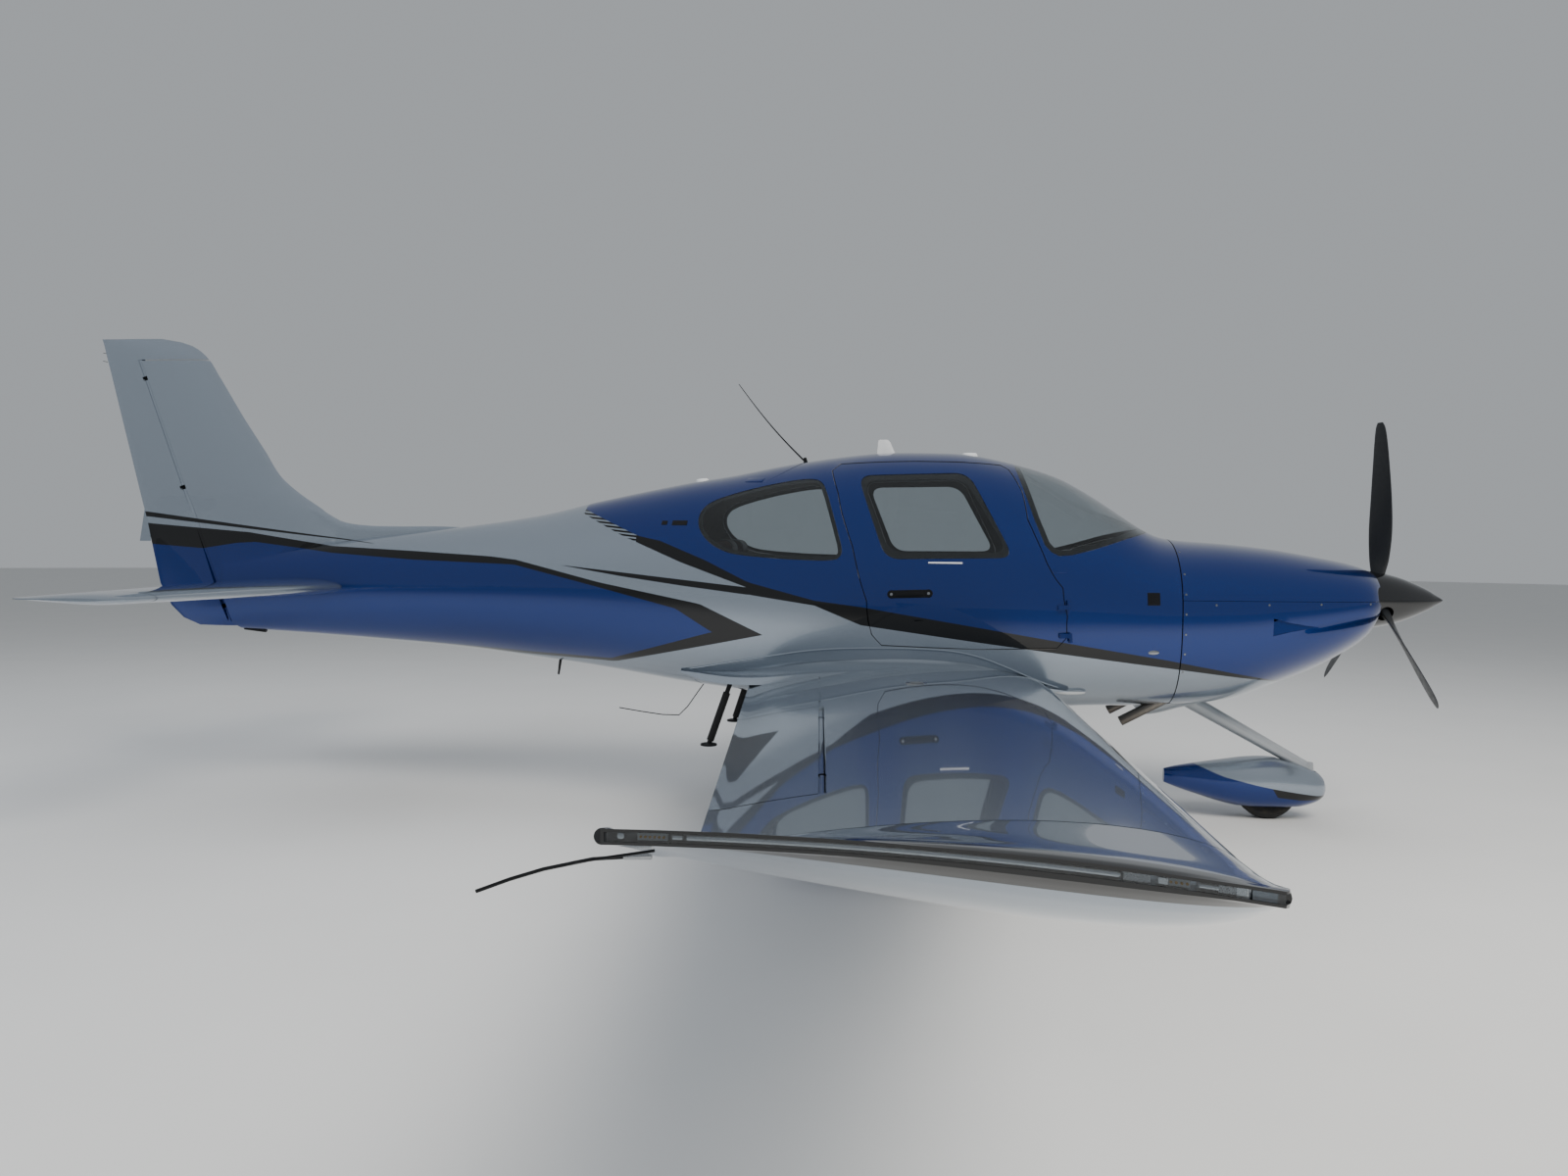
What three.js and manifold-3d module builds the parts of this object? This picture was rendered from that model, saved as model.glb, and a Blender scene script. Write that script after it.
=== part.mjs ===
// A low-wing, single-engine touring aeroplane that parks on a tricycle gear with a castering nose wheel.
// Millimetres. +X to the nose, +Y to the aircraft's left, +Z up, origin on the ground under the middle.
import * as THREE from "three";
import { mergeVertices } from "three/addons/utils/BufferGeometryUtils.js";
import Module from "manifold-3d";

const wasm = await Module();
wasm.setup();

const MATING_GAP = 0.3; // between pieces that touch
const FAR = 9000; // past the aeroplane on every side
const ACROSS = 900; // past the fuselage's half width
const SIDES = [["right", -1], ["left", 1]];
const UP = new THREE.Vector3(0, 0, 1);
// Sides of round shapes, by their size.
const ROUND = { rod: 8, tube: 10, pin: 12, axle: 14, post: 16, pad: 20, ring: 24 };

const FINISHES = {
  pearl: { color: 0xb9c2cc, roughness: 0.25, metalness: 0.1 },
  blue: { color: 0x0c2f8f, roughness: 0.25, metalness: 0.1 },
  black: { color: 0x101114, roughness: 0.3, metalness: 0.1 },
  glass: { color: 0x20262c, roughness: 0.08, metalness: 0 },
  steel: { color: 0x9a9da0, roughness: 0.35, metalness: 0.9 },
  rubber: { color: 0x17171a, roughness: 0.85, metalness: 0 },
  alloy: { color: 0x8d9094, roughness: 0.4, metalness: 0.8 },
  hide: { color: 0x8b8074, roughness: 0.6, metalness: 0 },
};

// Solids and rings

function solidOf(geometry) {
  const bare = geometry.index ? geometry.clone() : geometry;
  bare.deleteAttribute("normal");
  bare.deleteAttribute("uv");
  const merged = mergeVertices(bare, 1e-3);
  const vertProperties = new Float32Array(merged.attributes.position.array);
  const triVerts = new Uint32Array(merged.index.array);
  if (enclosedVolume(vertProperties, triVerts) < 0) {
    triVerts.reverse();
  }
  return new wasm.Manifold(new wasm.Mesh({ numProp: 3, vertProperties, triVerts }));
}

function enclosedVolume(vertices, triangles) {
  let total = 0;
  for (let i = 0; i < triangles.length; i += 3) {
    const [a, b, c] = [0, 1, 2].map((k) => new THREE.Vector3().fromArray(vertices, 3 * triangles[i + k]));
    total += a.dot(b.cross(c)) / 6;
  }
  return total;
}

function geometryOf(solid) {
  const mesh = solid.getMesh();
  const geometry = new THREE.BufferGeometry();
  geometry.setAttribute("position", new THREE.BufferAttribute(mesh.vertProperties, 3));
  geometry.setIndex(new THREE.BufferAttribute(mesh.triVerts, 1));
  geometry.computeVertexNormals();
  return geometry;
}

// A closed skin through rings of equal length. Ring points k and n-k lie across from each other.
function loft(rings) {
  const n = rings[0].length;
  const positions = rings.flat(2);
  const index = [];
  for (let r = 0; r + 1 < rings.length; r += 1) {
    for (let k = 0; k < n; k += 1) {
      const a = r * n + k;
      const b = r * n + ((k + 1) % n);
      index.push(a, b, b + n, a, b + n, a + n);
    }
  }
  index.push(...capAcross(0, n, true), ...capAcross((rings.length - 1) * n, n, false));
  const geometry = new THREE.BufferGeometry();
  geometry.setAttribute("position", new THREE.Float32BufferAttribute(positions, 3));
  geometry.setIndex(index);
  return solidOf(geometry);
}

function capAcross(start, n, flipped) {
  const faces = [[0, 1, n - 1]];
  for (let k = 1; k < n - k - 1; k += 1) {
    faces.push([k, k + 1, n - k]);
    if (k + 1 < n - k - 1) {
      faces.push([k + 1, n - k - 1, n - k]);
    }
  }
  return faces.flatMap((face) => (flipped ? face.reverse() : face).map((k) => start + k));
}

function box(x0, x1, y0, y1, z0, z1) {
  const geometry = new THREE.BoxGeometry(x1 - x0, y1 - y0, z1 - z0);
  return solidOf(geometry.translate((x0 + x1) / 2, (y0 + y1) / 2, (z0 + z1) / 2));
}

// A block that is open to FAR along each axis that isn't given.
function block({ x = [-FAR, FAR], y = [-FAR, FAR], z = [-FAR, FAR] }) {
  return box(...x, ...y, ...z);
}

// A round bar, or a cone, between two points.
function bar(from, to, radiusFrom, radiusTo = radiusFrom, sides = ROUND.post) {
  const a = new THREE.Vector3(...from);
  const b = new THREE.Vector3(...to);
  const geometry = new THREE.CylinderGeometry(radiusTo, radiusFrom, a.distanceTo(b), sides);
  const direction = b.clone().sub(a).normalize();
  geometry.applyQuaternion(new THREE.Quaternion().setFromUnitVectors(new THREE.Vector3(0, 1, 0), direction));
  const middle = a.add(b).multiplyScalar(0.5);
  return solidOf(geometry.translate(middle.x, middle.y, middle.z));
}

// A side-view outline of [x, z] points carried across from y0 to y1.
function sideplate(points, y0, y1) {
  const shape = new THREE.Shape(points.map(([x, z]) => new THREE.Vector2(x, z)));
  const geometry = new THREE.ExtrudeGeometry(shape, { depth: y1 - y0, bevelEnabled: false });
  const upright = new THREE.Matrix4().set(1, 0, 0, 0, 0, 0, 1, y0, 0, 1, 0, 0, 0, 0, 0, 1);
  return solidOf(geometry.applyMatrix4(upright));
}

// A section drawn in a surface's own plane (aft, normal) and carried along its hinge axis.
function hingePrism(points, hinge, y0, y1) {
  const shape = new THREE.Shape(points.map(([aft, up]) => new THREE.Vector2(aft, up)));
  const geometry = new THREE.ExtrudeGeometry(shape, { depth: y1 - y0, bevelEnabled: false });
  geometry.translate(0, 0, y0);
  const frame = new THREE.Matrix4().makeBasis(hinge.aft, hinge.normal, hinge.along).setPosition(hinge.start);
  return solidOf(geometry.applyMatrix4(frame));
}

function joined(...solids) {
  return solids.reduce((sum, next) => sum.add(next));
}

const ARC_SHARE = 1 / 2.2; // most of a side that a corner's arc may take

// Rounds the corners of an outline with arcs of the given radius.
function rounded(points, radius, steps = 3) {
  const corners = points.map(([x, z]) => new THREE.Vector2(x, z));
  return corners.flatMap((corner, i) => {
    const before = corners[(i + corners.length - 1) % corners.length];
    const after = corners[(i + 1) % corners.length];
    const back = before.clone().sub(corner);
    const ahead = after.clone().sub(corner);
    const reach = Math.min(radius, back.length() * ARC_SHARE, ahead.length() * ARC_SHARE);
    const start = corner.clone().addScaledVector(back.normalize(), reach);
    const end = corner.clone().addScaledVector(ahead.normalize(), reach);
    const arc = new THREE.QuadraticBezierCurve(start, corner, end);
    return arc.getPoints(steps).map((point) => [point.x, point.y]);
  });
}

// Moves every corner of an outline outwards by the given distance.
function widened(points, distance) {
  const clockwise = THREE.ShapeUtils.area(points.map(([x, z]) => new THREE.Vector2(x, z))) < 0;
  const side = clockwise ? -1 : 1;
  return points.map(([x, z], i) => {
    const [x0, z0] = points[(i + points.length - 1) % points.length];
    const [x1, z1] = points[(i + 1) % points.length];
    const length = Math.hypot(x1 - x0, z1 - z0);
    return [x + (side * distance * (z1 - z0)) / length, z - (side * distance * (x1 - x0)) / length];
  });
}

// Smooth values between the rows of a table, by the slopes through the rows' neighbours.
function tableAt(table, position) {
  const last = table.length - 1;
  let i = 0;
  while (i < last - 1 && (table[i + 1][0] - position) * (table[last][0] - table[0][0]) < 0) {
    i += 1;
  }
  const slope = (row, column) => {
    const before = table[Math.max(row - 1, 0)];
    const after = table[Math.min(row + 1, last)];
    return (after[column] - before[column]) / (after[0] - before[0]);
  };
  const span = table[i + 1][0] - table[i][0];
  const t = (position - table[i][0]) / span;
  return table[i].map((value, column) => {
    const next = table[i + 1][column];
    const rise = slope(i, column) * span;
    const fall = slope(i + 1, column) * span;
    const cubic = (2 * value - 2 * next + rise + fall) * t ** 3;
    return cubic + (3 * next - 3 * value - 2 * rise - fall) * t ** 2 + rise * t + value;
  });
}

// Fuselage sections: position, top, bottom, half width, height of the widest point, and the powers
// of the upper and lower halves (2 is an ellipse, more is squarer).
const FUSELAGE = [
  [3545, 1397, 1080, 258, 1238, 2.1, 2.1],
  [3500, 1416, 1015, 322, 1232, 2.1, 2.1],
  [3410, 1441, 948, 375, 1220, 2.15, 2.15],
  [3240, 1474, 852, 430, 1200, 2.2, 2.2],
  [3010, 1512, 757, 485, 1180, 2.2, 2.3],
  [2760, 1538, 668, 527, 1160, 2.25, 2.4],
  [2450, 1563, 638, 567, 1150, 2.25, 2.52],
  [2330, 1606, 632, 583, 1150, 2.25, 2.6],
  [2040, 1795, 624, 617, 1150, 2.3, 2.7],
  [1840, 1905, 617, 636, 1150, 2.3, 2.8],
  [1580, 1984, 608, 652, 1150, 2.3, 2.8],
  [1340, 2030, 602, 660, 1150, 2.3, 2.8],
  [1110, 2040, 600, 663, 1150, 2.3, 2.8],
  [860, 2037, 604, 660, 1155, 2.3, 2.8],
  [590, 2009, 618, 645, 1165, 2.3, 2.7],
  [300, 1964, 640, 617, 1185, 2.25, 2.6],
  [10, 1906, 672, 572, 1205, 2.2, 2.5],
  [-290, 1856, 706, 510, 1225, 2.2, 2.4],
  [-790, 1753, 778, 402, 1240, 2.1, 2.3],
  [-1140, 1670, 820, 335, 1240, 2.1, 2.2],
  [-1590, 1600, 872, 262, 1235, 2.1, 2.1],
  [-2200, 1528, 914, 182, 1225, 2, 2],
  [-2640, 1475, 939, 132, 1210, 2, 2],
  [-3140, 1420, 962, 78, 1190, 2, 2],
];
const COWL_FRONT = 3545;
const FIREWALL_SEAM = 2450;
const CABIN_REAR = -290;
const TAIL_END = -3140;
const RING_POINTS = 24;

function fuselageRing(x, inset) {
  const [, top, bottom, halfWidth, widest, upper, lower] = tableAt(FUSELAGE, x);
  return Array.from({ length: RING_POINTS }, (_, k) => {
    const angle = (2 * Math.PI * k) / RING_POINTS;
    const [c, s] = [Math.cos(angle), Math.sin(angle)];
    const power = 2 / (s > 0 ? upper : lower);
    const height = (s > 0 ? top - widest : widest - bottom) - inset;
    const y = (halfWidth - inset) * Math.sign(c) * Math.abs(c) ** power;
    return [x, y, widest + height * Math.sign(s) * Math.abs(s) ** power];
  });
}

function fuselageSolid(front, rear, inset) {
  const between = FUSELAGE.map(([x]) => x).filter((x) => x < front - 1 && x > rear + 1);
  return loft([front, ...between, rear].map((x) => fuselageRing(x, inset)));
}

// Half breadth of the fuselage at a side-view point.
function halfBreadthAt(x, z) {
  const [, top, bottom, halfWidth, widest, upper, lower] = tableAt(FUSELAGE, x);
  const [power, height] = z > widest ? [upper, top - widest] : [lower, widest - bottom];
  const share = Math.min(Math.abs(z - widest) / height, 0.999);
  return halfWidth * (1 - share ** power) ** (1 / power);
}

// Cabin shell, its doors and windows

const WALL = 45;
const FLOOR_TOP = 800;
const BAGGAGE_FLOOR = { top: 860, front: -6 }; // a raised floor behind the rear seat
const PANE = { outer: 1, inner: 9 }; // depth of a window's two faces below the skin
const DOOR_GAP = 6;
const WINDSHIELD = [
  [2450, 1625], [2355, 1600], [1904, 1488], [1765, 1475], [1600, 1935], [1595, 2080], [2450, 2080],
];
const DOOR = [
  [1560, 1930], [1645, 1654], [1725, 1470], [1770, 1373], [1825, 1297], [1850, 1150],
  [1850, 1040], [1800, 985], [890, 985], [840, 1040], [810, 1220], [772, 1334],
  [664, 1697], [600, 1920], [640, 1957], [1520, 1955],
];
const DOOR_CENTRE = [1200, 1450];
const DOOR_WINDOW = [[750, 1864], [1342, 1893], [1541, 1499], [912, 1429]];
const REAR_WINDOW = [
  [677, 1437], [577, 1845], [305, 1841], [15, 1693], [-107, 1586], [43, 1472], [362, 1423],
];
const DOOR_DRAFT = 0.3; // how far the door's edge closes in per millimetre of depth
const PLUG_REACH = [450, -250]; // its ends, outside and inside the skin

// The tapered plug that parts a door from the shell, through the outline on the skin.
function doorPlug(side, gap) {
  const outline = widened(DOOR, gap);
  const [x0, z0] = DOOR_CENTRE;
  const rings = PLUG_REACH.map((reach) => outline.map(([x, z]) => {
    const skin = halfBreadthAt(x, z);
    const scale = 1 + (DOOR_DRAFT * reach) / Math.hypot(x - x0, z - z0);
    return [x0 + (x - x0) * scale, side * (skin + reach), z0 + (z - z0) * scale];
  }));
  return prismOf(rings);
}

// A closed solid between two rings, its ends filled from the flat outline of the first.
function prismOf([outer, inner]) {
  const flat = outer.map(([x, , z]) => new THREE.Vector2(x, z));
  const turning = Math.sign(THREE.ShapeUtils.area(flat));
  const n = outer.length;
  const index = outer.flatMap((_, k) => {
    const next = (k + 1) % n;
    return [k, next, next + n, k, next + n, k + n];
  });
  for (const face of THREE.ShapeUtils.triangulateShape(flat, [])) {
    const facing = Math.sign(THREE.ShapeUtils.area(face.map((k) => flat[k])));
    const [a, b, c] = facing === turning ? face : [...face].reverse();
    index.push(c, b, a, a + n, b + n, c + n);
  }
  const geometry = new THREE.BufferGeometry();
  geometry.setAttribute("position", new THREE.Float32BufferAttribute([...outer, ...inner].flat(), 3));
  geometry.setIndex(index);
  return solidOf(geometry);
}

const WINDOW_REACH = 200; // a window's cut starts this far out from the middle
const WINDOW_CORNER = { door: 80, rear: 60 };
const OVERRUN = 10; // an inner shape runs past the ends of the outer one
const cabinOuter = fuselageSolid(FIREWALL_SEAM - MATING_GAP, CABIN_REAR, 0);
const cabinSpace = fuselageSolid(FIREWALL_SEAM - WALL, CABIN_REAR + WALL, WALL)
  .subtract(block({ z: [-FAR, FLOOR_TOP] }))
  .subtract(block({ x: [-FAR, BAGGAGE_FLOOR.front], z: [-FAR, BAGGAGE_FLOOR.top] }));
const cabinWall = cabinOuter.subtract(cabinSpace);
const paneWall = fuselageSolid(FIREWALL_SEAM, CABIN_REAR, PANE.outer)
  .subtract(fuselageSolid(FIREWALL_SEAM + OVERRUN, CABIN_REAR - OVERRUN, PANE.inner));
const doorWindow = rounded(DOOR_WINDOW, WINDOW_CORNER.door);
const rearWindow = rounded(REAR_WINDOW, WINDOW_CORNER.rear);

function windowCut(outline, side, gap) {
  const reach = side > 0 ? [WINDOW_REACH, ACROSS] : [-ACROSS, -WINDOW_REACH];
  return sideplate(widened(outline, gap), ...reach);
}

function door(side) {
  return cabinWall
    .intersect(doorPlug(side, 0))
    .subtract(windowCut(doorWindow, side, 0))
    .add(doorHingeEyes(side, DOOR_HINGE.doorEyes, DOOR_HINGE.strap));
}

function cabinShell() {
  let shell = cabinWall.subtract(sideplate(WINDSHIELD, -ACROSS, ACROSS));
  for (const [, side] of SIDES) {
    shell = shell
      .subtract(doorPlug(side, DOOR_GAP))
      .subtract(windowCut(rearWindow, side, 0))
      .subtract(exhaustTunnel(side))
      .add(doorHingeEyes(side, DOOR_HINGE.shellEyes, DOOR_HINGE.post));
  }
  return shell.add(bladeAntenna());
}

// The two outside hinges of a door. Their axis leans inwards and back. The eyes' places are distances
// from its middle, and a post or strap is drawn square to the axis: [aft, outwards].
const DOOR_HINGE = {
  middle: [1862.75, 651.625, 1125],
  lean: [-0.07, -0.045],
  halfHeight: 125,
  eyeRadius: 9,
  shellEyes: [86, 110],
  doorEyes: [62, 85.7],
  post: [[-9, -40], [8, -40], [8, 0], [-9, 0]],
  strap: [[0, -8], [30, -8], [30, -40], [55, -40], [55, 3], [48, 8], [0, 8]],
};

function doorHinge(side) {
  const [x, y, z] = DOOR_HINGE.middle;
  const [back, inwards] = DOOR_HINGE.lean;
  const at = (rise) => [x + back * rise, side * (y + inwards * rise), z + rise];
  const up = -side * DOOR_HINGE.halfHeight;
  return hingeLine(at(-up), at(up), new THREE.Vector3(0, side, 0));
}

function doorHingeEyes(side, [near, far], outline) {
  const hinge = doorHinge(side);
  const middle = hinge.length / 2;
  return joined(...[[middle + near, middle + far], [middle - far, middle - near]].map(([from, to]) => (
    bar(pointAlong(hinge, from), pointAlong(hinge, to), DOOR_HINGE.eyeRadius, DOOR_HINGE.eyeRadius, ROUND.pin)
      .add(hingePrism(outline, hinge, from, to))
  )));
}

const BLADE_ANTENNA = { outline: [[940, 2020], [900, 2118], [835, 2118], [830, 2020]], halfThick: 6 };

function bladeAntenna() {
  return sideplate(BLADE_ANTENNA.outline, -BLADE_ANTENNA.halfThick, BLADE_ANTENNA.halfThick);
}

// Wing: sections across the span, with the chord line's height and the greatest thickness

const WING_SLOPE = 0.0758;
const wingLeading = (y) => 1819.8 - 0.0573 * y;
const wingTrailing = (y) => 200 + 0.1255 * (y - 790);
const wingHeight = (y) => 740 + WING_SLOPE * (y - 660);
const WING_ROOT = 230;
const TIP_SEAM = 5580;
const WING_TIP = 5840;
const THICKNESS = { root: 238, tip: 88 };
const CAMBER = 0.018;
const EDGE = 3; // half thickness of a trailing edge
const FOIL_STEPS = 8;
const WING_STATIONS = [WING_ROOT, 1200, 3140, TIP_SEAM];
const JACK_POINT = { x: 1150, y: 2450, radius: 32, foot: 804, top: 850 }; // a flat pad under each wing

function thicknessAt(y) {
  const share = (y - WING_ROOT) / (TIP_SEAM - WING_ROOT);
  return THICKNESS.root + (THICKNESS.tip - THICKNESS.root) * share;
}

// Half thickness of a section along its chord, as a share of the greatest thickness.
function foilShape(share) {
  const curve = 0.2969 * Math.sqrt(share) - 0.126 * share - 0.3516 * share ** 2 + 0.2843 * share ** 3;
  return 5 * (curve - 0.1036 * share ** 4);
}

// Ring of a section: from the nose along the upper side to the trailing edge and back below. The under
// side has its own thickness and the rise lifts the trailing edge.
function foilRing(section, place) {
  const { leading, trailing, height, thickness, camber = 0, rise = 0, edge = EDGE } = section;
  const { under = thickness } = section;
  const chord = leading - trailing;
  const upper = [];
  const lower = [];
  for (let k = 1; k <= FOIL_STEPS; k += 1) {
    const share = (1 - Math.cos((Math.PI * k) / FOIL_STEPS)) / 2;
    const middle = height + rise * share + 4 * camber * chord * share * (1 - share);
    const [over, below] = [thickness, under].map((whole) => Math.max(foilShape(share) * whole, edge));
    upper.push(place(leading - share * chord, middle + over));
    lower.unshift(place(leading - share * chord, middle - below));
  }
  return [place(leading, height), ...upper, ...lower];
}

function wingSolid(side, extra) {
  return loft(WING_STATIONS.map((y) => foilRing({
    leading: wingLeading(y) + extra,
    trailing: wingTrailing(y) - extra,
    height: wingHeight(y),
    thickness: thicknessAt(y) + 2 * extra,
    camber: CAMBER,
  }, (x, z) => [x, side * y, z])));
}

// Root fillet: how far it climbs the fuselage and spreads over the wing, along the length.
const FILLET = [
  [1880, 742, 3, 12],
  [1780, 765, 12, 60],
  [1613, 805, 42, 95],
  [1458, 838, 75, 115],
  [1304, 850, 105, 125],
  [1048, 860, 108, 130],
  [790, 850, 114, 132],
  [527, 830, 118, 135],
  [257, 795, 106, 145],
  [31, 780, 78, 90],
  [-120, 790, 32, 40],
  [-242, 796, 4, 8],
];

const FILLET_ARC = 4; // steps of its hollow curve
const FILLET_ROOT = { inwards: 60, below: 40 }; // how far it runs into the fuselage and the wing

function rootFillet(side) {
  return loft(FILLET.map(([x, corner, climb, spread]) => {
    const foot = halfBreadthAt(x, corner);
    const inner = side * (foot - FILLET_ROOT.inwards);
    const outer = side * (foot + spread);
    const base = corner - Math.min(FILLET_ROOT.below, climb);
    const arc = Array.from({ length: FILLET_ARC + 1 }, (_, k) => {
      const angle = (Math.PI / 2) * (k / FILLET_ARC);
      return [x, side * (foot + spread * (1 - Math.sin(angle))), corner + climb * (1 - Math.cos(angle))];
    });
    return [[x, outer, base], ...arc, [x, inner, corner + climb], [x, inner, base]];
  }));
}

function jackPoint(side) {
  const { x, y, radius, foot, top } = JACK_POINT;
  return bar([x, side * y, foot], [x, side * y, top], radius, radius, ROUND.pad);
}

// Hinged surfaces

const HINGE_GAP = 7; // clearance around a surface's nose
const LIP = 4; // skin left over the nose

function hingeLine(start, end, normalHint) {
  const [a, b] = [start, end].map((point) => new THREE.Vector3(...point));
  const along = b.clone().sub(a).normalize();
  const aft = new THREE.Vector3().crossVectors(normalHint, along).normalize();
  const normal = new THREE.Vector3().crossVectors(along, aft);
  return { start: a, end: b, along, aft, normal, length: a.distanceTo(b) };
}

const pointAlong = (hinge, s) => hinge.start.clone().addScaledVector(hinge.along, s).toArray();
const noseRadius = (hinge, [r0, r1], s) => r0 + ((r1 - r0) * s) / hinge.length;

// The round nose of a surface between two distances along its hinge, with a radius at each end of it.
function noseBar(hinge, noses, from, to, extra, sides) {
  const radii = [from, to].map((s) => noseRadius(hinge, noses, s) + extra);
  return bar(pointAlong(hinge, from), pointAlong(hinge, to), ...radii, sides);
}

// A surface turns on knuckles: an eye of its carrier stands in a notch of the nose, round a pin.
const KNUCKLE = { width: 26, room: 8, eye: 12, bore: 6.2, pin: 5, halfWeb: 7, root: 30 };
const SIDE_COUNT = { nose: 12, room: 16, notch: 12, eye: 8, bore: 6, pin: 6 };

function hingeBar(hinge, middle, width, radius, sides) {
  const [from, to] = [middle - width / 2, middle + width / 2];
  return bar(pointAlong(hinge, from), pointAlong(hinge, to), radius, radius, sides);
}

function knuckleEyes(hinge, noses, places) {
  const width = KNUCKLE.width - 2 * MATING_GAP;
  return joined(...places.map((middle) => {
    const root = -noseRadius(hinge, noses, middle) - KNUCKLE.root;
    const outline = [
      [root, -KNUCKLE.halfWeb], [0, -KNUCKLE.halfWeb], [0, KNUCKLE.halfWeb], [root, KNUCKLE.halfWeb],
    ];
    return hingePrism(outline, hinge, middle - width / 2, middle + width / 2)
      .add(hingeBar(hinge, middle, width, KNUCKLE.eye, SIDE_COUNT.eye))
      .subtract(hingeBar(hinge, middle, 2 * KNUCKLE.width, KNUCKLE.bore, SIDE_COUNT.bore));
  }));
}

// Cuts the notches into a surface and puts a pin across each.
function notched(surface, hinge, noses, places) {
  return places.reduce((result, middle) => {
    const notch = noseRadius(hinge, noses, middle) + KNUCKLE.room;
    return result
      .subtract(hingeBar(hinge, middle, KNUCKLE.width, notch, SIDE_COUNT.notch))
      .add(hingeBar(hinge, middle, KNUCKLE.width + KNUCKLE.pin, KNUCKLE.pin, SIDE_COUNT.pin));
  }, surface);
}

const REACH = 1400;

// Room that a surface needs in what carries it: its nose, the space behind, and the swing each way.
function surfaceRoom(hinge, noses, { low, high, endGap = HINGE_GAP }) {
  const [down, up] = [low, high].map((angle) => THREE.MathUtils.degToRad(angle));
  const wedge = [
    [0, 0], [-Math.sin(down) * REACH, -Math.cos(down) * REACH], [REACH, -REACH], [REACH, REACH],
    [-Math.sin(up) * REACH, Math.cos(up) * REACH],
  ];
  const [from, to] = [-endGap, hinge.length + endGap];
  return hingePrism(wedge, hinge, from, to).add(noseBar(hinge, noses, from, to, HINGE_GAP, SIDE_COUNT.room));
}

function surfaceBody(whole, hinge, noses) {
  const behind = [[HINGE_GAP, -REACH], [REACH, -REACH], [REACH, REACH], [HINGE_GAP, REACH]];
  const nose = noseBar(hinge, noses, 0, hinge.length, 0, SIDE_COUNT.nose);
  return whole.intersect(hingePrism(behind, hinge, 0, hinge.length).add(nose));
}

const WING_HINGE = { rootY: 750, rootX: 575, tipY: 5220, tipX: 940 };
const FLAP = { span: [770, 3132], down: 32, up: 0, knuckles: [420, 1950] };
const AILERON = { span: [3148, 5220], down: 12.5, up: 12.5, knuckles: [330, 1750] };
const SWING_MARGIN = 3; // degrees of room past a surface's limit

function wingHingePoint(y, side) {
  const share = (y - WING_HINGE.rootY) / (WING_HINGE.tipY - WING_HINGE.rootY);
  const x = WING_HINGE.rootX + share * (WING_HINGE.tipX - WING_HINGE.rootX);
  const chordShare = (wingLeading(y) - x) / (wingLeading(y) - wingTrailing(y));
  const chord = wingLeading(y) - wingTrailing(y);
  return [x, side * y, wingHeight(y) + 4 * CAMBER * chord * chordShare * (1 - chordShare)];
}

function wingNoses([y0, y1]) {
  return [y0, y1].map((y) => {
    const [x] = wingHingePoint(y, 1);
    const share = (wingLeading(y) - x) / (wingLeading(y) - wingTrailing(y));
    return foilShape(share) * thicknessAt(y) - HINGE_GAP - LIP;
  });
}

function wingHinge(side, [y0, y1]) {
  return hingeLine(wingHingePoint(y0, side), wingHingePoint(y1, side), new THREE.Vector3(0, 0, side));
}

function wing(side) {
  const [flapRoom, aileronRoom] = [FLAP, AILERON].map(({ span, down, up }) => (
    surfaceRoom(wingHinge(side, span), wingNoses(span), swing(side, down, up))
  ));
  const [flapEyes, aileronEyes] = [FLAP, AILERON].map(({ span, knuckles }) => (
    knuckleEyes(wingHinge(side, span), wingNoses(span), knuckles)
  ));
  return wingSolid(side, 0)
    .add(rootFillet(side))
    .subtract(flapRoom)
    .subtract(aileronRoom)
    .subtract(fuselageSolid(COWL_FRONT, TAIL_END, -MATING_GAP))
    .add(flapEyes)
    .add(aileronEyes)
    .add(jackPoint(side));
}

// Room below and above a wing, told in the hinge's own plane, whose normal points down on the right.
function swing(side, down, up) {
  const [below, above] = [down, up].map((angle) => (angle ? angle + SWING_MARGIN : 0));
  return side > 0 ? { low: below, high: above } : { low: above, high: below };
}

function wingSurface(side, { span, knuckles }) {
  const hinge = wingHinge(side, span);
  return notched(surfaceBody(wingSolid(side, 0), hinge, wingNoses(span)), hinge, wingNoses(span), knuckles);
}

// Wing tip sections: distance out, height of the leading edge, rise to the trailing edge, thickness above
// and below, least half thickness, sweep of the leading edge and rake of the trailing edge.
const TIP = [
  [TIP_SEAM + MATING_GAP, wingHeight(TIP_SEAM), 0, THICKNESS.tip, THICKNESS.tip, EDGE, 0, 0],
  [5700, 1125, 12, 70, 126, 4, 2, -20],
  [5760, 1137, 26, 46, 118, 6, 5, -38],
  [5805, 1145, 35, 34, 80, 8, 10, -52],
  [5832, 1149, 39, 26, 40, 9, 17, -58],
  [WING_TIP, 1150, 40, 20, 24, 9, 23, -60],
];

function wingTip(side) {
  return loft(TIP.map(([y, height, rise, thickness, under, edge, sweep, rake]) => foilRing({
    leading: wingLeading(TIP_SEAM) - sweep,
    trailing: wingTrailing(TIP_SEAM) + rake,
    height,
    rise,
    thickness,
    under,
    edge,
    camber: CAMBER,
  }, (x, z) => [x, side * y, z])));
}

// Tail

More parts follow.
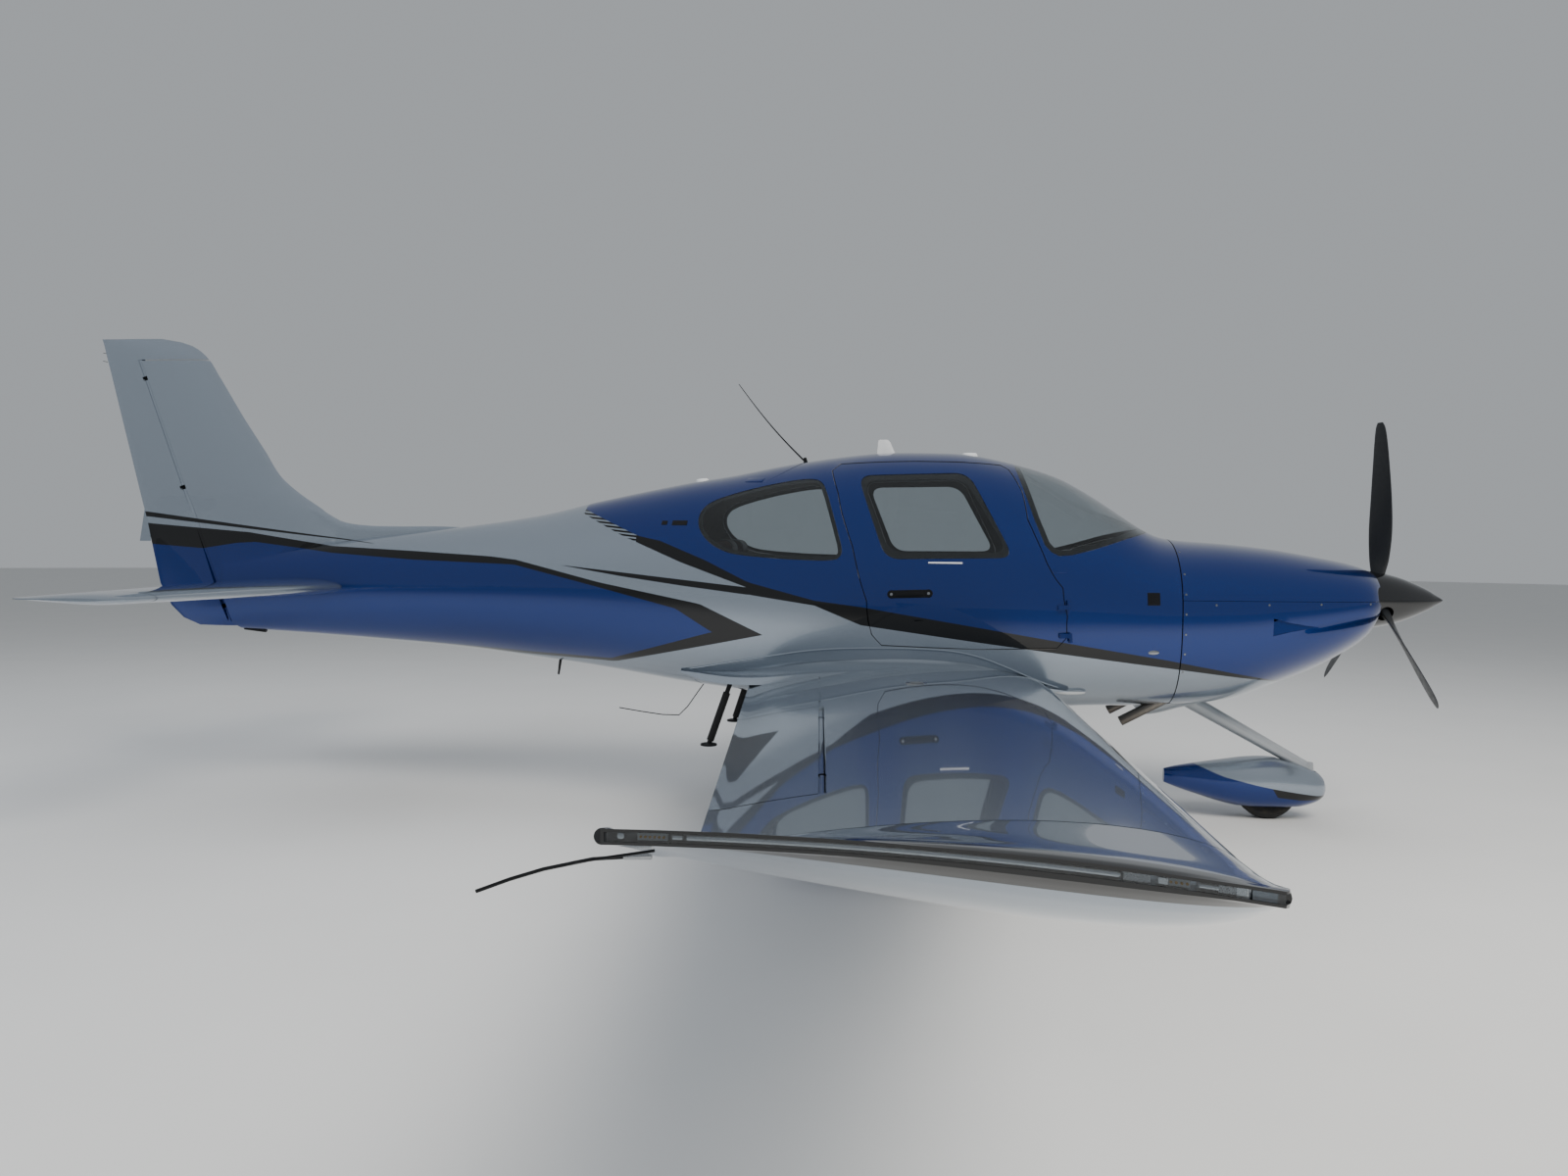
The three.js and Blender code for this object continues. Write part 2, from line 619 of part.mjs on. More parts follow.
const STAB = { rootLeading: -2316, rootTrailing: -3340, sweep: 0.0966, forwardTrailing: 0.147, height: 1225 };
const STAB_SPAN = 1970;
const HORN_START = 1725;
const ELEVATOR_INNER = 128;
const ELEVATOR_HINGE = -2970;
const ELEVATOR_UP = 25;
const ELEVATOR_DOWN = 15;
const ELEVATOR_KNUCKLES = [825, 2625];
const ELEVATOR_SPAR = 45; // from the hinge to the stabilizer's rear face inside the tail cone
const TUBE = { radius: 18, bore: 18.5, bearing: 40 }; // the elevator's torque tube through the tail cone
// Stabilizer sections: distance out, how far the tips draw in, thickness.
const STAB_SECTIONS = [[STAB_SPAN, 70, 14], [1950, 24, 36], [1890, 0, 52], [ELEVATOR_INNER, 0, 98]];
const TIP_DRAW_AFT = 0.6; // share of that drawing in at the trailing edge

function tailplaneSolid(extra) {
  const row = (y, inset, thickness) => foilRing({
    leading: STAB.rootLeading - STAB.sweep * Math.abs(y) - inset + extra,
    trailing: STAB.rootTrailing + STAB.forwardTrailing * Math.abs(y) + inset * TIP_DRAW_AFT - extra,
    height: STAB.height,
    thickness: thickness + 2 * extra,
  }, (x, z) => [x, y, z]);
  return loft([
    ...STAB_SECTIONS.map(([y, inset, thickness]) => row(-y, inset, thickness)),
    ...STAB_SECTIONS.toReversed().map(([y, inset, thickness]) => row(y, inset, thickness)),
  ]);
}

const elevatorHinge = hingeLine(
  [ELEVATOR_HINGE, -HORN_START, STAB.height],
  [ELEVATOR_HINGE, HORN_START, STAB.height],
  UP,
);
const ELEVATOR_NOSES = [16, 16];
const tailplaneCut = surfaceRoom(elevatorHinge, ELEVATOR_NOSES, {
  low: ELEVATOR_DOWN + SWING_MARGIN, high: ELEVATOR_UP + SWING_MARGIN, endGap: HORN_START,
});

function tailplane() {
  const besideCone = ELEVATOR_INNER + TUBE.bearing;
  const span = HORN_START - HINGE_GAP;
  return tailplaneSolid(0)
    .subtract(tailplaneCut)
    .subtract(block({ x: [-FAR, ELEVATOR_HINGE + ELEVATOR_SPAR], y: [-besideCone, besideCone] }))
    .intersect(block({ y: [-span, span] }))
    .add(knuckleEyes(elevatorHinge, ELEVATOR_NOSES, ELEVATOR_KNUCKLES));
}

function elevator() {
  const whole = tailplaneSolid(0);
  const aftBody = surfaceBody(whole, elevatorHinge, ELEVATOR_NOSES)
    .subtract(block({ y: [-ELEVATOR_INNER, ELEVATOR_INNER] }));
  const horns = [[HORN_START, FAR], [-FAR, -HORN_START]].map((y) => whole.intersect(block({ y })));
  const tubeEnd = ELEVATOR_INNER + TUBE.bearing;
  const tube = bar(
    [ELEVATOR_HINGE, -tubeEnd, STAB.height],
    [ELEVATOR_HINGE, tubeEnd, STAB.height],
    TUBE.radius,
  );
  return notched(joined(aftBody, ...horns, tube), elevatorHinge, ELEVATOR_NOSES, ELEVATOR_KNUCKLES);
}

// Fin and rudder: height, leading edge, trailing edge, thickness.
const FIN = [
  [975, -3070, -3325, 50],
  [1019, -2990, -3434, 95],
  [1095, -2840, -3515, 125],
  [1229, -2640, -3586, 138],
  [1500, -2380, -3645, 125],
  [1600, -2440, -3666, 112],
  [1682, -2520, -3687, 108],
  [1785, -2675, -3714, 104],
  [1889, -2798, -3740, 98],
  [2042, -2898, -3779, 92],
  [2250, -3038, -3832, 84],
  [2508, -3198, -3897, 73],
  [2622, -3278, -3927, 66],
  [2699, -3400, -3946, 42],
  [2729, -3563, -3957, 14],
];
const RUDDER_HINGE = { footZ: 900, slope: 0.3686, zeroX: -3126, zeroZ: 1040, hornZ: 2600 };
const RUDDER_SWING = 20;
const RUDDER_NOSES = [40, 20];
const RUDDER_KNUCKLES = [210, 980, 1690]; // distances up the hinge line from its foot

const rudderHingeX = (z) => RUDDER_HINGE.zeroX - RUDDER_HINGE.slope * (z - RUDDER_HINGE.zeroZ);
const rudderHinge = hingeLine(
  [rudderHingeX(RUDDER_HINGE.footZ), 0, RUDDER_HINGE.footZ],
  [rudderHingeX(RUDDER_HINGE.hornZ), 0, RUDDER_HINGE.hornZ],
  new THREE.Vector3(0, -1, 0),
);

// The ridge along the spine ahead of the fin: place, top, half width.
const RIDGE = [
  [-1620, 1590, 6], [-1800, 1595, 14], [-2050, 1593, 22], [-2250, 1597, 28],
  [-2404, 1619, 32], [-2497, 1666, 35], [-2591, 1716, 36], [-2700, 1720, 36],
];
const RIDGE_FOOT = 1465;
const RIDGE_SHOULDER = { width: 0.7, drop: 10, side: 34 };

function spineRidge() {
  const { width, drop, side } = RIDGE_SHOULDER;
  return loft(RIDGE.map(([x, top, half]) => {
    const right = [[x, -half * width, top - drop], [x, -half, top - side], [x, -half, RIDGE_FOOT]];
    return [[x, 0, top], ...right, ...right.toReversed().map(([, y, z]) => [x, -y, z])];
  }));
}

function finSolid() {
  return loft(FIN.map(([z, leading, trailing, thickness]) => (
    foilRing({ leading, trailing, height: 0, thickness }, (x, y) => [x, y, z])
  )));
}

function rudder() {
  const whole = finSolid();
  const cap = whole.intersect(block({ z: [RUDDER_HINGE.hornZ, FAR] }));
  const body = surfaceBody(whole, rudderHinge, RUDDER_NOSES).add(cap);
  return notched(body, rudderHinge, RUDDER_NOSES, RUDDER_KNUCKLES);
}

const TAIL_WALL = 28;
const TAIL_HOLLOW_END = -2100;
const RUDDER_ROOM_PAST_ENDS = 400;
const SKID = {
  outline: [[-2875, 985], [-2960, 985], [-3040, 958], [-3035, 950], [-2900, 936]],
  halfThick: 9,
};

function rearFuselage() {
  const room = surfaceRoom(rudderHinge, RUDDER_NOSES, {
    low: RUDDER_SWING + SWING_MARGIN, high: RUDDER_SWING + SWING_MARGIN, endGap: RUDDER_ROOM_PAST_ENDS,
  });
  const hollow = fuselageSolid(CABIN_REAR + OVERRUN, TAIL_HOLLOW_END, TAIL_WALL);
  const fin = finSolid().intersect(block({ z: [-FAR, RUDDER_HINGE.hornZ - HINGE_GAP] }));
  const stabSlot = tailplaneSolid(MATING_GAP)
    .intersect(block({ x: [ELEVATOR_HINGE + ELEVATOR_SPAR - MATING_GAP, FAR] }));
  const tubeBore = bar(
    [ELEVATOR_HINGE, -ACROSS, STAB.height],
    [ELEVATOR_HINGE, ACROSS, STAB.height],
    TUBE.bore, TUBE.bore, ROUND.ring,
  );
  return fuselageSolid(CABIN_REAR - MATING_GAP, TAIL_END, 0)
    .add(spineRidge())
    .subtract(hollow)
    .add(fin)
    .add(sideplate(SKID.outline, -SKID.halfThick, SKID.halfThick))
    .subtract(room)
    .subtract(stabSlot)
    .subtract(tubeBore)
    .add(knuckleEyes(rudderHinge, RUDDER_NOSES, RUDDER_KNUCKLES));
}

// Engine bay

const COWL_SKIN = 14;
const COWL_FACE = [3335, 3655]; // the inlets and the shaft hole are cut between these
const THRUST_Z = 1238;
const SHAFT_HOLE = 78;
const HUB_BACK = COWL_FRONT + 6;
const INLET = { y: 225, z: 1262, halfWide: 78, halfHigh: 52 };

function ellipseBar(x0, x1, y, z, halfWide, halfHigh) {
  const geometry = new THREE.CylinderGeometry(1, 1, x1 - x0, ROUND.ring);
  geometry.rotateZ(Math.PI / 2);
  geometry.scale(1, halfWide, halfHigh);
  return solidOf(geometry.translate((x0 + x1) / 2, y, z));
}

function cowlShell() {
  const [from, to] = COWL_FACE;
  let shell = fuselageSolid(COWL_FRONT, FIREWALL_SEAM + MATING_GAP, 0)
    .subtract(fuselageSolid(COWL_FRONT - COWL_SKIN, FIREWALL_SEAM - COWL_SKIN, COWL_SKIN))
    .subtract(bar([from, 0, THRUST_Z], [to, 0, THRUST_Z], SHAFT_HOLE, SHAFT_HOLE, ROUND.ring));
  for (const [, side] of SIDES) {
    shell = shell
      .subtract(ellipseBar(from, to, side * INLET.y, INLET.z, INLET.halfWide, INLET.halfHigh))
      .subtract(exhaustTunnel(side));
  }
  return shell;
}

const COWL_SPLIT = 1238;
const ENGINE = { rear: 2620, front: 3200, halfWidth: 300, foot: 1050, top: 1370 };
const SUMP = { rear: 2700, front: 3050, halfWidth: 180, foot: 900 };
const SHAFT = { rootRadius: 60, endRadius: 45 };
const ENGINE_TUBES = { y: 240, heights: [1330, 1090], radius: 14, splay: 1.15 };
const OVERLAP = 1; // where two shapes are joined into one

function engine() {
  const { rear, front, halfWidth, foot, top } = ENGINE;
  const crankcase = box(rear, front, -halfWidth, halfWidth, foot, top);
  const sump = box(SUMP.rear, SUMP.front, -SUMP.halfWidth, SUMP.halfWidth, SUMP.foot, foot + OVERLAP);
  const shaft = bar(
    [front - OVERLAP, 0, THRUST_Z],
    [HUB_BACK - MATING_GAP, 0, THRUST_Z],
    SHAFT.rootRadius, SHAFT.endRadius,
  );
  const tubes = SIDES.flatMap(([, side]) => ENGINE_TUBES.heights.map((z) => {
    const y = side * ENGINE_TUBES.y;
    const wallEnd = [FIREWALL_SEAM - COWL_SKIN, y * ENGINE_TUBES.splay, z];
    return bar([rear + COWL_SKIN, y, z], wallEnd, ENGINE_TUBES.radius, ENGINE_TUBES.radius, ROUND.tube);
  }));
  return joined(crankcase, sump, shaft, ...tubes).intersect(block({ x: [FIREWALL_SEAM, FAR] }));
}

// A pipe leaves the engine's underside and slopes back through a tunnel in the belly.
const PIPE = {
  y: 230, head: [2760, 1080], bend: [2720, 839], end: [2195, 555], radius: 27, bore: 24, tunnel: 33,
};
const PIPE_BORE = { from: 0.75, to: 1.02 }; // its stretch, as shares of the slope

function pipeBar([x0, z0], [x1, z1], side, radius, sides) {
  return bar([x0, side * PIPE.y, z0], [x1, side * PIPE.y, z1], radius, radius, sides);
}

function exhaustPipe(side) {
  const along = (share) => PIPE.bend.map((value, i) => value + (PIPE.end[i] - value) * share);
  const elbow = new THREE.SphereGeometry(PIPE.radius, ROUND.rod, ROUND.rod / 2);
  return joined(
    pipeBar(PIPE.head, PIPE.bend, side, PIPE.radius, ROUND.rod),
    solidOf(elbow.translate(PIPE.bend[0], side * PIPE.y, PIPE.bend[1])),
    pipeBar(PIPE.bend, PIPE.end, side, PIPE.radius, ROUND.rod),
  )
    .subtract(pipeBar(along(PIPE_BORE.from), along(PIPE_BORE.to), side, PIPE.bore, ROUND.rod))
    .intersect(block({ z: [-FAR, ENGINE.foot - MATING_GAP] }));
}

function exhaustTunnel(side) {
  return pipeBar(PIPE.bend, PIPE.end, side, PIPE.tunnel, ROUND.axle);
}

// Propeller: spinner profile of [distance from the tip, radius] and three blades.
const SPINNER = [
  [0, 0], [12, 10], [41, 28], [84, 55], [159, 92], [231, 121], [305, 142], [370, 155], [400, 158], [400, 0],
];
const TIP_X = 3960;
const SPINNER_LENGTH = 400;
const SPINNER_BORE = 96;
const BLADE_X = 3612;
const BLADE_REACH = 980;
const BLADE_ANGLES = [0, 120, 240];
const BLADE_HOLE = { radius: 44, from: 40, to: 240 }; // where a blade's root leaves the spinner
const HUB = { radius: 80, front: 70, plateRadius: 157 };
const BLADE_RING = 10; // points round a blade section
// Blade sections: radius, chord, thickness, pitch in degrees, forward shift of the middle.
const BLADE = [
  [70, 62, 60, 50, 0],
  [140, 74, 50, 48, 0],
  [220, 112, 24, 42, 4],
  [380, 146, 17, 34, 8],
  [560, 146, 13, 27, 8],
  [740, 128, 10, 22, 2],
  [880, 104, 8, 19, -6],
  [955, 76, 6, 18, -12],
  [BLADE_REACH, 44, 5, 17, -16],
];

function spinner() {
  const profile = SPINNER.map(([depth, radius]) => new THREE.Vector2(radius, -depth));
  const geometry = new THREE.LatheGeometry(profile, ROUND.pad);
  geometry.rotateZ(-Math.PI / 2);
  const hubRoom = bar(
    [TIP_X - SPINNER_LENGTH - OVERLAP, 0, THRUST_Z],
    [BLADE_X + HUB.front + HINGE_GAP, 0, THRUST_Z],
    SPINNER_BORE,
  );
  const shell = solidOf(geometry.translate(TIP_X, 0, THRUST_Z)).subtract(hubRoom);
  return BLADE_ANGLES.reduce((result, angle) => {
    const turn = THREE.MathUtils.degToRad(angle);
    const at = (radius) => [BLADE_X, radius * Math.sin(turn), THRUST_Z + radius * Math.cos(turn)];
    const { radius, from, to } = BLADE_HOLE;
    return result.subtract(bar(at(from), at(to), radius, radius, ROUND.pin));
  }, shell);
}

function blade() {
  return loft(BLADE.map(([radius, chord, thickness, pitch, shift]) => {
    const turn = THREE.MathUtils.degToRad(pitch);
    return Array.from({ length: BLADE_RING }, (_, k) => {
      const angle = (2 * Math.PI * k) / BLADE_RING;
      const [along, across] = [(Math.cos(angle) * chord) / 2 + shift, (Math.sin(angle) * thickness) / 2];
      return [
        BLADE_X + along * Math.sin(turn) - across * Math.cos(turn),
        -along * Math.cos(turn) - across * Math.sin(turn),
        THRUST_Z + radius,
      ];
    });
  }));
}

function propeller() {
  const back = [HUB_BACK, 0, THRUST_Z];
  const plateFront = [TIP_X - SPINNER_LENGTH - MATING_GAP, 0, THRUST_Z];
  const blades = BLADE_ANGLES.map((angle) => (
    blade().translate([0, 0, -THRUST_Z]).rotate([angle, 0, 0]).translate([0, 0, THRUST_Z])
  ));
  return joined(
    bar(back, [BLADE_X + HUB.front, 0, THRUST_Z], HUB.radius),
    bar(back, plateFront, HUB.plateRadius, HUB.plateRadius, ROUND.ring),
    ...blades,
  );
}

// Nose gear. The pivot is upright, and the fork trails behind it.

const NOSE = { pivotX: 3265, axleX: 3040, axleZ: 165, radius: 165, halfTread: 62, rim: 66, axleRadius: 12 };
const SOCKET = { foot: 246, top: 318, footRadius: 34, topRadius: 28 };
const LEG = { top: [2600, 0, 655], foot: [3259, 0, 290], topRadius: 42, footRadius: 30 };
// The tapered housing under the cowl's chin that carries the leg's root: place, half width, underside.
const CHIN = [[2300, 60, 615], [2356, 92, 567], [2560, 88, 612], [2720, 60, 655], [2790, 20, 672]];
const CHIN_TOP = 760;
const CHIN_EDGE = { share: 0.7, rise: 25 }; // its lower edges

function noseLeg() {
  const leg = bar(LEG.top, LEG.foot, LEG.topRadius, LEG.footRadius);
  const { foot, top, footRadius, topRadius } = SOCKET;
  const socket = bar([NOSE.pivotX, 0, foot], [NOSE.pivotX, 0, top], footRadius, topRadius);
  return joined(leg, socket, chinHousing()).subtract(fuselageSolid(COWL_FRONT, CABIN_REAR, -MATING_GAP));
}

function chinHousing() {
  return loft(CHIN.map(([x, half, foot]) => {
    const left = [
      [x, half, CHIN_TOP],
      [x, half, foot + CHIN_EDGE.rise],
      [x, half * CHIN_EDGE.share, foot],
    ];
    return [...left, ...left.toReversed().map(([, y, z]) => [x, -y, z])];
  }));
}

const FORK_ARM = { y: 74, thick: 10, high: 34, pastAxle: 22 };
const FORK_BRIDGE = { ahead: 20, behind: 30, foot: 186, top: 214 };
const FORK_PLAY = 0.5; // between the turning post and its socket
const FORK_POST = { radius: 24, foot: 195, top: SOCKET.foot - FORK_PLAY };

function noseFork() {
  const { pivotX, axleX, axleZ, axleRadius } = NOSE;
  const { ahead, behind, foot, top } = FORK_BRIDGE;
  const reach = FORK_ARM.y + FORK_ARM.thick;
  const armOutline = [
    [pivotX + ahead, top],
    [pivotX + ahead, foot],
    [axleX - FORK_ARM.pastAxle, axleZ - FORK_ARM.high / 2],
    [axleX - FORK_ARM.pastAxle, axleZ + FORK_ARM.high / 2],
    [pivotX - behind, top],
  ];
  return joined(
    bar([pivotX, 0, FORK_POST.foot], [pivotX, 0, FORK_POST.top], FORK_POST.radius),
    box(pivotX - behind, pivotX + ahead, -reach, reach, foot, top),
    sideplate(armOutline, FORK_ARM.y, reach),
    sideplate(armOutline, -reach, -FORK_ARM.y),
    bar(
      [axleX, -reach - OVERLAP, axleZ],
      [axleX, reach + OVERLAP, axleZ],
      axleRadius, axleRadius, ROUND.axle,
    ),
  );
}

// Wheel fairing sections: distance from the axle, top, bottom, half width.
const FAIRING = [
  [316, 206, 150, 30],
  [300, 240, 122, 62],
  [250, 282, 92, 98],
  [150, 322, 66, 128],
  [30, 344, 56, 140],
  [-100, 342, 58, 140],
  [-240, 322, 82, 122],
  [-380, 300, 122, 88],
  [-500, 278, 160, 52],
  [-562, 262, 184, 22],
];
const FAIRING_SKIN = 5;
const FAIRING_POINTS = 14;
const FAIRING_POWER = 2.3;
const HOLLOW_ROWS = [2, 7]; // the sections round the wheel, where the shell is hollow

function fairingRing([offset, top, bottom, half], x0, y0, inset) {
  const middle = (top + bottom) / 2;
  return Array.from({ length: FAIRING_POINTS }, (_, k) => {
    const angle = (2 * Math.PI * k) / FAIRING_POINTS;
    const [c, s] = [Math.cos(angle), Math.sin(angle)];
    return [
      x0 + offset,
      y0 + (half - inset) * Math.sign(c) * Math.abs(c) ** (2 / FAIRING_POWER),
      middle + ((top - bottom) / 2 - inset) * Math.sign(s) * Math.abs(s) ** (2 / FAIRING_POWER),
    ];
  });
}

function fairingShell(x0, y0, { long, high, well }) {
  const sized = FAIRING.map(([offset, top, bottom, half]) => (
    [offset * long, top * high, bottom * high, half]
  ));
  const outer = loft(sized.map((row) => fairingRing(row, x0, y0, 0)));
  const inner = loft(sized.slice(...HOLLOW_ROWS).map((row) => fairingRing(row, x0, y0, FAIRING_SKIN)));
  return outer.subtract(inner).subtract(wheelWell(x0, y0, well));
}

// The opening under a wheel, a long rounded slot.
const WELL_POINTS = 12;
const WELL_HEIGHTS = [-10, 130];

function wheelWell(x0, y0, [halfLong, halfWide]) {
  const rootOf = (value) => Math.sign(value) * Math.sqrt(Math.abs(value));
  return loft(WELL_HEIGHTS.map((z) => Array.from({ length: WELL_POINTS }, (_, k) => {
    const angle = (2 * Math.PI * k) / WELL_POINTS;
    return [x0 + halfLong * rootOf(Math.cos(angle)), y0 + halfWide * rootOf(Math.sin(angle)), z];
  })));
}

const NOSE_FAIRING = { long: 1, high: 1, well: [174, 80] };
// The leg's underside sweeps this cone as the wheel casters, above a round well for the fork's post.
const DISH = { foot: 267, height: 220, radius: 42, flare: 455, wellFoot: 215 };
const FAIRING_BOSS = { radius: 16, reach: 136 };

function noseFairing() {
  const { pivotX, axleX, axleZ, axleRadius } = NOSE;
  const { foot, height, radius, flare, wellFoot } = DISH;
  const dish = bar([pivotX, 0, foot], [pivotX, 0, foot + height], radius, flare)
    .add(bar([pivotX, 0, wellFoot], [pivotX, 0, foot + OVERLAP], radius));
  const bosses = SIDES.map(([, side]) => {
    const inner = side * (FORK_ARM.y + FORK_ARM.thick + MATING_GAP);
    return bar([axleX, inner, axleZ], [axleX, side * FAIRING_BOSS.reach, axleZ], FAIRING_BOSS.radius);
  });
  const bore = bar(
    [axleX, -FORK_ARM.y - 2 * FORK_ARM.thick, axleZ],
    [axleX, FORK_ARM.y + 2 * FORK_ARM.thick, axleZ],
    axleRadius + MATING_GAP, axleRadius + MATING_GAP, ROUND.axle,
  );
  return joined(fairingShell(axleX, 0, NOSE_FAIRING).subtract(dish), ...bosses).subtract(bore);
}

// Wheels: a tyre and the hub inside it, both turned about a level axle.
const WHEEL_SEGMENTS = 18;

function turned(profile, [x, y, z]) {
  const points = profile.map(([radius, across]) => new THREE.Vector2(radius, across));
  return solidOf(new THREE.LatheGeometry(points, WHEEL_SEGMENTS).translate(x, y, z));
}

// Half profiles, from the inside out: shares of the radius and of the half width.
const BEAD = 0.7;
const TYRE_SHAPE = [[0.8, 1], [0.96, 0.72], [1, 0.3]];
const HUB_SHAPE = [[0.5, 0.5], [0.84, 0.3], [1, BEAD]];
const HUB_MIDDLE = 0.5;

function bothSides(half) {
  const near = half.map(([radius, across]) => [radius, -across]);
  return [...near, ...half.toReversed(), near[0]];
}

function tyre(centre, radius, half, rim) {
  const wall = TYRE_SHAPE.map(([out, across]) => [radius * out, half * across]);
  return turned(bothSides([[rim, half * BEAD], ...wall]), centre);
}

function hub(centre, rim, half, bore) {
  const web = HUB_SHAPE.map(([out, across]) => [(rim - MATING_GAP) * out, half * across]);
  return turned(bothSides([[bore, half * HUB_MIDDLE], ...web]), centre);
}

// Main gear

const MAIN = { x: 980, y: 1665, radius: 193, halfTread: 74, rim: 78, axleRadius: 16, axle: [1540, 1777] };
// Sections of a main leg: distance out, height, chord, thickness.
const MAIN_LEG = [
  [1235, 745, 150, 30],
  [1330, 640, 128, 26],
  [1420, 480, 110, 22],
  [1500, 320, 96, 19],
  [1540, 215, 84, 17],
  [1552, 175, 60, 16],
];
const LEG_RING = 12;
const MAIN_FAIRING = { long: 1.08, high: 1.19, well: [190, 86] };
const LEG_SLOT = { halfLong: 60, y: [1460, 1600], z: [170, 380] };
const MAIN_BOSS = { radius: 26, from: 1765, to: 1801 };

function axleBar(side, from, to, radius) {
  const at = (y) => [MAIN.x, side * y, MAIN.radius];
  return bar(at(from), at(to), radius, radius, ROUND.axle);
}

function mainLeg(side) {
  const leg = loft(MAIN_LEG.map(([y, z, chord, thickness]) => Array.from({ length: LEG_RING }, (_, k) => {
    const angle = (2 * Math.PI * k) / LEG_RING;
    return [MAIN.x + (Math.cos(angle) * chord) / 2, side * (y + (Math.sin(angle) * thickness) / 2), z];
  })));
  return leg.add(axleBar(side, ...MAIN.axle, MAIN.axleRadius)).subtract(wingSolid(side, MATING_GAP));
}

function mainFairing(side) {
  const { halfLong, y, z } = LEG_SLOT;
  const slot = box(MAIN.x - halfLong, MAIN.x + halfLong, ...(side > 0 ? y : [-y[1], -y[0]]), ...z);
  return fairingShell(MAIN.x, side * MAIN.y, MAIN_FAIRING)
    .subtract(slot)
    .add(axleBar(side, MAIN_BOSS.from, MAIN_BOSS.to, MAIN_BOSS.radius))
    .subtract(axleBar(side, y[1], MAIN.axle[1] + MATING_GAP, MAIN.axleRadius + MATING_GAP));
}

// Cabin fittings

const SEAT = { y: 290, halfWidth: 215 };
const SEAT_FOOT = FLOOR_TOP + MATING_GAP;
const SEAT_PROFILE = [
  [1330, SEAT_FOOT], [1330, 1030], [1345, 1075], [1310, 1100], [960, 1060], [830, 1600], [790, 1625],
  [740, 1610], [730, 1570], [860, 1030], [880, SEAT_FOOT],
];
const REAR_SEAT_PROFILE = [
  [480, SEAT_FOOT], [480, 1020], [470, 1060], [430, 1075], [140, 1040], [40, 1500], [10, 1530],
  [-50, 1520], [-70, 1480], [0, 1010], [0, SEAT_FOOT],
];
const REAR_SEAT_HALF_WIDTH = 430;
const PANEL_PROFILE = [
  [2330, 1490], [2180, 1500], [1990, 1478], [1960, 1455], [2010, 1170], [2120, 1130], [2330, 1130],
];
const fittingSpace = fuselageSolid(FIREWALL_SEAM - WALL, CABIN_REAR + WALL, WALL + MATING_GAP);

function seat(side) {
  const [inner, outer] = [SEAT.y - SEAT.halfWidth, SEAT.y + SEAT.halfWidth];
  return sideplate(SEAT_PROFILE, ...(side > 0 ? [inner, outer] : [-outer, -inner]));
}

function rearSeat() {
  return sideplate(REAR_SEAT_PROFILE, -REAR_SEAT_HALF_WIDTH, REAR_SEAT_HALF_WIDTH).intersect(fittingSpace);
}

function instrumentPanel() {
  return sideplate(PANEL_PROFILE, -ACROSS, ACROSS).intersect(fittingSpace);
}

// Small outside pieces

const STEP = { foot: [-60, 470, 400], top: [60, 440, 760], tubeRadius: 13, plateRadius: 58, plateHalf: 6 };

function boardingStep(side) {
  const at = ([x, y, z], rise = 0) => [x, side * y, z + rise];
  const { foot, top, tubeRadius, plateRadius, plateHalf } = STEP;
  return bar(at(foot, -plateHalf), at(foot, plateHalf), plateRadius)
    .add(bar(at(foot), at(top), tubeRadius, tubeRadius, ROUND.tube))
    .subtract(fuselageSolid(COWL_FRONT, TAIL_END, -MATING_GAP))
    .subtract(wingSolid(side, MATING_GAP).add(rootFillet(side)));
}

const WHIP = { foot: [420, 0, 1975], tip: [20, 0, 2440], radii: [5, 2] };
const WHIP_BASE = { foot: [420, 0, 1970], top: [414, 0, 2012], radii: [16, 9] };

function whipAntenna() {
  return bar(WHIP.foot, WHIP.tip, ...WHIP.radii, ROUND.rod)
    .add(bar(WHIP_BASE.foot, WHIP_BASE.top, ...WHIP_BASE.radii, ROUND.pin))
    .subtract(fuselageSolid(FIREWALL_SEAM, CABIN_REAR, -MATING_GAP));
}

// Assembly

const aeroplane = new THREE.Group();

function place(name, finish, solid) {
  const mesh = new THREE.Mesh(geometryOf(solid), new THREE.MeshStandardMaterial(FINISHES[finish]));
  mesh.name = name;
  aeroplane.add(mesh);
}

const AXLE_PLAY = 0.6;
const noseCentre = [NOSE.axleX, 0, NOSE.axleZ];
const cowl = cowlShell();
place("cabin_shell", "blue", cabinShell());
place("rear_fuselage", "pearl", rearFuselage());
place("cowl_upper", "blue", cowl.intersect(block({ z: [COWL_SPLIT + MATING_GAP / 2, FAR] })));
place("cowl_lower", "blue", cowl.intersect(block({ z: [-FAR, COWL_SPLIT - MATING_GAP / 2] })));
place("engine_block", "alloy", engine());
const windshield = sideplate(widened(WINDSHIELD, -MATING_GAP), -ACROSS, ACROSS);
place("windshield", "glass", paneWall.intersect(windshield));
place("horizontal_stabilizer", "pearl", tailplane());
place("elevator", "pearl", elevator());
place("rudder", "pearl", rudder());
place("spinner", "black", spinner());
place("propeller_blades", "black", propeller());
place("nose_gear_leg", "pearl", noseLeg());
place("nose_fork", "steel", noseFork());
place("nose_wheel_fairing", "blue", noseFairing());
place("nose_tyre", "rubber", tyre(noseCentre, NOSE.radius, NOSE.halfTread, NOSE.rim));
place("nose_hub", "alloy", hub(noseCentre, NOSE.rim, NOSE.halfTread, NOSE.axleRadius + AXLE_PLAY));
place("rear_seat", "hide", rearSeat());
place("instrument_panel", "black", instrumentPanel());
place("whip_antenna", "pearl", whipAntenna());
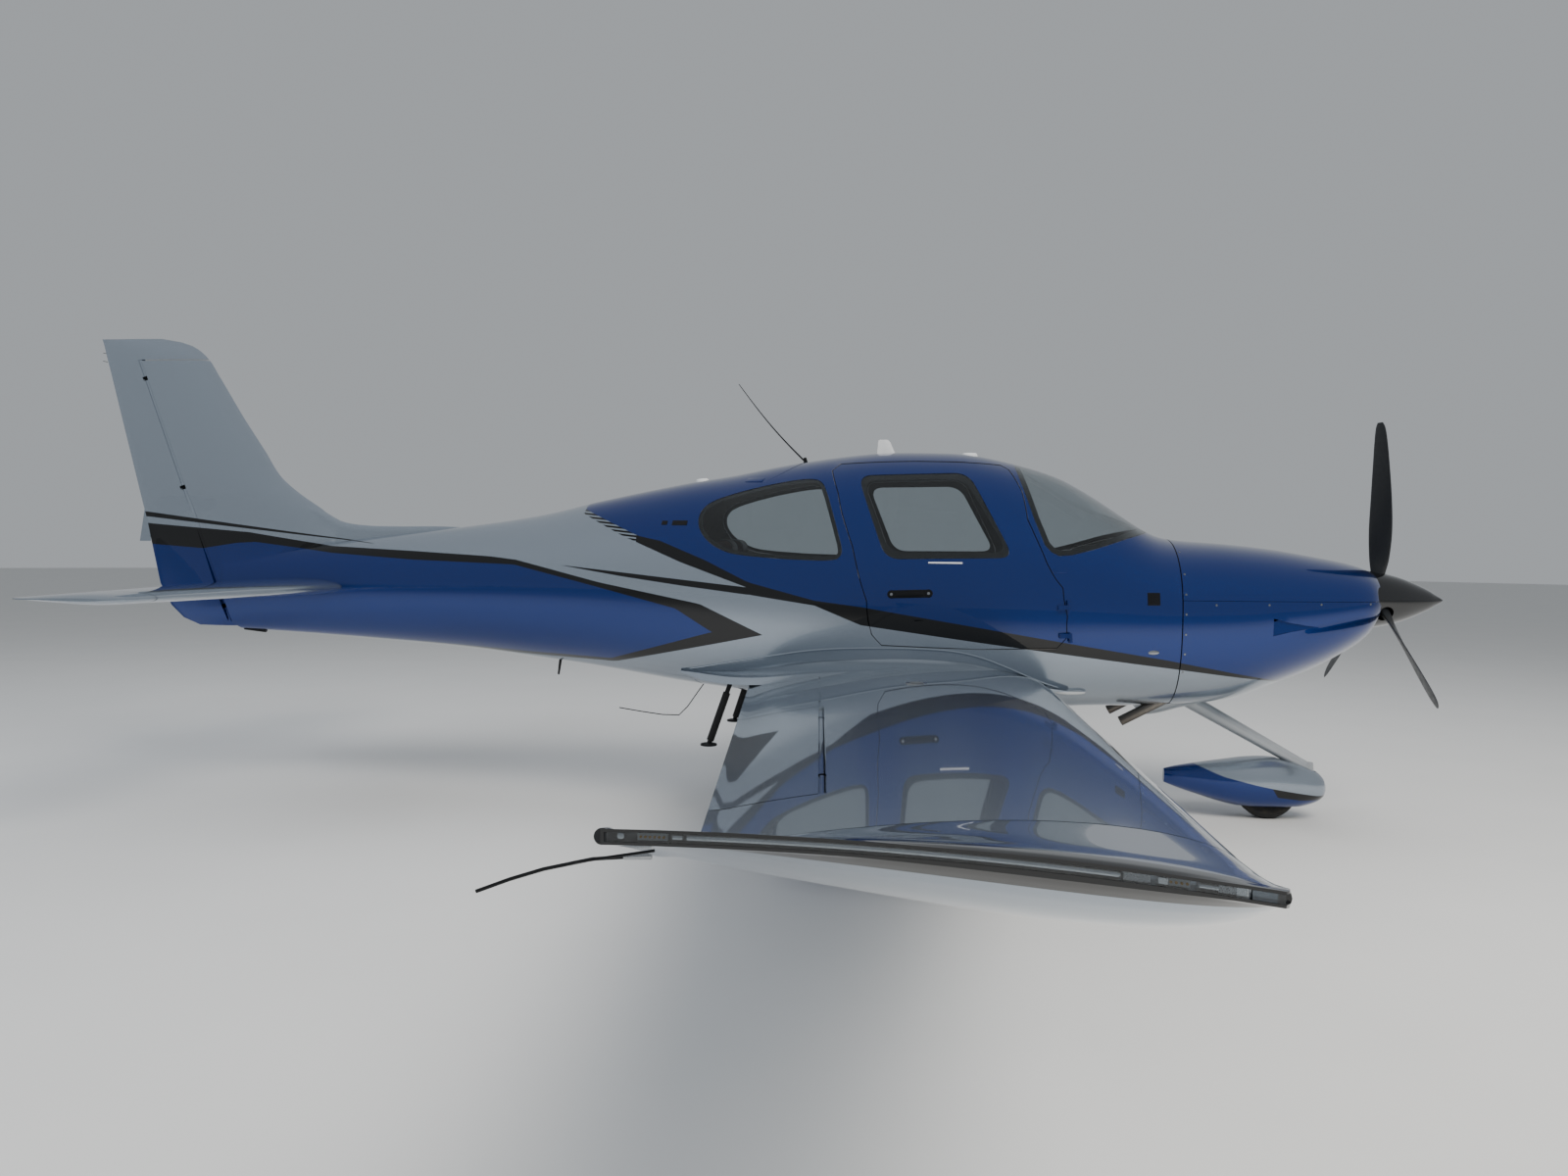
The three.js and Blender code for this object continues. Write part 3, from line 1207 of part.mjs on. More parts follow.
for (const [name, side] of SIDES) {
  const wheelCentre = [MAIN.x, side * MAIN.y, MAIN.radius];
  place(`wing_${name}`, "pearl", wing(side));
  place(`wing_tip_${name}`, "pearl", wingTip(side));
  place(`flap_${name}`, "pearl", wingSurface(side, FLAP));
  place(`aileron_${name}`, "pearl", wingSurface(side, AILERON));
  place(`door_${name}`, "blue", door(side));
  place(`door_window_${name}`, "glass", paneWall.intersect(windowCut(doorWindow, side, -MATING_GAP)));
  place(`rear_window_${name}`, "glass", paneWall.intersect(windowCut(rearWindow, side, -MATING_GAP)));
  place(`front_seat_${name}`, "hide", seat(side));
  place(`boarding_step_${name}`, "black", boardingStep(side));
  place(`exhaust_pipe_${name}`, "steel", exhaustPipe(side));
  place(`main_gear_leg_${name}`, "pearl", mainLeg(side));
  place(`main_wheel_fairing_${name}`, "blue", mainFairing(side));
  place(`main_tyre_${name}`, "rubber", tyre(wheelCentre, MAIN.radius, MAIN.halfTread, MAIN.rim));
  place(`main_hub_${name}`, "alloy", hub(wheelCentre, MAIN.rim, MAIN.halfTread, MAIN.axleRadius + AXLE_PLAY));
}

export default aeroplane;
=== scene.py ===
"""A low-wing touring aeroplane on its tricycle gear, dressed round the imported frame."""
from math import acos, atan2, copysign, cos, hypot, pi, radians, sin, sqrt, tau

import bmesh
import bpy
from mathutils import Matrix, Vector


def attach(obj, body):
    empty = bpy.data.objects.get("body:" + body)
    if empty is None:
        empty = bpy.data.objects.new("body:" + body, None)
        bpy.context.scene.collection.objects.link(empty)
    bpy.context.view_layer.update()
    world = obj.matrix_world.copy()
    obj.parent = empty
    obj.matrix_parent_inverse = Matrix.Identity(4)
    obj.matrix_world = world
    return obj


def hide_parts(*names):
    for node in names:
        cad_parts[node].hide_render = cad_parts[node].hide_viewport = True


bl_info = {
    "name": "Touring Aeroplane",
    "version": (1, 0, 0),
    "blender": (4, 5, 0),
    "location": "3D View > Sidebar > Aeroplane",
    "description": "Builds the skins, glazing, gear, cabin and paint of a light aeroplane",
    "category": "Add Mesh",
}

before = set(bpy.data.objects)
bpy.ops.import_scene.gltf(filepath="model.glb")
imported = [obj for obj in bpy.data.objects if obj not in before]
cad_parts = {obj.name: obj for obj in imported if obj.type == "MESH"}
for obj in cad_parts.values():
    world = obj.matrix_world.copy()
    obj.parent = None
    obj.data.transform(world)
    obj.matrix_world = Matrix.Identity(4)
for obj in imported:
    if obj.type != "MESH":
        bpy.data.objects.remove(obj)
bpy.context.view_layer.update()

# Lengths are millimetres until a piece is finished. +X to the nose, +Y to the aircraft's left.
MM = 0.001
SIDES = (("right", -1), ("left", 1))
FAR = 9000.0
ACROSS = 900.0  # past the fuselage's half width
SEAM = 3.0  # an open line between two panels


# Shapes

def ring_edges(ring):
    pairs = zip(ring, ring[1:] + ring[:1])
    return [edge for a, b in pairs for edge in a.link_edges if edge.other_vert(a) is b]


def skin(rings):
    """A closed skin: a filled circle laid on the first ring, then drawn out from ring to ring."""
    bm = bmesh.new()
    ring = bmesh.ops.create_circle(bm, cap_ends=True, segments=len(rings[0]), radius=1)["verts"]
    for vert, place in zip(ring, rings[0]):
        vert.co = place
    for places in rings[1:]:
        made = bmesh.ops.extrude_edge_only(bm, edges=ring_edges(ring))["geom"]
        fresh = {item for item in made if isinstance(item, bmesh.types.BMVert)}
        ring = [next(e.other_vert(v) for e in v.link_edges if e.other_vert(v) in fresh) for v in ring]
        for vert, place in zip(ring, places):
            vert.co = place
    bmesh.ops.contextual_create(bm, geom=ring_edges(ring))
    return solid(bm)


def placed(bm):
    """Turns a finished bmesh into an object of the scene."""
    mesh = bpy.data.meshes.new("shape")
    bm.to_mesh(mesh)
    bm.free()
    shape = bpy.data.objects.new("shape", mesh)
    bpy.context.scene.collection.objects.link(shape)
    return shape


def opened(*shapes):
    """The meshes of some objects as one bmesh. The objects are taken away."""
    bm = bmesh.new()
    for shape in shapes:
        bm.from_mesh(shape.data)
        bpy.data.objects.remove(shape)
    return bm


def solid(bm, facing=True):
    """An object made of a bmesh, its doubles merged and its faces pointing outwards."""
    bmesh.ops.remove_doubles(bm, verts=bm.verts, dist=0.01)
    if facing:
        bmesh.ops.recalc_face_normals(bm, faces=bm.faces)
    return placed(bm)


def combine(operation, target, *tools):
    """Joins, cuts or intersects the target with each tool, and takes the tools away."""
    for tool in tools:
        modifier = target.modifiers.new("combine", "BOOLEAN")
        modifier.operation = operation
        modifier.solver = "EXACT"
        modifier.object = tool
    depsgraph = bpy.context.evaluated_depsgraph_get()
    mesh = bpy.data.meshes.new_from_object(target.evaluated_get(depsgraph))
    target.modifiers.clear()
    target.data = mesh
    for tool in tools:
        bpy.data.objects.remove(tool)
    return target


def cut(target, *tools):
    return combine("DIFFERENCE", target, *tools)


def joined(target, *tools):
    return combine("UNION", target, *tools)


def common(target, *tools):
    return combine("INTERSECT", target, *tools)


def twin(shape):
    copy = shape.copy()
    copy.data = shape.data.copy()
    bpy.context.scene.collection.objects.link(copy)
    return copy


def gathered(*shapes):
    """Several separate solids as one object."""
    return placed(opened(*shapes))


def bevelled(bm, offset, edges=None):
    bmesh.ops.bevel(bm, geom=edges or bm.edges[:], offset=offset, segments=3, profile=0.5, affect="EDGES",
                    material=-1, clamp_overlap=True)


def slab(place, size, bevel=0.0):
    """A block of a size at a place, with rounded edges if it has a bevel."""
    bm = bmesh.new()
    bmesh.ops.create_cube(bm, size=1, matrix=place @ Matrix.Diagonal((*size, 1)))
    if bevel:
        bevelled(bm, bevel)
    return solid(bm)


def block(x=(-FAR, FAR), y=(-FAR, FAR), z=(-FAR, FAR), bevel=0.0):
    """A block that is open to FAR along each axis that isn't given."""
    middle = [(high + low) / 2 for low, high in (x, y, z)]
    return slab(Matrix.Translation(middle), [high - low for low, high in (x, y, z)], bevel)


def upright(direction):
    return Vector(direction).to_track_quat("Z", "Y").to_matrix().to_4x4()


def bar(start, end, radius, end_radius=None, sides=40, bevel=0.0):
    """A round bar, or a cone, between two points."""
    start, end = Vector(start), Vector(end)
    place = Matrix.Translation((start + end) / 2) @ upright(end - start)
    bm = bmesh.new()
    bmesh.ops.create_cone(bm, cap_ends=True, segments=sides, radius1=radius,
                          radius2=radius if end_radius is None else end_radius,
                          depth=(end - start).length, matrix=place)
    if bevel:
        bevelled(bm, bevel, [edge for edge in bm.edges if any(len(face.verts) > 4 for face in edge.link_faces)])
    return solid(bm)


def ball(centre, radius, stretch=(1, 1, 1)):
    bm = bmesh.new()
    place = Matrix.Translation(centre) @ Matrix.Diagonal((*stretch, 1))
    bmesh.ops.create_uvsphere(bm, u_segments=32, v_segments=20, radius=radius, matrix=place)
    return solid(bm)


def plate(points, y0, y1):
    """A side-view outline of (x, z) points carried across from y0 to y1."""
    return skin([[(x, y, z) for x, z in points] for y in (y0, y1)])


def spun(profile, centre, axis=(0, 1, 0), steps=72):
    """A profile of (radius, distance along the axis) points turned once round the axis."""
    axis = Vector(axis)
    out = Vector((0, 0, 1)) if abs(axis.z) < 0.5 else Vector((1, 0, 0))
    bm = bmesh.new()
    verts = [bm.verts.new(Vector(centre) + out * radius + axis * along) for radius, along in profile]
    edges = [bm.edges.new(pair) for pair in zip(verts, verts[1:])]
    bmesh.ops.spin(bm, geom=verts + edges, cent=centre, axis=axis, dvec=(0, 0, 0),
                   angle=tau, steps=steps, use_merge=True)
    return solid(bm)


def circle(count):
    """The cosine and the sine at each step of a full turn."""
    return [(cos(tau * k / count), sin(tau * k / count)) for k in range(count)]


def curved_tube(path, radius, sides=12):
    """A round wire through the points of a path, with each ring square to it."""
    rings = []
    points = [Vector(point) for point in path]
    for i, point in enumerate(points):
        turn = upright(points[min(i + 1, len(points) - 1)] - points[max(i - 1, 0)])
        size = radius(i / (len(points) - 1)) if callable(radius) else radius
        rings.append([point + turn @ Vector((size * c, size * s, 0)) for c, s in circle(sides)])
    return skin(rings)


def rounded(points, radius, steps=8):
    """Rounds the corners of an outline with arcs of the given reach."""
    result = []
    for i, corner in enumerate(points):
        here = Vector(corner)
        back = Vector(points[i - 1]) - here
        ahead = Vector(points[(i + 1) % len(points)]) - here
        reach = min(radius, back.length / 2.2, ahead.length / 2.2)
        start, end = here + back.normalized() * reach, here + ahead.normalized() * reach
        for k in range(steps + 1):
            t = k / steps
            result.append(tuple(start * (1 - t) ** 2 + here * (2 * t * (1 - t)) + end * t ** 2))
    return result


def widened(points, distance):
    """Moves every corner of an outline outwards by the given distance."""
    pairs = list(zip(points, points[1:] + points[:1]))
    area = sum(a[0] * b[1] - b[0] * a[1] for a, b in pairs)
    side = copysign(1, area)
    result = []
    for i, (x, z) in enumerate(points):
        x0, z0 = points[i - 1]
        x1, z1 = points[(i + 1) % len(points)]
        length = hypot(x1 - x0, z1 - z0) or 1
        result.append((x + side * distance * (z1 - z0) / length, z - side * distance * (x1 - x0) / length))
    return result


def row_at(table, position):
    """Smooth values between the rows of a table, by the slopes through the rows' neighbours."""
    last = len(table) - 1
    sense = table[last][0] - table[0][0]
    i = 0
    while i < last - 1 and (table[i + 1][0] - position) * sense < 0:
        i += 1

    def slope(row, column):
        before, after = table[max(row - 1, 0)], table[min(row + 1, last)]
        return (after[column] - before[column]) / (after[0] - before[0])

    span = table[i + 1][0] - table[i][0]
    t = (position - table[i][0]) / span
    result = []
    for column, value in enumerate(table[i]):
        following = table[i + 1][column]
        rise, fall = slope(i, column) * span, slope(i + 1, column) * span
        cubic = (2 * value - 2 * following + rise + fall) * t ** 3
        result.append(cubic + (3 * following - 3 * value - 2 * rise - fall) * t ** 2 + rise * t + value)
    return result


def spread(start, end, step):
    count = max(1, round(abs(end - start) / step))
    return [start + (end - start) * k / count for k in range(count + 1)]


FINISH = {}


def coated(shape, *finishes):
    """Gives a shape its finishes, with the first one all over."""
    shape.data.materials.clear()
    for finish in finishes:
        shape.data.materials.append(FINISH[finish])
    return shape


def finished(shape, name, body, slot, finish=None, stands_for=None, sharp=32):
    """Gives a piece, or a list of solids as one piece, its name, its finish if one is given, its size in metres and
    smooth shading, and sets it on its body."""
    if isinstance(shape, list):
        shape = gathered(*shape)
    shape.name = shape.data.name = name
    if finish:
        coated(shape, finish)
    shape.data.transform(Matrix.Scale(MM, 4))
    shape.data.polygons.foreach_set("use_smooth", [True] * len(shape.data.polygons))
    shape.data.set_sharp_from_angle(angle=radians(sharp))
    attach(shape, body)
    if stands_for:
        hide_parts(stands_for)
    return shape


# Materials

METRE = 1000.0  # in millimetres: a pattern's scale is this over the size of its features
SPREAD = (0.3, 0.7)  # most of a noise's values lie between these


def linear(code):
    """A colour written as sRGB hex digits, as linear light."""
    channels = [int(code[i:i + 2], 16) / 255 for i in (1, 3, 5)]
    return (*(c / 12.92 if c <= 0.04045 else ((c + 0.055) / 1.055) ** 2.4 for c in channels), 1.0)


def add(tree, kind, values=(), out=0, **settings):
    """Adds one node with its settings. Its inputs, given in order or by key, are linked or set, and one of its
    outputs is given back."""
    node = tree.nodes.new("ShaderNode" + kind)
    for key, value in settings.items():
        setattr(node, key, value)
    for socket, value in values.items() if isinstance(values, dict) else enumerate(values):
        if isinstance(value, bpy.types.NodeSocket):
            tree.links.new(value, node.inputs[socket])
        else:
            node.inputs[socket].default_value = value
    return node.outputs[out] if node.outputs else None


def started(name):
    """A new material, its empty tree and the object coordinates in it."""
    made = bpy.data.materials.new(name)
    made.use_nodes = True
    made.node_tree.nodes.clear()
    return made, made.node_tree, add(made.node_tree, "TexCoord", out="Object")


def shaded(made, **inputs):
    """Ends a material with its Principled shader, whose inputs are given by name with _ for a space."""
    shader = add(made.node_tree, "BsdfPrincipled", {key.replace("_", " "): value for key, value in inputs.items()})
    add(made.node_tree, "OutputMaterial", {"Surface": shader})
    return made


# Paint and other finishes

BLUE, PEARL, BLACK, HIDE = "#012c74", "#97a2ae", "#040508", "#43271f"
GLASS_TINT = "#ccd3d6"

# Paint lines on the side of the fuselage: (distance along, height)
BLUE_ABOVE = [(-4000, 3000), (-880, 3000), (-870, 1712), (-603, 1600), (-480, 1548), (-343, 1521), (-74, 1417),
              (166, 1304), (531, 1212), (777, 1183), (1403, 1083), (2379, 924), (2907, 822), (4000, 600)]
BLACK_ABOVE = [(-4000, 3000), (-880, 3000), (-870, 1686), (-582, 1551), (-215, 1404), (160, 1276), (176, 1236),
               (532, 1186), (778, 1087), (1404, 1005), (1730, 964), (2383, 881), (2991, 800), (4000, 590)]
THIN_TOP = [(-4000, 0), (-965, 0), (-959, 1381), (160, 1276), (200, 1276), (210, 0), (4000, 0)]
THIN_FOOT = [(-4000, 1381), (-959, 1381), (-564, 1322), (-211, 1278), (168, 1236), (4000, 1236)]
PENNANT_TOP = [(-4000, 1640), (-3644, 1597), (-2973, 1548), (-2445, 1470), (-1897, 1447), (-1385, 1422),
               (-1216, 1404), (-705, 1287), (-103, 1180), (250, 1021), (4000, 0)]
PENNANT_FOOT = [(-4000, 0), (-2300, 0), (-1960, 880), (-1183, 849), (-641, 830), (250, 1021), (4000, 1100)]
FIELD_TOP = [(-4000, 1480), (-3629, 1469), (-3286, 1447), (-3054, 1482), (-2931, 1489), (-2427, 1429),
             (-1886, 1396), (-1231, 1377), (-705, 1259), (-244, 1151), (-37, 1028), (4000, 0)]
FIELD_FOOT = [(-4000, 0), (-2200, 0), (-1930, 905), (-1183, 868), (-663, 849), (-37, 1028), (4000, 1100)]
FIN_STRIPE_TOP = [(-4000, 1690), (-3663, 1669), (-2181, 1491), (4000, 0)]
FIN_STRIPE_FOOT = [(-4000, 1660), (-3663, 1639), (-2181, 1488), (4000, 700)]
BLACK_BANDS = ((PENNANT_TOP, PENNANT_FOOT), (THIN_TOP, THIN_FOOT), (FIN_STRIPE_TOP, FIN_STRIPE_FOOT))
HATCH = {"slope": 0.1, "pitch": 19, "share": 0.42, "end": -490}  # dashes where the black edge thins out
PAINT_REACH = (-4000.0, 4000.0)
PAINT_HEIGHT = 3000.0


def chosen(name):
    """A colour of the paint settings."""
    return (*getattr(bpy.context.scene.aeroplane_paint, name), 1.0)


def drawn_line(tree, along, points):
    """The height of a paint line at a distance along the fuselage."""
    low, high = PAINT_REACH
    curve = add(tree, "FloatCurve", {"Value": along}).node
    line = curve.mapping.curves[0]
    spots = [((x - low) / (high - low), z / PAINT_HEIGHT) for x, z in points]
    line.points[0].location = spots[0]
    line.points[1].location = spots[-1]
    for spot in spots[1:-1]:
        line.points.new(*spot)
    for point in line.points:
        point.handle_type = "VECTOR"
    curve.mapping.update()
    return curve.outputs[0]


def side_view(tree, place, centre_x=0.0, rise=1.0):
    """A point on the drawing of the paint: its own axes, and how far along and up the drawing it lies."""
    moved = add(tree, "VectorMath", (place, (-centre_x * MM, 0, 0)), operation="ADD")
    axes = add(tree, "SeparateXYZ", (moved,)).node.outputs
    along = add(tree, "MapRange", (axes[0], *(end * MM for end in PAINT_REACH)))
    return axes, along, add(tree, "Math", (axes[2], PAINT_HEIGHT * MM * rise), operation="DIVIDE")


def two_colours(tree, blue, black):
    """Blue over black over silver, each where it is painted."""
    base = add(tree, "Mix", {0: black, 6: chosen("pearl"), 7: chosen("black")}, 2, data_type="RGBA")
    return add(tree, "Mix", {0: blue, 6: base, 7: chosen("blue")}, 2, data_type="RGBA")


def livery_colours(tree, place):
    axes, along, height = side_view(tree, place)

    def above(points):
        return add(tree, "Math", (height, drawn_line(tree, along, points)), operation="GREATER_THAN")

    def between(top, foot):
        below = add(tree, "Math", (1.0, above(top)), operation="SUBTRACT")
        return add(tree, "Math", (above(foot), below), operation="MULTIPLY")

    slope = add(tree, "Math", (axes[0], HATCH["slope"]), operation="MULTIPLY")
    slant = add(tree, "Math", (axes[2], slope), operation="ADD")
    turns = add(tree, "Math", (slant, HATCH["pitch"] * MM), operation="DIVIDE")
    turns = add(tree, "Math", (turns,), operation="FRACT")
    dashes = add(tree, "Math", (turns, HATCH["share"]), operation="GREATER_THAN")
    whole = add(tree, "Math", (axes[0], HATCH["end"] * MM), operation="GREATER_THAN")
    dashes = add(tree, "Math", (dashes, whole), operation="MAXIMUM")
    black = add(tree, "Math", (above(BLACK_ABOVE), dashes), operation="MULTIPLY")
    for band in BLACK_BANDS:
        black = add(tree, "Math", (black, between(*band)), operation="MAXIMUM")
    blue = add(tree, "Math", (above(BLUE_ABOVE), between(FIELD_TOP, FIELD_FOOT)), operation="MAXIMUM")
    return two_colours(tree, blue, black)


FAIRING_LINE = [(-4000, 330), (-403, 299), (-259, 243), (-84, 203), (5, 186), (256, 146), (4000, 140)]
FAIRING_WEDGE = [(-4000, 330), (-403, 299), (-259, 243), (-84, 203), (3, 186), (27, 138), (168, 121), (4000, 110)]


def fairing_colours(centre_x, rise):
    """The colours of a wheel fairing: silver above a black wedge, and blue below."""
    def colours(tree, place):
        _, along, height = side_view(tree, place, centre_x, rise)
        black, blue = [add(tree, "Math", (height, drawn_line(tree, along, line)), operation="LESS_THAN")
                       for line in (FAIRING_LINE, FAIRING_WEDGE)]
        return two_colours(tree, blue, black)

    return colours


def enamel(name, flake_share, colours, metallic, roughness):
    """Metallic base coat: fine flake in the colour, and a clear coat with a faint orange peel."""
    made, tree, place = started(name)
    # Real flake is finer than 1.6 mm; it is drawn coarse enough to show.
    flakes = add(tree, "TexNoise", {"Vector": place, "Scale": METRE / 1.6, "Detail": 1})
    lift = add(tree, "MapRange", (flakes, *SPREAD, 1 - flake_share, 1 + flake_share))
    bright = add(tree, "VectorMath", {0: colours(tree, place), "Scale": lift}, operation="SCALE")
    peel = add(tree, "TexNoise", {"Vector": place, "Scale": METRE / 14, "Detail": 1})
    relief = add(tree, "Bump", {"Height": peel, "Strength": 0.25, "Distance": 0.02 * MM})
    return shaded(made, Base_Color=bright, Normal=relief, Metallic=metallic, Roughness=roughness, Coat_Weight=1.0,
                  Coat_Roughness=0.02)


def leg_enamel():
    # Spring leg in the same silver, a little duller and dusty towards the ground.
    made, tree, place = started("leg_enamel")
    dust = add(tree, "TexNoise", {"Vector": place, "Scale": METRE / 60, "Detail": 5})
    low = add(tree, "MapRange", (add(tree, "SeparateXYZ", (place,), 2), 0.2, 0.65, 0.5, 0.05))
    share = add(tree, "Math", (dust, low), operation="MULTIPLY")
    colour = add(tree, "Mix", {0: share, 6: linear("#a9afb5"), 7: linear("#7d776c")}, 2, data_type="RGBA")
    return shaded(made, Base_Color=colour, Metallic=0.3, Roughness=0.3, Coat_Weight=0.6, Coat_Roughness=0.08)


def black_gloss():
    # Polished black composite: nearly black, with clean highlights and a few stone marks.
    made, tree, place = started("black_gloss_composite")
    marks = add(tree, "TexNoise", {"Vector": place, "Scale": METRE / 9, "Detail": 4})
    specks = add(tree, "MapRange", (marks, 0.7, 0.74))
    colour = add(tree, "Mix", {0: specks, 6: linear("#0b0c0e"), 7: linear("#2a2b2c")}, 2, data_type="RGBA")
    return shaded(made, Base_Color=colour, Roughness=0.16, Coat_Weight=0.8, Coat_Roughness=0.05)


def blade_coating():
    # Satin polyurethane over a composite blade: soft sheen, worn grey in patches.
    made, tree, place = started("blade_coating")
    streaks = add(tree, "TexNoise", {"Vector": place, "Scale": METRE / 24, "Detail": 4})
    wear = add(tree, "TexNoise", {"Vector": place, "Scale": METRE / 5, "Detail": 6})
    worn = add(tree, "MapRange", (wear, 0.62, 0.75, 0, 0.5))
    colour = add(tree, "Mix", {0: worn, 6: linear("#17191c"), 7: linear("#3c3f42")}, 2, data_type="RGBA")
    grain = add(tree, "TexNoise", {"Vector": place, "Scale": METRE / 1.5})
    return shaded(made, Base_Color=colour, Roughness=add(tree, "MapRange", (streaks, *SPREAD, 0.34, 0.5)),
                  Normal=add(tree, "Bump", {"Height": grain, "Strength": 0.3, "Distance": 0.03 * MM}))


def painted_border():
    # Black paint on the back of the acrylic, which hides the bonded edge.
    made, tree, place = started("painted_window_border")
    grain = add(tree, "TexNoise", {"Vector": place, "Scale": METRE / 3})
    colour = add(tree, "Mix", {0: grain, 6: linear("#060708"), 7: linear("#0c0d0f")}, 2, data_type="RGBA")
    return shaded(made, Base_Color=colour, Roughness=add(tree, "MapRange", (grain, *SPREAD, 0.32, 0.42)),
                  Coat_Weight=0.4, Coat_Roughness=0.05)


def grained(name, first, second, grain_mm, rough, depth_mm, **more):
    """A plain finish with its own mottling, uneven gloss and fine relief."""
    made, tree, place = started(name)
    mottle = add(tree, "TexNoise", {"Vector": place, "Scale": METRE / (grain_mm * 8), "Detail": 3})
    grain = add(tree, "TexNoise", {"Vector": place, "Scale": METRE / grain_mm, "Detail": 3})
    colour = add(tree, "Mix", {0: mottle, 6: linear(first), 7: linear(second)}, 2, data_type="RGBA")
    gloss = add(tree, "MapRange", (grain, *SPREAD, rough - 0.07, rough + 0.07))
    relief = add(tree, "Bump", {"Height": grain, "Strength": 1, "Distance": depth_mm * MM})
    return shaded(made, Base_Color=colour, Roughness=gloss, Normal=relief, **more)


def hide(name):
    # Upholstery leather: a pebbled grain about 3 mm across over soft folds, with a low sheen.
    made, tree, place = started(name)
    pebbles = add(tree, "TexVoronoi", {"Vector": place, "Scale": METRE / 3}, "Distance", feature="DISTANCE_TO_EDGE")
    folds = add(tree, "TexNoise", {"Vector": place, "Scale": METRE / 90, "Detail": 3})
    worn = [channel * 1.5 for channel in chosen("hide")[:3]]
    colour = add(tree, "Mix", {0: folds, 6: chosen("hide"), 7: (*worn, 1.0)}, 2, data_type="RGBA")
    soft = add(tree, "Math", (folds, 0.6), operation="MULTIPLY")
    height = add(tree, "Math", (pebbles, soft), operation="ADD")
    return shaded(made, Base_Color=colour, Roughness=add(tree, "MapRange", (folds, *SPREAD, 0.42, 0.58)),
                  Normal=add(tree, "Bump", {"Height": height, "Strength": 0.5, "Distance": 0.5 * MM}),
                  Sheen_Weight=0.15)


def tyre_rubber():
    # Carbon-filled rubber: matt charcoal, with dusty brown patches.
    made, tree, place = started("tyre_rubber")
    dust = add(tree, "TexNoise", {"Vector": place, "Scale": METRE / 30, "Detail": 5})
    share = add(tree, "MapRange", (dust, 0.45, 0.75, 0, 0.5))
    colour = add(tree, "Mix", {0: share, 6: linear("#1b1b1c"), 7: linear("#4b463e")}, 2, data_type="RGBA")
    grain = add(tree, "TexNoise", {"Vector": place, "Scale": METRE / 2, "Detail": 4})
    return shaded(made, Base_Color=colour, Roughness=add(tree, "MapRange", (dust, *SPREAD, 0.72, 0.9)),
                  Normal=add(tree, "Bump", {"Height": grain, "Strength": 0.4, "Distance": 0.3 * MM}))


def exhaust_steel():
    # Stainless pipe after heat: straw and blue-grey bands along it, soot at the mouth.
    made, tree, place = started("heat_tinted_steel")
    heat = add(tree, "MapRange", (add(tree, "SeparateXYZ", (place,)), 2.2, 2.5))
    soot = add(tree, "TexNoise", {"Vector": place, "Scale": METRE / 20, "Detail": 5})
    warm = add(tree, "Mix", {0: heat, 6: linear("#5b554f"), 7: linear("#a39d94")}, 2, data_type="RGBA")
    colour = add(tree, "Mix", {0: soot, 6: warm, 7: linear("#6f6b67")}, 2, data_type="RGBA")
    return shaded(made, Base_Color=colour, Roughness=add(tree, "MapRange", (soot, *SPREAD, 0.25, 0.5)), Metallic=1.0)


def dark_screen():
    # A display that is switched off: black glass with a slight blue cast and no marks.
    made, tree, place = started("unlit_display")
    smears = add(tree, "TexNoise", {"Vector": place, "Scale": METRE / 40})
    colour = add(tree, "Mix", {0: smears, 6: linear("#07090c"), 7: linear("#0d1116")}, 2, data_type="RGBA")
    return shaded(made, Base_Color=colour, Roughness=0.06, Coat_Weight=1.0, Coat_Roughness=0.02)


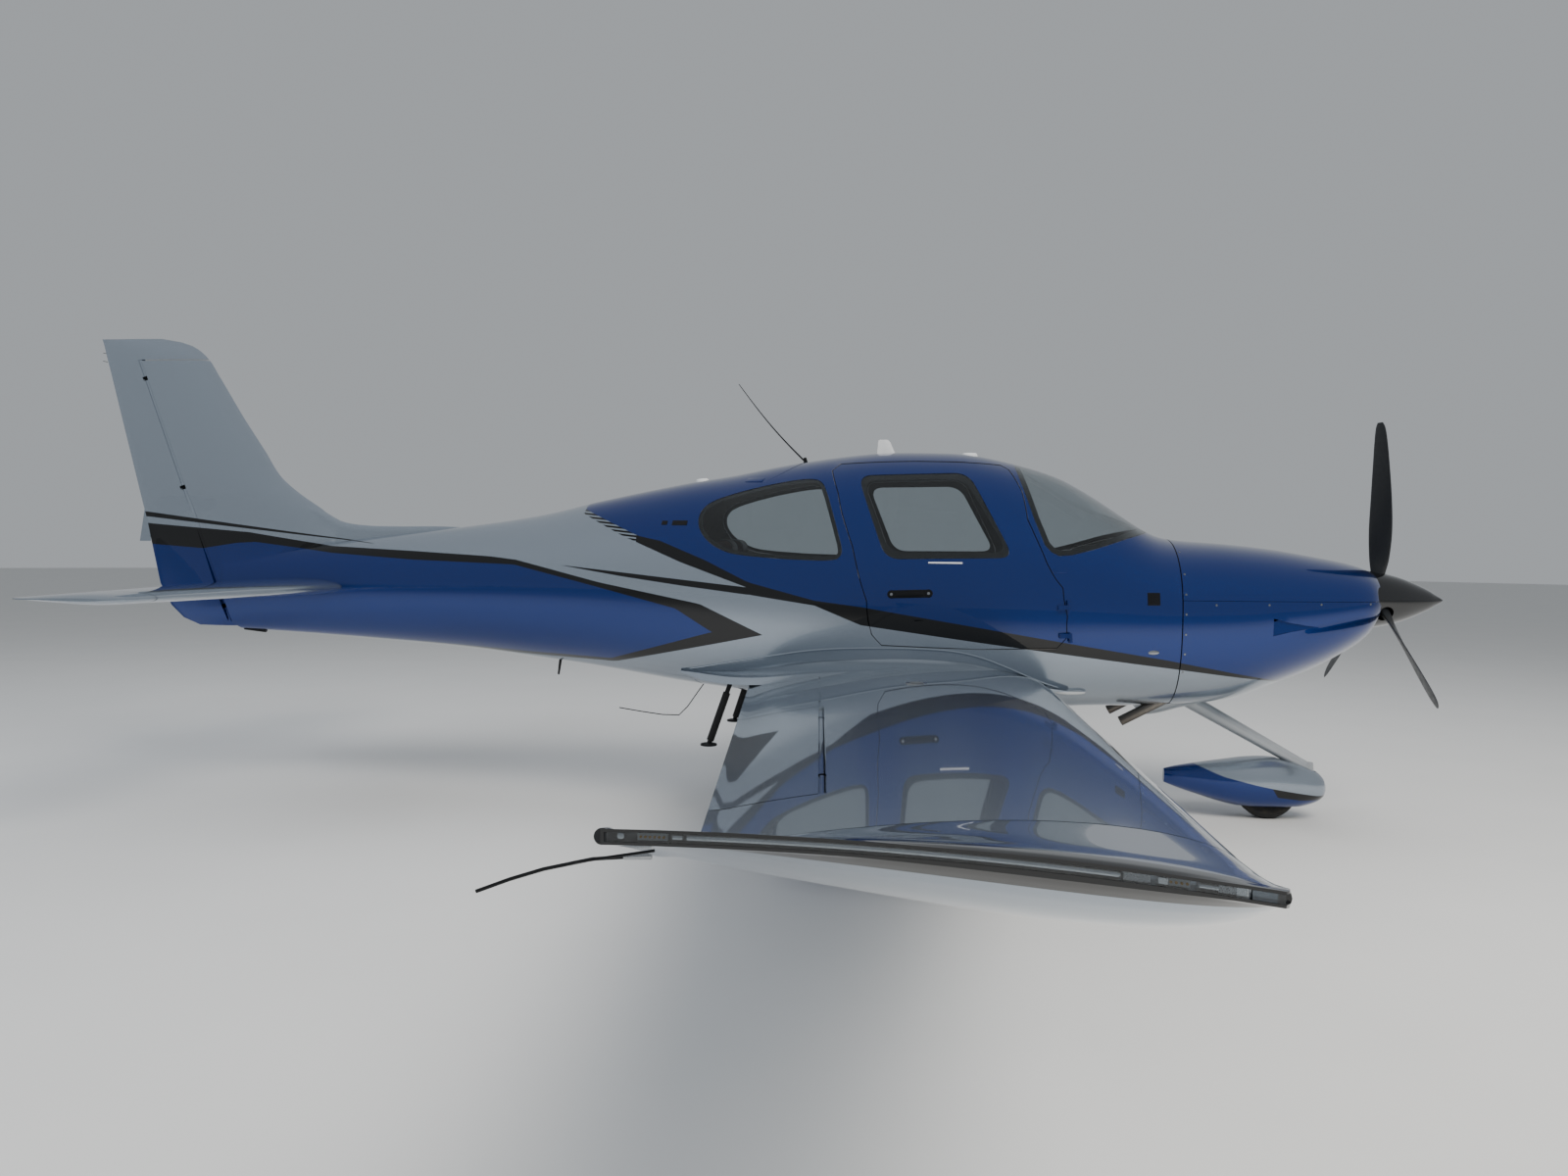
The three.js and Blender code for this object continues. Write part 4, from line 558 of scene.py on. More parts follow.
def make_finishes():
    FINISH.update(
        # Two-colour aircraft enamel under clear coat: deep blue over black bands on silver, mirror-like.
        livery=enamel("livery_enamel", 0.16, livery_colours, 0.8, 0.26),
        # The same enamel on the wheel fairings.
        nose_fairing=enamel("nose_fairing_enamel", 0.16, fairing_colours(NOSE["x"], 1.0), 0.8, 0.26),
        main_fairing=enamel("main_fairing_enamel", 0.16, fairing_colours(MAIN["x"], MAIN_RISE), 0.8, 0.26),
        # Silver pearl enamel under clear coat: bright, a little grey, with sharp reflections.
        pearl=enamel("pearl_enamel", 0.06, lambda tree, place: chosen("pearl")[:3], 0.85, 0.22),
        leg=leg_enamel(),
        gloss=black_gloss(),
        blade=blade_coating(),
        # Smoke-tinted cast acrylic: dark, clear and glossy, so the cabin shows through it dimly.
        glazing=shaded(started("tinted_acrylic")[0], Base_Color=chosen("glass"), Roughness=0.0, IOR=1.49,
                       Transmission_Weight=1.0),
        border=painted_border(),
        # Cast aluminium: pale grey with a sand-cast grain.
        casting=grained("cast_aluminium", "#8b8d8f", "#a3a5a7", 3.0, 0.5, 0.3, Metallic=0.9),
        # Machined aluminium: brighter, with turning marks.
        machined=grained("machined_aluminium", "#9fa2a5", "#b4b7ba", 1.2, 0.3, 0.05, Metallic=1.0),
        # Black anodised fittings: deep charcoal with a satin face.
        anodised=grained("black_anodised_aluminium", "#101113", "#1a1b1d", 1.0, 0.38, 0.03, Metallic=0.5),
        # Zinc-plated steel: cool grey, slightly dull.
        plated=grained("zinc_plated_steel", "#85888b", "#a0a3a6", 2.0, 0.34, 0.05, Metallic=1.0),
        tyre=tyre_rubber(),
        # Moulded seal rubber: flat black.
        seal=grained("moulded_seal_rubber", "#0b0b0c", "#141415", 1.5, 0.7, 0.1),
        exhaust=exhaust_steel(),
        leather=hide("upholstery_leather"),
        # Flocked glareshield: matt black that throws no reflection on the windshield.
        flocked=grained("flocked_vinyl", "#0d0d0e", "#191919", 1.5, 0.85, 0.2, Sheen_Weight=0.2),
        # Moulded ABS trim: dark grey with a fine leather-like texture.
        moulded=grained("moulded_abs_trim", "#24262a", "#2e3034", 1.2, 0.5, 0.12),
        # Woven headliner: warm light grey felt.
        lining=grained("felt_headliner", "#8f8a82", "#a19c93", 2.0, 0.9, 0.3, Sheen_Weight=0.3),
        # Cut-pile carpet: dark grey tufts a few millimetres across.
        carpet=grained("cut_pile_carpet", "#2b2b2d", "#3b3a3a", 4.0, 0.95, 2.0, Sheen_Weight=0.3),
        # Clear polycarbonate lamp cover: water-clear with a faint smoky tint.
        lamp=shaded(started("clear_polycarbonate")[0], Base_Color=linear("#c9ced2"), Roughness=0.02, IOR=1.58,
                    Transmission_Weight=1.0),
        screen=dark_screen(),
        # White thermoplastic antenna cover: faintly glossy.
        cover=grained("painted_antenna_cover", "#c9ccce", "#d6d8d9", 3.0, 0.3, 0.05),
        # Polished reflector metal: bright and nearly flawless.
        mirror=grained("polished_reflector", "#d4d7da", "#e4e6e8", 2.0, 0.12, 0.02, Metallic=1.0),
        # Phosphor over the lamp dies: opaque amber yellow.
        phosphor=grained("lamp_phosphor", "#c99a1c", "#d9ae3a", 1.0, 0.4, 0.05),
        # Anti-slip paint: dark grit about 1 mm across.
        grit=grained("antislip_paint", "#1d1e20", "#2d2e30", 1.6, 0.85, 0.8),
    )


# Fuselage sections: position, top, bottom, half width, height of the widest point, and the powers of
# the upper and lower halves (2 is an ellipse, more is squarer).
FUSELAGE = [
    (3545, 1397, 1080, 258, 1238, 2.1, 2.1),
    (3500, 1416, 1015, 322, 1232, 2.1, 2.1),
    (3410, 1441, 948, 375, 1220, 2.15, 2.15),
    (3240, 1474, 852, 430, 1200, 2.2, 2.2),
    (3010, 1512, 757, 485, 1180, 2.2, 2.3),
    (2760, 1538, 668, 527, 1160, 2.25, 2.4),
    (2450, 1563, 638, 567, 1150, 2.25, 2.52),
    (2330, 1606, 632, 583, 1150, 2.25, 2.6),
    (2040, 1795, 624, 617, 1150, 2.3, 2.7),
    (1840, 1905, 617, 636, 1150, 2.3, 2.8),
    (1580, 1984, 608, 652, 1150, 2.3, 2.8),
    (1340, 2030, 602, 660, 1150, 2.3, 2.8),
    (1110, 2040, 600, 663, 1150, 2.3, 2.8),
    (860, 2037, 604, 660, 1155, 2.3, 2.8),
    (590, 2009, 618, 645, 1165, 2.3, 2.7),
    (300, 1964, 640, 617, 1185, 2.25, 2.6),
    (10, 1906, 672, 572, 1205, 2.2, 2.5),
    (-290, 1856, 706, 510, 1225, 2.2, 2.4),
    (-790, 1753, 778, 402, 1240, 2.1, 2.3),
    (-1140, 1670, 820, 335, 1240, 2.1, 2.2),
    (-1590, 1600, 872, 262, 1235, 2.1, 2.1),
    (-2200, 1528, 914, 182, 1225, 2, 2),
    (-2640, 1475, 939, 132, 1210, 2, 2),
    (-3140, 1420, 962, 78, 1190, 2, 2),
]
COWL_FRONT, FIREWALL, CABIN_REAR, TAIL_END = 3545, 2450, -290, -3140
WALL = 45
FLOOR_TOP = 800
STATION = 40  # distance between fuselage rings
RING = 96


def squarer(value, power):
    """A cosine or a sine raised to a power, with its sign kept."""
    return copysign(abs(value) ** power, value)


def fuselage_ring(x, inset):
    _, top, bottom, half, widest, upper, lower = row_at(FUSELAGE, x)
    ring = []
    for c, s in circle(RING):
        power = 2 / (upper if s > 0 else lower)
        height = (top - widest if s > 0 else widest - bottom) - inset
        ring.append((x, (half - inset) * squarer(c, power), widest + height * squarer(s, power)))
    return ring


def fuselage(front, rear, inset=0.0):
    return skin([fuselage_ring(x, inset) for x in spread(front, rear, STATION)])


def half_breadth(x, z):
    _, top, bottom, half, widest, upper, lower = row_at(FUSELAGE, x)
    power, height = (upper, top - widest) if z > widest else (lower, widest - bottom)
    share = min(abs(z - widest) / height, 0.999)
    return half * (1 - share ** power) ** (1 / power)


# Outlines on the side of the cabin
WINDSHIELD = [(2450, 1625), (2355, 1604), (2177, 1557), (2011, 1504), (1881, 1469), (1810, 1463), (1768, 1483),
              (1734, 1521), (1682, 1655), (1617, 1870), (1600, 1935), (1595, 2080), (2450, 2080)]
DOOR = [(1560, 1930), (1645, 1654), (1725, 1470), (1770, 1373), (1825, 1297), (1850, 1150), (1850, 1040),
        (1800, 985), (890, 985), (840, 1040), (810, 1220), (772, 1334), (664, 1697), (600, 1920), (640, 1957),
        (1520, 1955)]
DOOR_CENTRE = (1200, 1450)
WINDOWS = {
    "door": [(742, 1890), (1338, 1908), (1574, 1450), (905, 1436)],
    "rear": [(-134, 1615), (-131, 1677), (-94, 1727), (-34, 1759), (77, 1795), (217, 1831), (377, 1862), (468, 1872),
             (525, 1866), (559, 1840), (589, 1769), (629, 1646), (670, 1506), (674, 1462), (650, 1432), (576, 1424),
             (373, 1429), (166, 1443), (47, 1459), (-41, 1499), (-102, 1553)],
}
DOOR_DRAFT = 0.3
DOOR_GAP = 5
WINDOW_CORNER = {"door": 80, "rear": 60}
PANE = (1.0, 5.0)  # depth of a pane's two faces below the skin
PAINTED = (5.3, 7.0)  # depth of the painted border behind it


PLUG_REACH = (450, -250)  # how far a door's cutting plug stands out of the skin and into the cabin


def door_plug(side, gap):
    outline = widened(DOOR, gap)
    x0, z0 = DOOR_CENTRE
    rings = []
    for reach in PLUG_REACH:
        ring = []
        for x, z in outline:
            scale = 1 + DOOR_DRAFT * reach / hypot(x - x0, z - z0)
            ring.append((x0 + (x - x0) * scale, side * (half_breadth(x, z) + reach), z0 + (z - z0) * scale))
        rings.append(ring)
    bm = opened(skin(rings))
    bmesh.ops.triangulate(bm, faces=[face for face in bm.faces if len(face.verts) > 4], ngon_method="EAR_CLIP")
    return placed(bm)


def through(side):
    """How far across a cut goes that opens one side of the cabin."""
    return (200, ACROSS) if side > 0 else (-ACROSS, -200)


def window_shape(kind, border=0.0):
    """The outline of a window's hole, or of its clear glass inside a painted border."""
    return rounded(widened(WINDOWS[kind], -border) if border else WINDOWS[kind], WINDOW_CORNER[kind])


def layer(front, rear, depth):
    """The slice of the fuselage's skin between two depths, between two stations."""
    return cut(fuselage(front, rear, depth[0]), fuselage(front + 10, rear - 10, depth[1]))


def lined(shape, outer, inner, split=None, depth=30):
    """Two finishes on a walled shape: the outer one where the skin is, the inner one on the lining."""
    coated(shape, outer, inner)
    for face in shape.data.polygons:
        x, y, z = face.center
        station = max(TAIL_END, min(x, COWL_FRONT))
        half = half_breadth(station, z)
        _, top, bottom, *_ = row_at(FUSELAGE, station)
        deep = abs(y) < half - depth and bottom + depth < z < top - depth
        face.material_index = 1 if deep and (split is None or split(face)) else 0
    return shape


def cabin_wall():
    space = cut(fuselage(FIREWALL - WALL, CABIN_REAR + WALL, WALL), block(z=(-FAR, FLOOR_TOP)),
                block(x=(-FAR, -6), z=(-FAR, 860)))
    return cut(fuselage(FIREWALL - SEAM, CABIN_REAR, 0), space)


# Fin: height, leading edge, trailing edge, thickness
FIN = [
    (975, -3070, -3325, 50),
    (1019, -2990, -3434, 95),
    (1095, -2840, -3515, 125),
    (1229, -2640, -3586, 138),
    (1500, -2380, -3645, 125),
    (1600, -2440, -3666, 112),
    (1682, -2520, -3687, 108),
    (1785, -2675, -3714, 104),
    (1889, -2798, -3740, 98),
    (2042, -2898, -3779, 92),
    (2250, -3038, -3832, 84),
    (2508, -3198, -3897, 73),
    (2622, -3278, -3927, 66),
    (2699, -3400, -3946, 42),
    (2729, -3563, -3957, 14),
]
EDGE = 3  # half thickness of a trailing edge
FOIL_STEPS = 28


def foil_half(share):
    curve = 0.2969 * sqrt(share) - 0.126 * share - 0.3516 * share ** 2 + 0.2843 * share ** 3
    return 5 * (curve - 0.1036 * share ** 4)


def at_span(y):
    """Where a section's points stand when it is y out from the middle."""
    return lambda x, z: (x, y, z)


def foil_ring(leading, trailing, height, thickness, place, camber=0.0, rise=0.0, under=None, edge=EDGE):
    """Ring of a section: from the nose along the upper side to the trailing edge and back below. The under
    side may have its own thickness, and the rise lifts the trailing edge."""
    chord = leading - trailing
    under = thickness if under is None else under
    upper, lower = [], []
    for k in range(1, FOIL_STEPS + 1):
        share = (1 - cos(pi * k / FOIL_STEPS)) / 2
        middle = height + rise * share + 4 * camber * chord * share * (1 - share)
        upper.append(place(leading - share * chord, middle + max(foil_half(share) * thickness, edge)))
        lower.insert(0, place(leading - share * chord, middle - max(foil_half(share) * under, edge)))
    return [place(leading, height), *upper, *lower]


def fin_solid():
    def ring(z):
        _, leading, trailing, thickness = row_at(FIN, z)
        return foil_ring(leading, trailing, 0, thickness, lambda x, y: (x, y, z))

    low = [ring(z) for z, *_ in FIN[:4]]
    high = [ring(z) for z in spread(FIN[4][0], FIN[-1][0], 22)]
    return skin(low + high)


# The ridge along the spine ahead of the fin: place, top, half width
RIDGE = [
    (-1620, 1590, 6),
    (-1800, 1595, 14),
    (-2050, 1593, 22),
    (-2250, 1597, 28),
    (-2404, 1619, 32),
    (-2497, 1666, 35),
    (-2591, 1716, 36),
    (-2700, 1720, 36),
]
RIDGE_FOOT, RIDGE_SHOULDER = 1465, 34


def spine_ridge():
    rings = []
    for x in spread(RIDGE[0][0], RIDGE[-1][0], 40):
        _, top, half = row_at(RIDGE, x)
        turns = [pi * k / 16 for k in range(17)]
        arch = [(x, half * cos(t), top - RIDGE_SHOULDER * (1 - sin(t))) for t in turns]
        rings.append([*arch, (x, -half, RIDGE_FOOT), (x, half, RIDGE_FOOT)])
    return skin(rings)


# Hinged surfaces

HINGE_GAP = 7
LIP = 4
REACH = 1400
SWING_MARGIN = 3
KNUCKLE = {"width": 26, "room": 8, "eye": 12, "bore": 6.2, "pin": 5, "web": 7, "root": 30}


class HingeLine:
    """A hinge's two ends and its own directions: along it, aft of it and square to the surface."""

    def __init__(self, start, end, hint):
        self.start, self.end = Vector(start), Vector(end)
        self.along = (self.end - self.start).normalized()
        self.aft = Vector(hint).cross(self.along).normalized()
        self.normal = self.along.cross(self.aft)
        self.length = (self.end - self.start).length

    def at(self, distance):
        return self.start + self.along * distance

    def loft(self, ring, start, end):
        """A solid along the hinge, whose section ring(distance) is drawn in its (aft, up) plane."""
        return skin([[self.at(s) + self.aft * aft + self.normal * up for aft, up in ring(s)] for s in (start, end)])


def nose_radius(hinge, noses, distance):
    return noses[0] + (noses[1] - noses[0]) * distance / hinge.length


def around(radius, start, end, steps=36):
    """Points of an arc from one angle to another, in the (aft, up) plane of a hinge."""
    turns = [start + (end - start) * k / steps for k in range(steps + 1)]
    return [(radius * cos(turn), radius * sin(turn)) for turn in turns]


def hinge_pin(hinge, middle, width, radius, sides=32):
    return bar(hinge.at(middle - width / 2), hinge.at(middle + width / 2), radius, sides=sides)


def knuckle_eyes(hinge, noses, places):
    eyes = []
    width = KNUCKLE["width"] - 2
    for middle in places:
        root = -nose_radius(hinge, noses, middle) - KNUCKLE["root"]
        web = KNUCKLE["web"]
        outline = [(root, -web), (0, -web), (0, web), (root, web)]
        eye = joined(hinge.loft(lambda _: outline, middle - width / 2, middle + width / 2),
                     hinge_pin(hinge, middle, width, KNUCKLE["eye"]))
        eyes.append(cut(eye, hinge_pin(hinge, middle, 2 * width, KNUCKLE["bore"])))
    return gathered(*eyes)


def hinge_pins(hinge, places):
    width = KNUCKLE["width"] + KNUCKLE["pin"]
    return gathered(*[hinge_pin(hinge, middle, width, KNUCKLE["pin"], 20) for middle in places])


def surface_room(hinge, noses, low, high, end_gap=HINGE_GAP):
    """Room for a surface in what carries it: its nose, the space behind, and the swing each way."""
    down, up = radians(low), radians(high)

    def ring(s):
        nose = around(nose_radius(hinge, noses, s) + HINGE_GAP, -pi / 2 - down, up - 1.5 * pi)
        return [(-sin(down) * REACH, -cos(down) * REACH), *nose,
                (-sin(up) * REACH, cos(up) * REACH), (REACH, REACH), (REACH, -REACH)]

    return hinge.loft(ring, -end_gap, hinge.length + end_gap)


def surface_body(whole, hinge, noses, places, skin_finish="pearl", past=0.0):
    """The part of a foil behind its hinge, with a round nose, black ends as painted shade for the gaps beside it, and
    a notch for each knuckle.
    """
    def ring(s):
        radius = nose_radius(hinge, noses, s)
        turn = acos(HINGE_GAP / radius)
        return [(HINGE_GAP, -REACH), *around(radius, -turn, turn - tau), (HINGE_GAP, REACH), (REACH, REACH),
                (REACH, -REACH)]

    notches = [hinge_pin(hinge, s, KNUCKLE["width"], nose_radius(hinge, noses, s) + KNUCKLE["room"]) for s in places]
    body = cut(common(whole, hinge.loft(ring, 0, hinge.length + past)), *notches)
    # The end faces take the flat black seal finish as painted shade: it darkens the gaps at the surface's ends.
    coated(body, skin_finish, "seal")
    for face in body.data.polygons:
        face.material_index = int(abs(face.normal.dot(hinge.along)) > 0.97)
    return body


RUDDER = {"foot": 900, "horn": 2600, "slope": 0.3686, "x": -3126, "z": 1040, "swing": 20}
RUDDER_NOSES = (40, 20)
RUDDER_KNUCKLES = (210, 980, 1690)


def rudder_x(z):
    return RUDDER["x"] - RUDDER["slope"] * (z - RUDDER["z"])


RUDDER_HINGE = HingeLine((rudder_x(RUDDER["foot"]), 0, RUDDER["foot"]),
                         (rudder_x(RUDDER["horn"]), 0, RUDDER["horn"]), (0, -1, 0))

ELEVATOR_SWINGS = (15, 25)
STAB = {"leading": -2316, "trailing": -3340, "sweep": 0.0966, "forward": 0.147, "height": 1225}
STAB_SECTIONS = [(1970, 70, 14), (1950, 24, 36), (1890, 0, 52), (128, 0, 98)]
HORN_START = 1725
ELEVATOR_INNER = 128
ELEVATOR_X = -2970
ELEVATOR_SPAR = 45
ELEVATOR_NOSES = (16, 16)
ELEVATOR_KNUCKLES = (825, 2625)
ELEVATOR_HINGE = HingeLine((ELEVATOR_X, -HORN_START, STAB["height"]), (ELEVATOR_X, HORN_START, STAB["height"]),
                           (0, 0, 1))
TUBE = {"radius": 18, "bore": 18.5, "bearing": 40}


def tailplane_solid(extra=0.0):
    rows = [(-y, inset, thickness) for y, inset, thickness in STAB_SECTIONS]
    rings = []
    for y, inset, thickness in rows + STAB_SECTIONS[::-1]:
        leading = STAB["leading"] - STAB["sweep"] * abs(y) - inset + extra
        trailing = STAB["trailing"] + STAB["forward"] * abs(y) + inset * 0.6 - extra
        rings.append(foil_ring(leading, trailing, STAB["height"], thickness + 2 * extra, at_span(y)))
    return skin(rings)


PIPE = {"y": 230, "head": (2760, 1080), "bend": (2720, 839), "end": (2195, 555), "radius": 27, "tunnel": 33}


def pipe_bar(start, end, side, radius, end_radius=None):
    (x0, z0), (x1, z1) = start, end
    return bar((x0, side * PIPE["y"], z0), (x1, side * PIPE["y"], z1), radius, end_radius)


def build_fuselage():
    shell = cabin_wall()
    tail = cut(joined(fuselage(CABIN_REAR, TAIL_END, 0), spine_ridge()), fuselage(CABIN_REAR + 10, -2100, 28))
    tail = joined(tail, common(fin_solid(), block(z=(-FAR, RUDDER["horn"] - HINGE_GAP))))
    cuts = [plate(WINDSHIELD, -ACROSS, ACROSS)]
    for _, side in SIDES:
        cuts += [door_plug(side, DOOR_GAP), plate(window_shape("rear"), *through(side)),
                 pipe_bar(PIPE["bend"], PIPE["end"], side, PIPE["tunnel"])]
    shell = cut(shell, *cuts)
    swing = RUDDER["swing"] + SWING_MARGIN
    tail = cut(
        tail,
        surface_room(RUDDER_HINGE, RUDDER_NOSES, swing, swing, 400),
        common(tailplane_solid(0.5), block(x=(ELEVATOR_X + ELEVATOR_SPAR - 1, FAR))),
        bar((ELEVATOR_X, -ACROSS, STAB["height"]), (ELEVATOR_X, ACROSS, STAB["height"]), TUBE["bore"]),
    )
    lined(shell, "livery", "lining")
    lined(tail, "livery", "lining", split=lambda face: face.center.x > -2100 and face.center.z < 1580)
    finished(shell, "cabin_skin", "airframe", "fuselage_paint", stands_for="cabin_shell")
    finished(tail, "tail_boom_skin", "airframe", "fuselage_paint", stands_for="rear_fuselage")


# A door's two outside hinges: the axis leans inwards and back, and the outlines are [aft, outwards] of it
DOOR_HINGE = {
    "middle": (1862.75, 651.625, 1125), "lean": (-0.07, -0.045), "half": 125, "radius": 9,
    "shell": (86, 110), "door": (62, 85.7),
    "post": [(-9, -40), (8, -40), (8, 0), (-9, 0)],
    "strap": [(0, -8), (30, -8), (30, -40), (55, -40), (55, 3), (48, 8), (0, 8)],
}


def hinge_eyes(side, near, far, outline):
    x, y, z = DOOR_HINGE["middle"]
    back, inwards = DOOR_HINGE["lean"]
    up = -side * DOOR_HINGE["half"]
    up = -side * DOOR_HINGE["half"]
    ends = [(x + back * rise, side * (y + inwards * rise), z + rise) for rise in (-up, up)]
    hinge = HingeLine(*ends, (0, side, 0))
    middle, parts = hinge.length / 2, []
    for start, end in ((middle + near, middle + far), (middle - far, middle - near)):
        parts += [bar(hinge.at(start), hinge.at(end), DOOR_HINGE["radius"], sides=28),
                  hinge.loft(lambda _: outline, start, end)]
    return joined(*parts)


HINGE_STRETCH = (2100, 1500)  # the skin near the doors' hinges
DOOR_STRETCH = (2100, 300)
SEAL_DEPTHS = (1.5, 30)
FIT = -0.6  # how much narrower a pane is than its hole, all round


def build_doors():
    for name, side in SIDES:
        seal = cut(common(layer(*DOOR_STRETCH, SEAL_DEPTHS), door_plug(side, DOOR_GAP - 0.2)), door_plug(side, 2))
        finished(seal, f"door_seal_{name}", "airframe", "black_gloss", "seal")
        straps = cut(hinge_eyes(side, *DOOR_HINGE["door"], DOOR_HINGE["strap"]), fuselage(*HINGE_STRETCH, 20))
        finished(straps, f"door_hinge_straps_{name}", f"door_{name}", "fuselage_paint", "livery")
        posts = cut(hinge_eyes(side, *DOOR_HINGE["shell"], DOOR_HINGE["post"]), fuselage(*HINGE_STRETCH, 20))
        finished(posts, f"door_hinge_posts_{name}", "airframe", "fuselage_paint", "livery")
        panel = cut(common(cabin_wall(), door_plug(side, 0)), plate(window_shape("door"), *through(side)))
        lined(panel, "livery", "moulded")
        finished(panel, f"door_skin_{name}", f"door_{name}", "fuselage_paint", stands_for=f"door_{name}")


def glazed(name, body, outline, clear, reach, stretch):
    """A tinted pane, and the painted border behind its edge."""
    pane = common(layer(*stretch, PANE), plate(outline, *reach))
    border = cut(common(layer(*stretch, PAINTED), plate(outline, *reach)), plate(clear, *reach))
    finished(pane, f"{name}_pane", body, "tinted_glazing", "glazing", stands_for=name)
    finished(border, f"{name}_border", body, "tinted_glazing", "border")


def build_glazing():
    sizes = bpy.context.scene.aeroplane_sizes
    for name, side in SIDES:
        windows = (("door", f"door_{name}", sizes.door_border), ("rear", "airframe", sizes.rear_border))
        for kind, body, border in windows:
            glazed(f"{kind}_window_{name}", body, widened(window_shape(kind), FIT), window_shape(kind, border / MM),
                   through(side), (DOOR_STRETCH[0], CABIN_REAR))
    clear = [(x, FAR if z > 2000 else z) for x, z in widened(WINDSHIELD, -sizes.shield_border / MM)]
    glazed("windshield", "airframe", widened(WINDSHIELD, FIT), clear, (-ACROSS, ACROSS), (FIREWALL - 20, 1500))


# Engine bay

COWL_SKIN = 14
COWL_SPLIT = 1238
COWL_FACE = (3335, 3655)  # the inlets and the shaft hole are cut between these
THRUST = 1238
SHAFT_HOLE = 78
HUB_BACK = COWL_FRONT + 6
INLET = {"y": 225, "z": 1262, "wide": 78, "high": 52}


def oval_bar(x0, x1, y, z, wide, high):
    bm = bmesh.new()
    place = Matrix.Translation(((x0 + x1) / 2, y, z)) @ Matrix.Diagonal((1, wide, high, 1)) @ upright((1, 0, 0))
    bmesh.ops.create_cone(bm, cap_ends=True, segments=64, radius1=1, radius2=1, depth=x1 - x0, matrix=place)
    return solid(bm)


SPLIT_FASTENERS = [(2624, 1217), (2900, 1220), (3178, 1224), (3456, 1226)]
SEAM_FASTENERS = [(2468, z) for z in (1490, 1375, 1270, 1167, 1062, 958, 860)]


def skin_point(x, z, side, proud=0.0):
    return Vector((x, side * (half_breadth(x, z) + proud), z))


def skin_normal(x, z, side):
    here = skin_point(x, z, side)
    normal = (skin_point(x + 5, z, side) - here).cross(skin_point(x, z + 5, side) - here)
    return normal.normalized() * (1 if normal.y * side > 0 else -1)


def stud(x, z, side, radius, proud, deep=2.0):
    """A low round head that sits on the fuselage's skin."""
    here, out = skin_point(x, z, side), skin_normal(x, z, side)
    return bar(here - out * deep, here + out * proud, radius, radius * 0.82, sides=20, bevel=0.6)


def build_cowl():
    sizes = bpy.context.scene.aeroplane_sizes
    inside = fuselage(COWL_FRONT - COWL_SKIN, FIREWALL - COWL_SKIN, COWL_SKIN)
    holes = [bar((COWL_FACE[0], 0, THRUST), (COWL_FACE[1], 0, THRUST), SHAFT_HOLE, sides=64)]
    holes += [oval_bar(*COWL_FACE, side * INLET["y"], INLET["z"], INLET["wide"], INLET["high"]) for _, side in SIDES]
    holes += [pipe_bar(PIPE["bend"], PIPE["end"], side, PIPE["tunnel"]) for _, side in SIDES]
    shell = cut(fuselage(COWL_FRONT, FIREWALL + sizes.seam / MM, 0), inside, *holes)
    shell = cut(shell, *[inlet_scoop(side) for _, side in SIDES])
    lower = twin(shell)
    upper = cut(shell, block(z=(-FAR, COWL_SPLIT + 1)))
    lower = cut(lower, block(z=(COWL_SPLIT - 1, FAR)))
    for shape in (upper, lower):
        lined(shape, "livery", "seal", depth=13.5)
    finished(upper, "cowl_upper_skin", "airframe", "fuselage_paint", stands_for="cowl_upper")
    finished(lower, "cowl_lower_skin", "airframe", "fuselage_paint", stands_for="cowl_lower")
    spots = [(*spot, side) for spot in SPLIT_FASTENERS + SEAM_FASTENERS for _, side in SIDES]
    heads = [stud(*spot, sizes.fastener / MM, 1.6) for spot in spots]
    finished(heads, "cowl_fasteners", "airframe", "steel", "plated")
    lips = [inlet_lip(side) for _, side in SIDES]
    finished(lips, "cooling_inlet_lips", "airframe", "black_gloss", "seal")
    coated(bpy.data.objects["engine_block"], "casting")


SCOOP = [(3165, 3, 2), (3100, 10, 5), (3020, 24, 9), (2935, 44, 12), (2925, 46, 12)]  # place, half height, depth
SCOOP_Z = 1103


def inlet_scoop(side):
    """A shallow triangular scoop in the side of the lower cowl, deepest at its rear."""
    rings = []
    for x, high, deep in SCOOP:
        y = half_breadth(x, SCOOP_Z)
        corners = ((20, -high), (20, high), (-deep, high), (-deep, -high))
        rings.append([(x, side * (y + out), SCOOP_Z + up) for out, up in corners])
    return skin(rings)


def inlet_lip(side):
    """A soft dark duct just behind each cooling inlet."""
    duct, hollow = [skin([
        [(x, side * INLET["y"] + c * (INLET["wide"] + grow), INLET["z"] + s * (INLET["high"] + grow))
         for c, s in circle(64)] for x, grow in ends
    ]) for ends in (((3425, 8), (3355, 14)), ((3435, 4), (3345, 10)))]
    return common(cut(duct, hollow), fuselage(COWL_FRONT, FIREWALL, COWL_SKIN + 1))


# Wing: sections across the span, with the chord line's height and the greatest thickness

WING_ROOT, TIP_SEAM, WING_TIP = 230, 5580, 5840
WING_STATIONS = [WING_ROOT, 1200, 3140, TIP_SEAM - 1]
THICKNESS = (238, 88)
WING_SLOPE = 0.0758
CAMBER = 0.018
WING_HINGE = {"root": (750, 575), "tip": (5220, 940)}
FLAP = {"span": (770, 3132), "down": 32, "up": 0, "knuckles": (420, 1950)}
AILERON = {"span": (3148, 5220), "down": 12.5, "up": 12.5, "knuckles": (330, 1750)}
FILLET = [
    (1880, 742, 3, 12),
    (1780, 765, 12, 60),
    (1613, 805, 42, 95),
    (1458, 838, 75, 115),
    (1304, 850, 105, 125),
    (1048, 860, 108, 130),
    (790, 850, 114, 132),
    (527, 830, 118, 135),
    (257, 795, 106, 145),
    (31, 780, 78, 90),
    (-120, 790, 32, 40),
    (-242, 796, 4, 8),
]


def wing_leading(y):
    return 1819.8 - 0.0573 * y


def wing_trailing(y):
    return 200 + 0.1255 * (y - 790)


def wing_height(y):
    return 740 + WING_SLOPE * (y - 660)


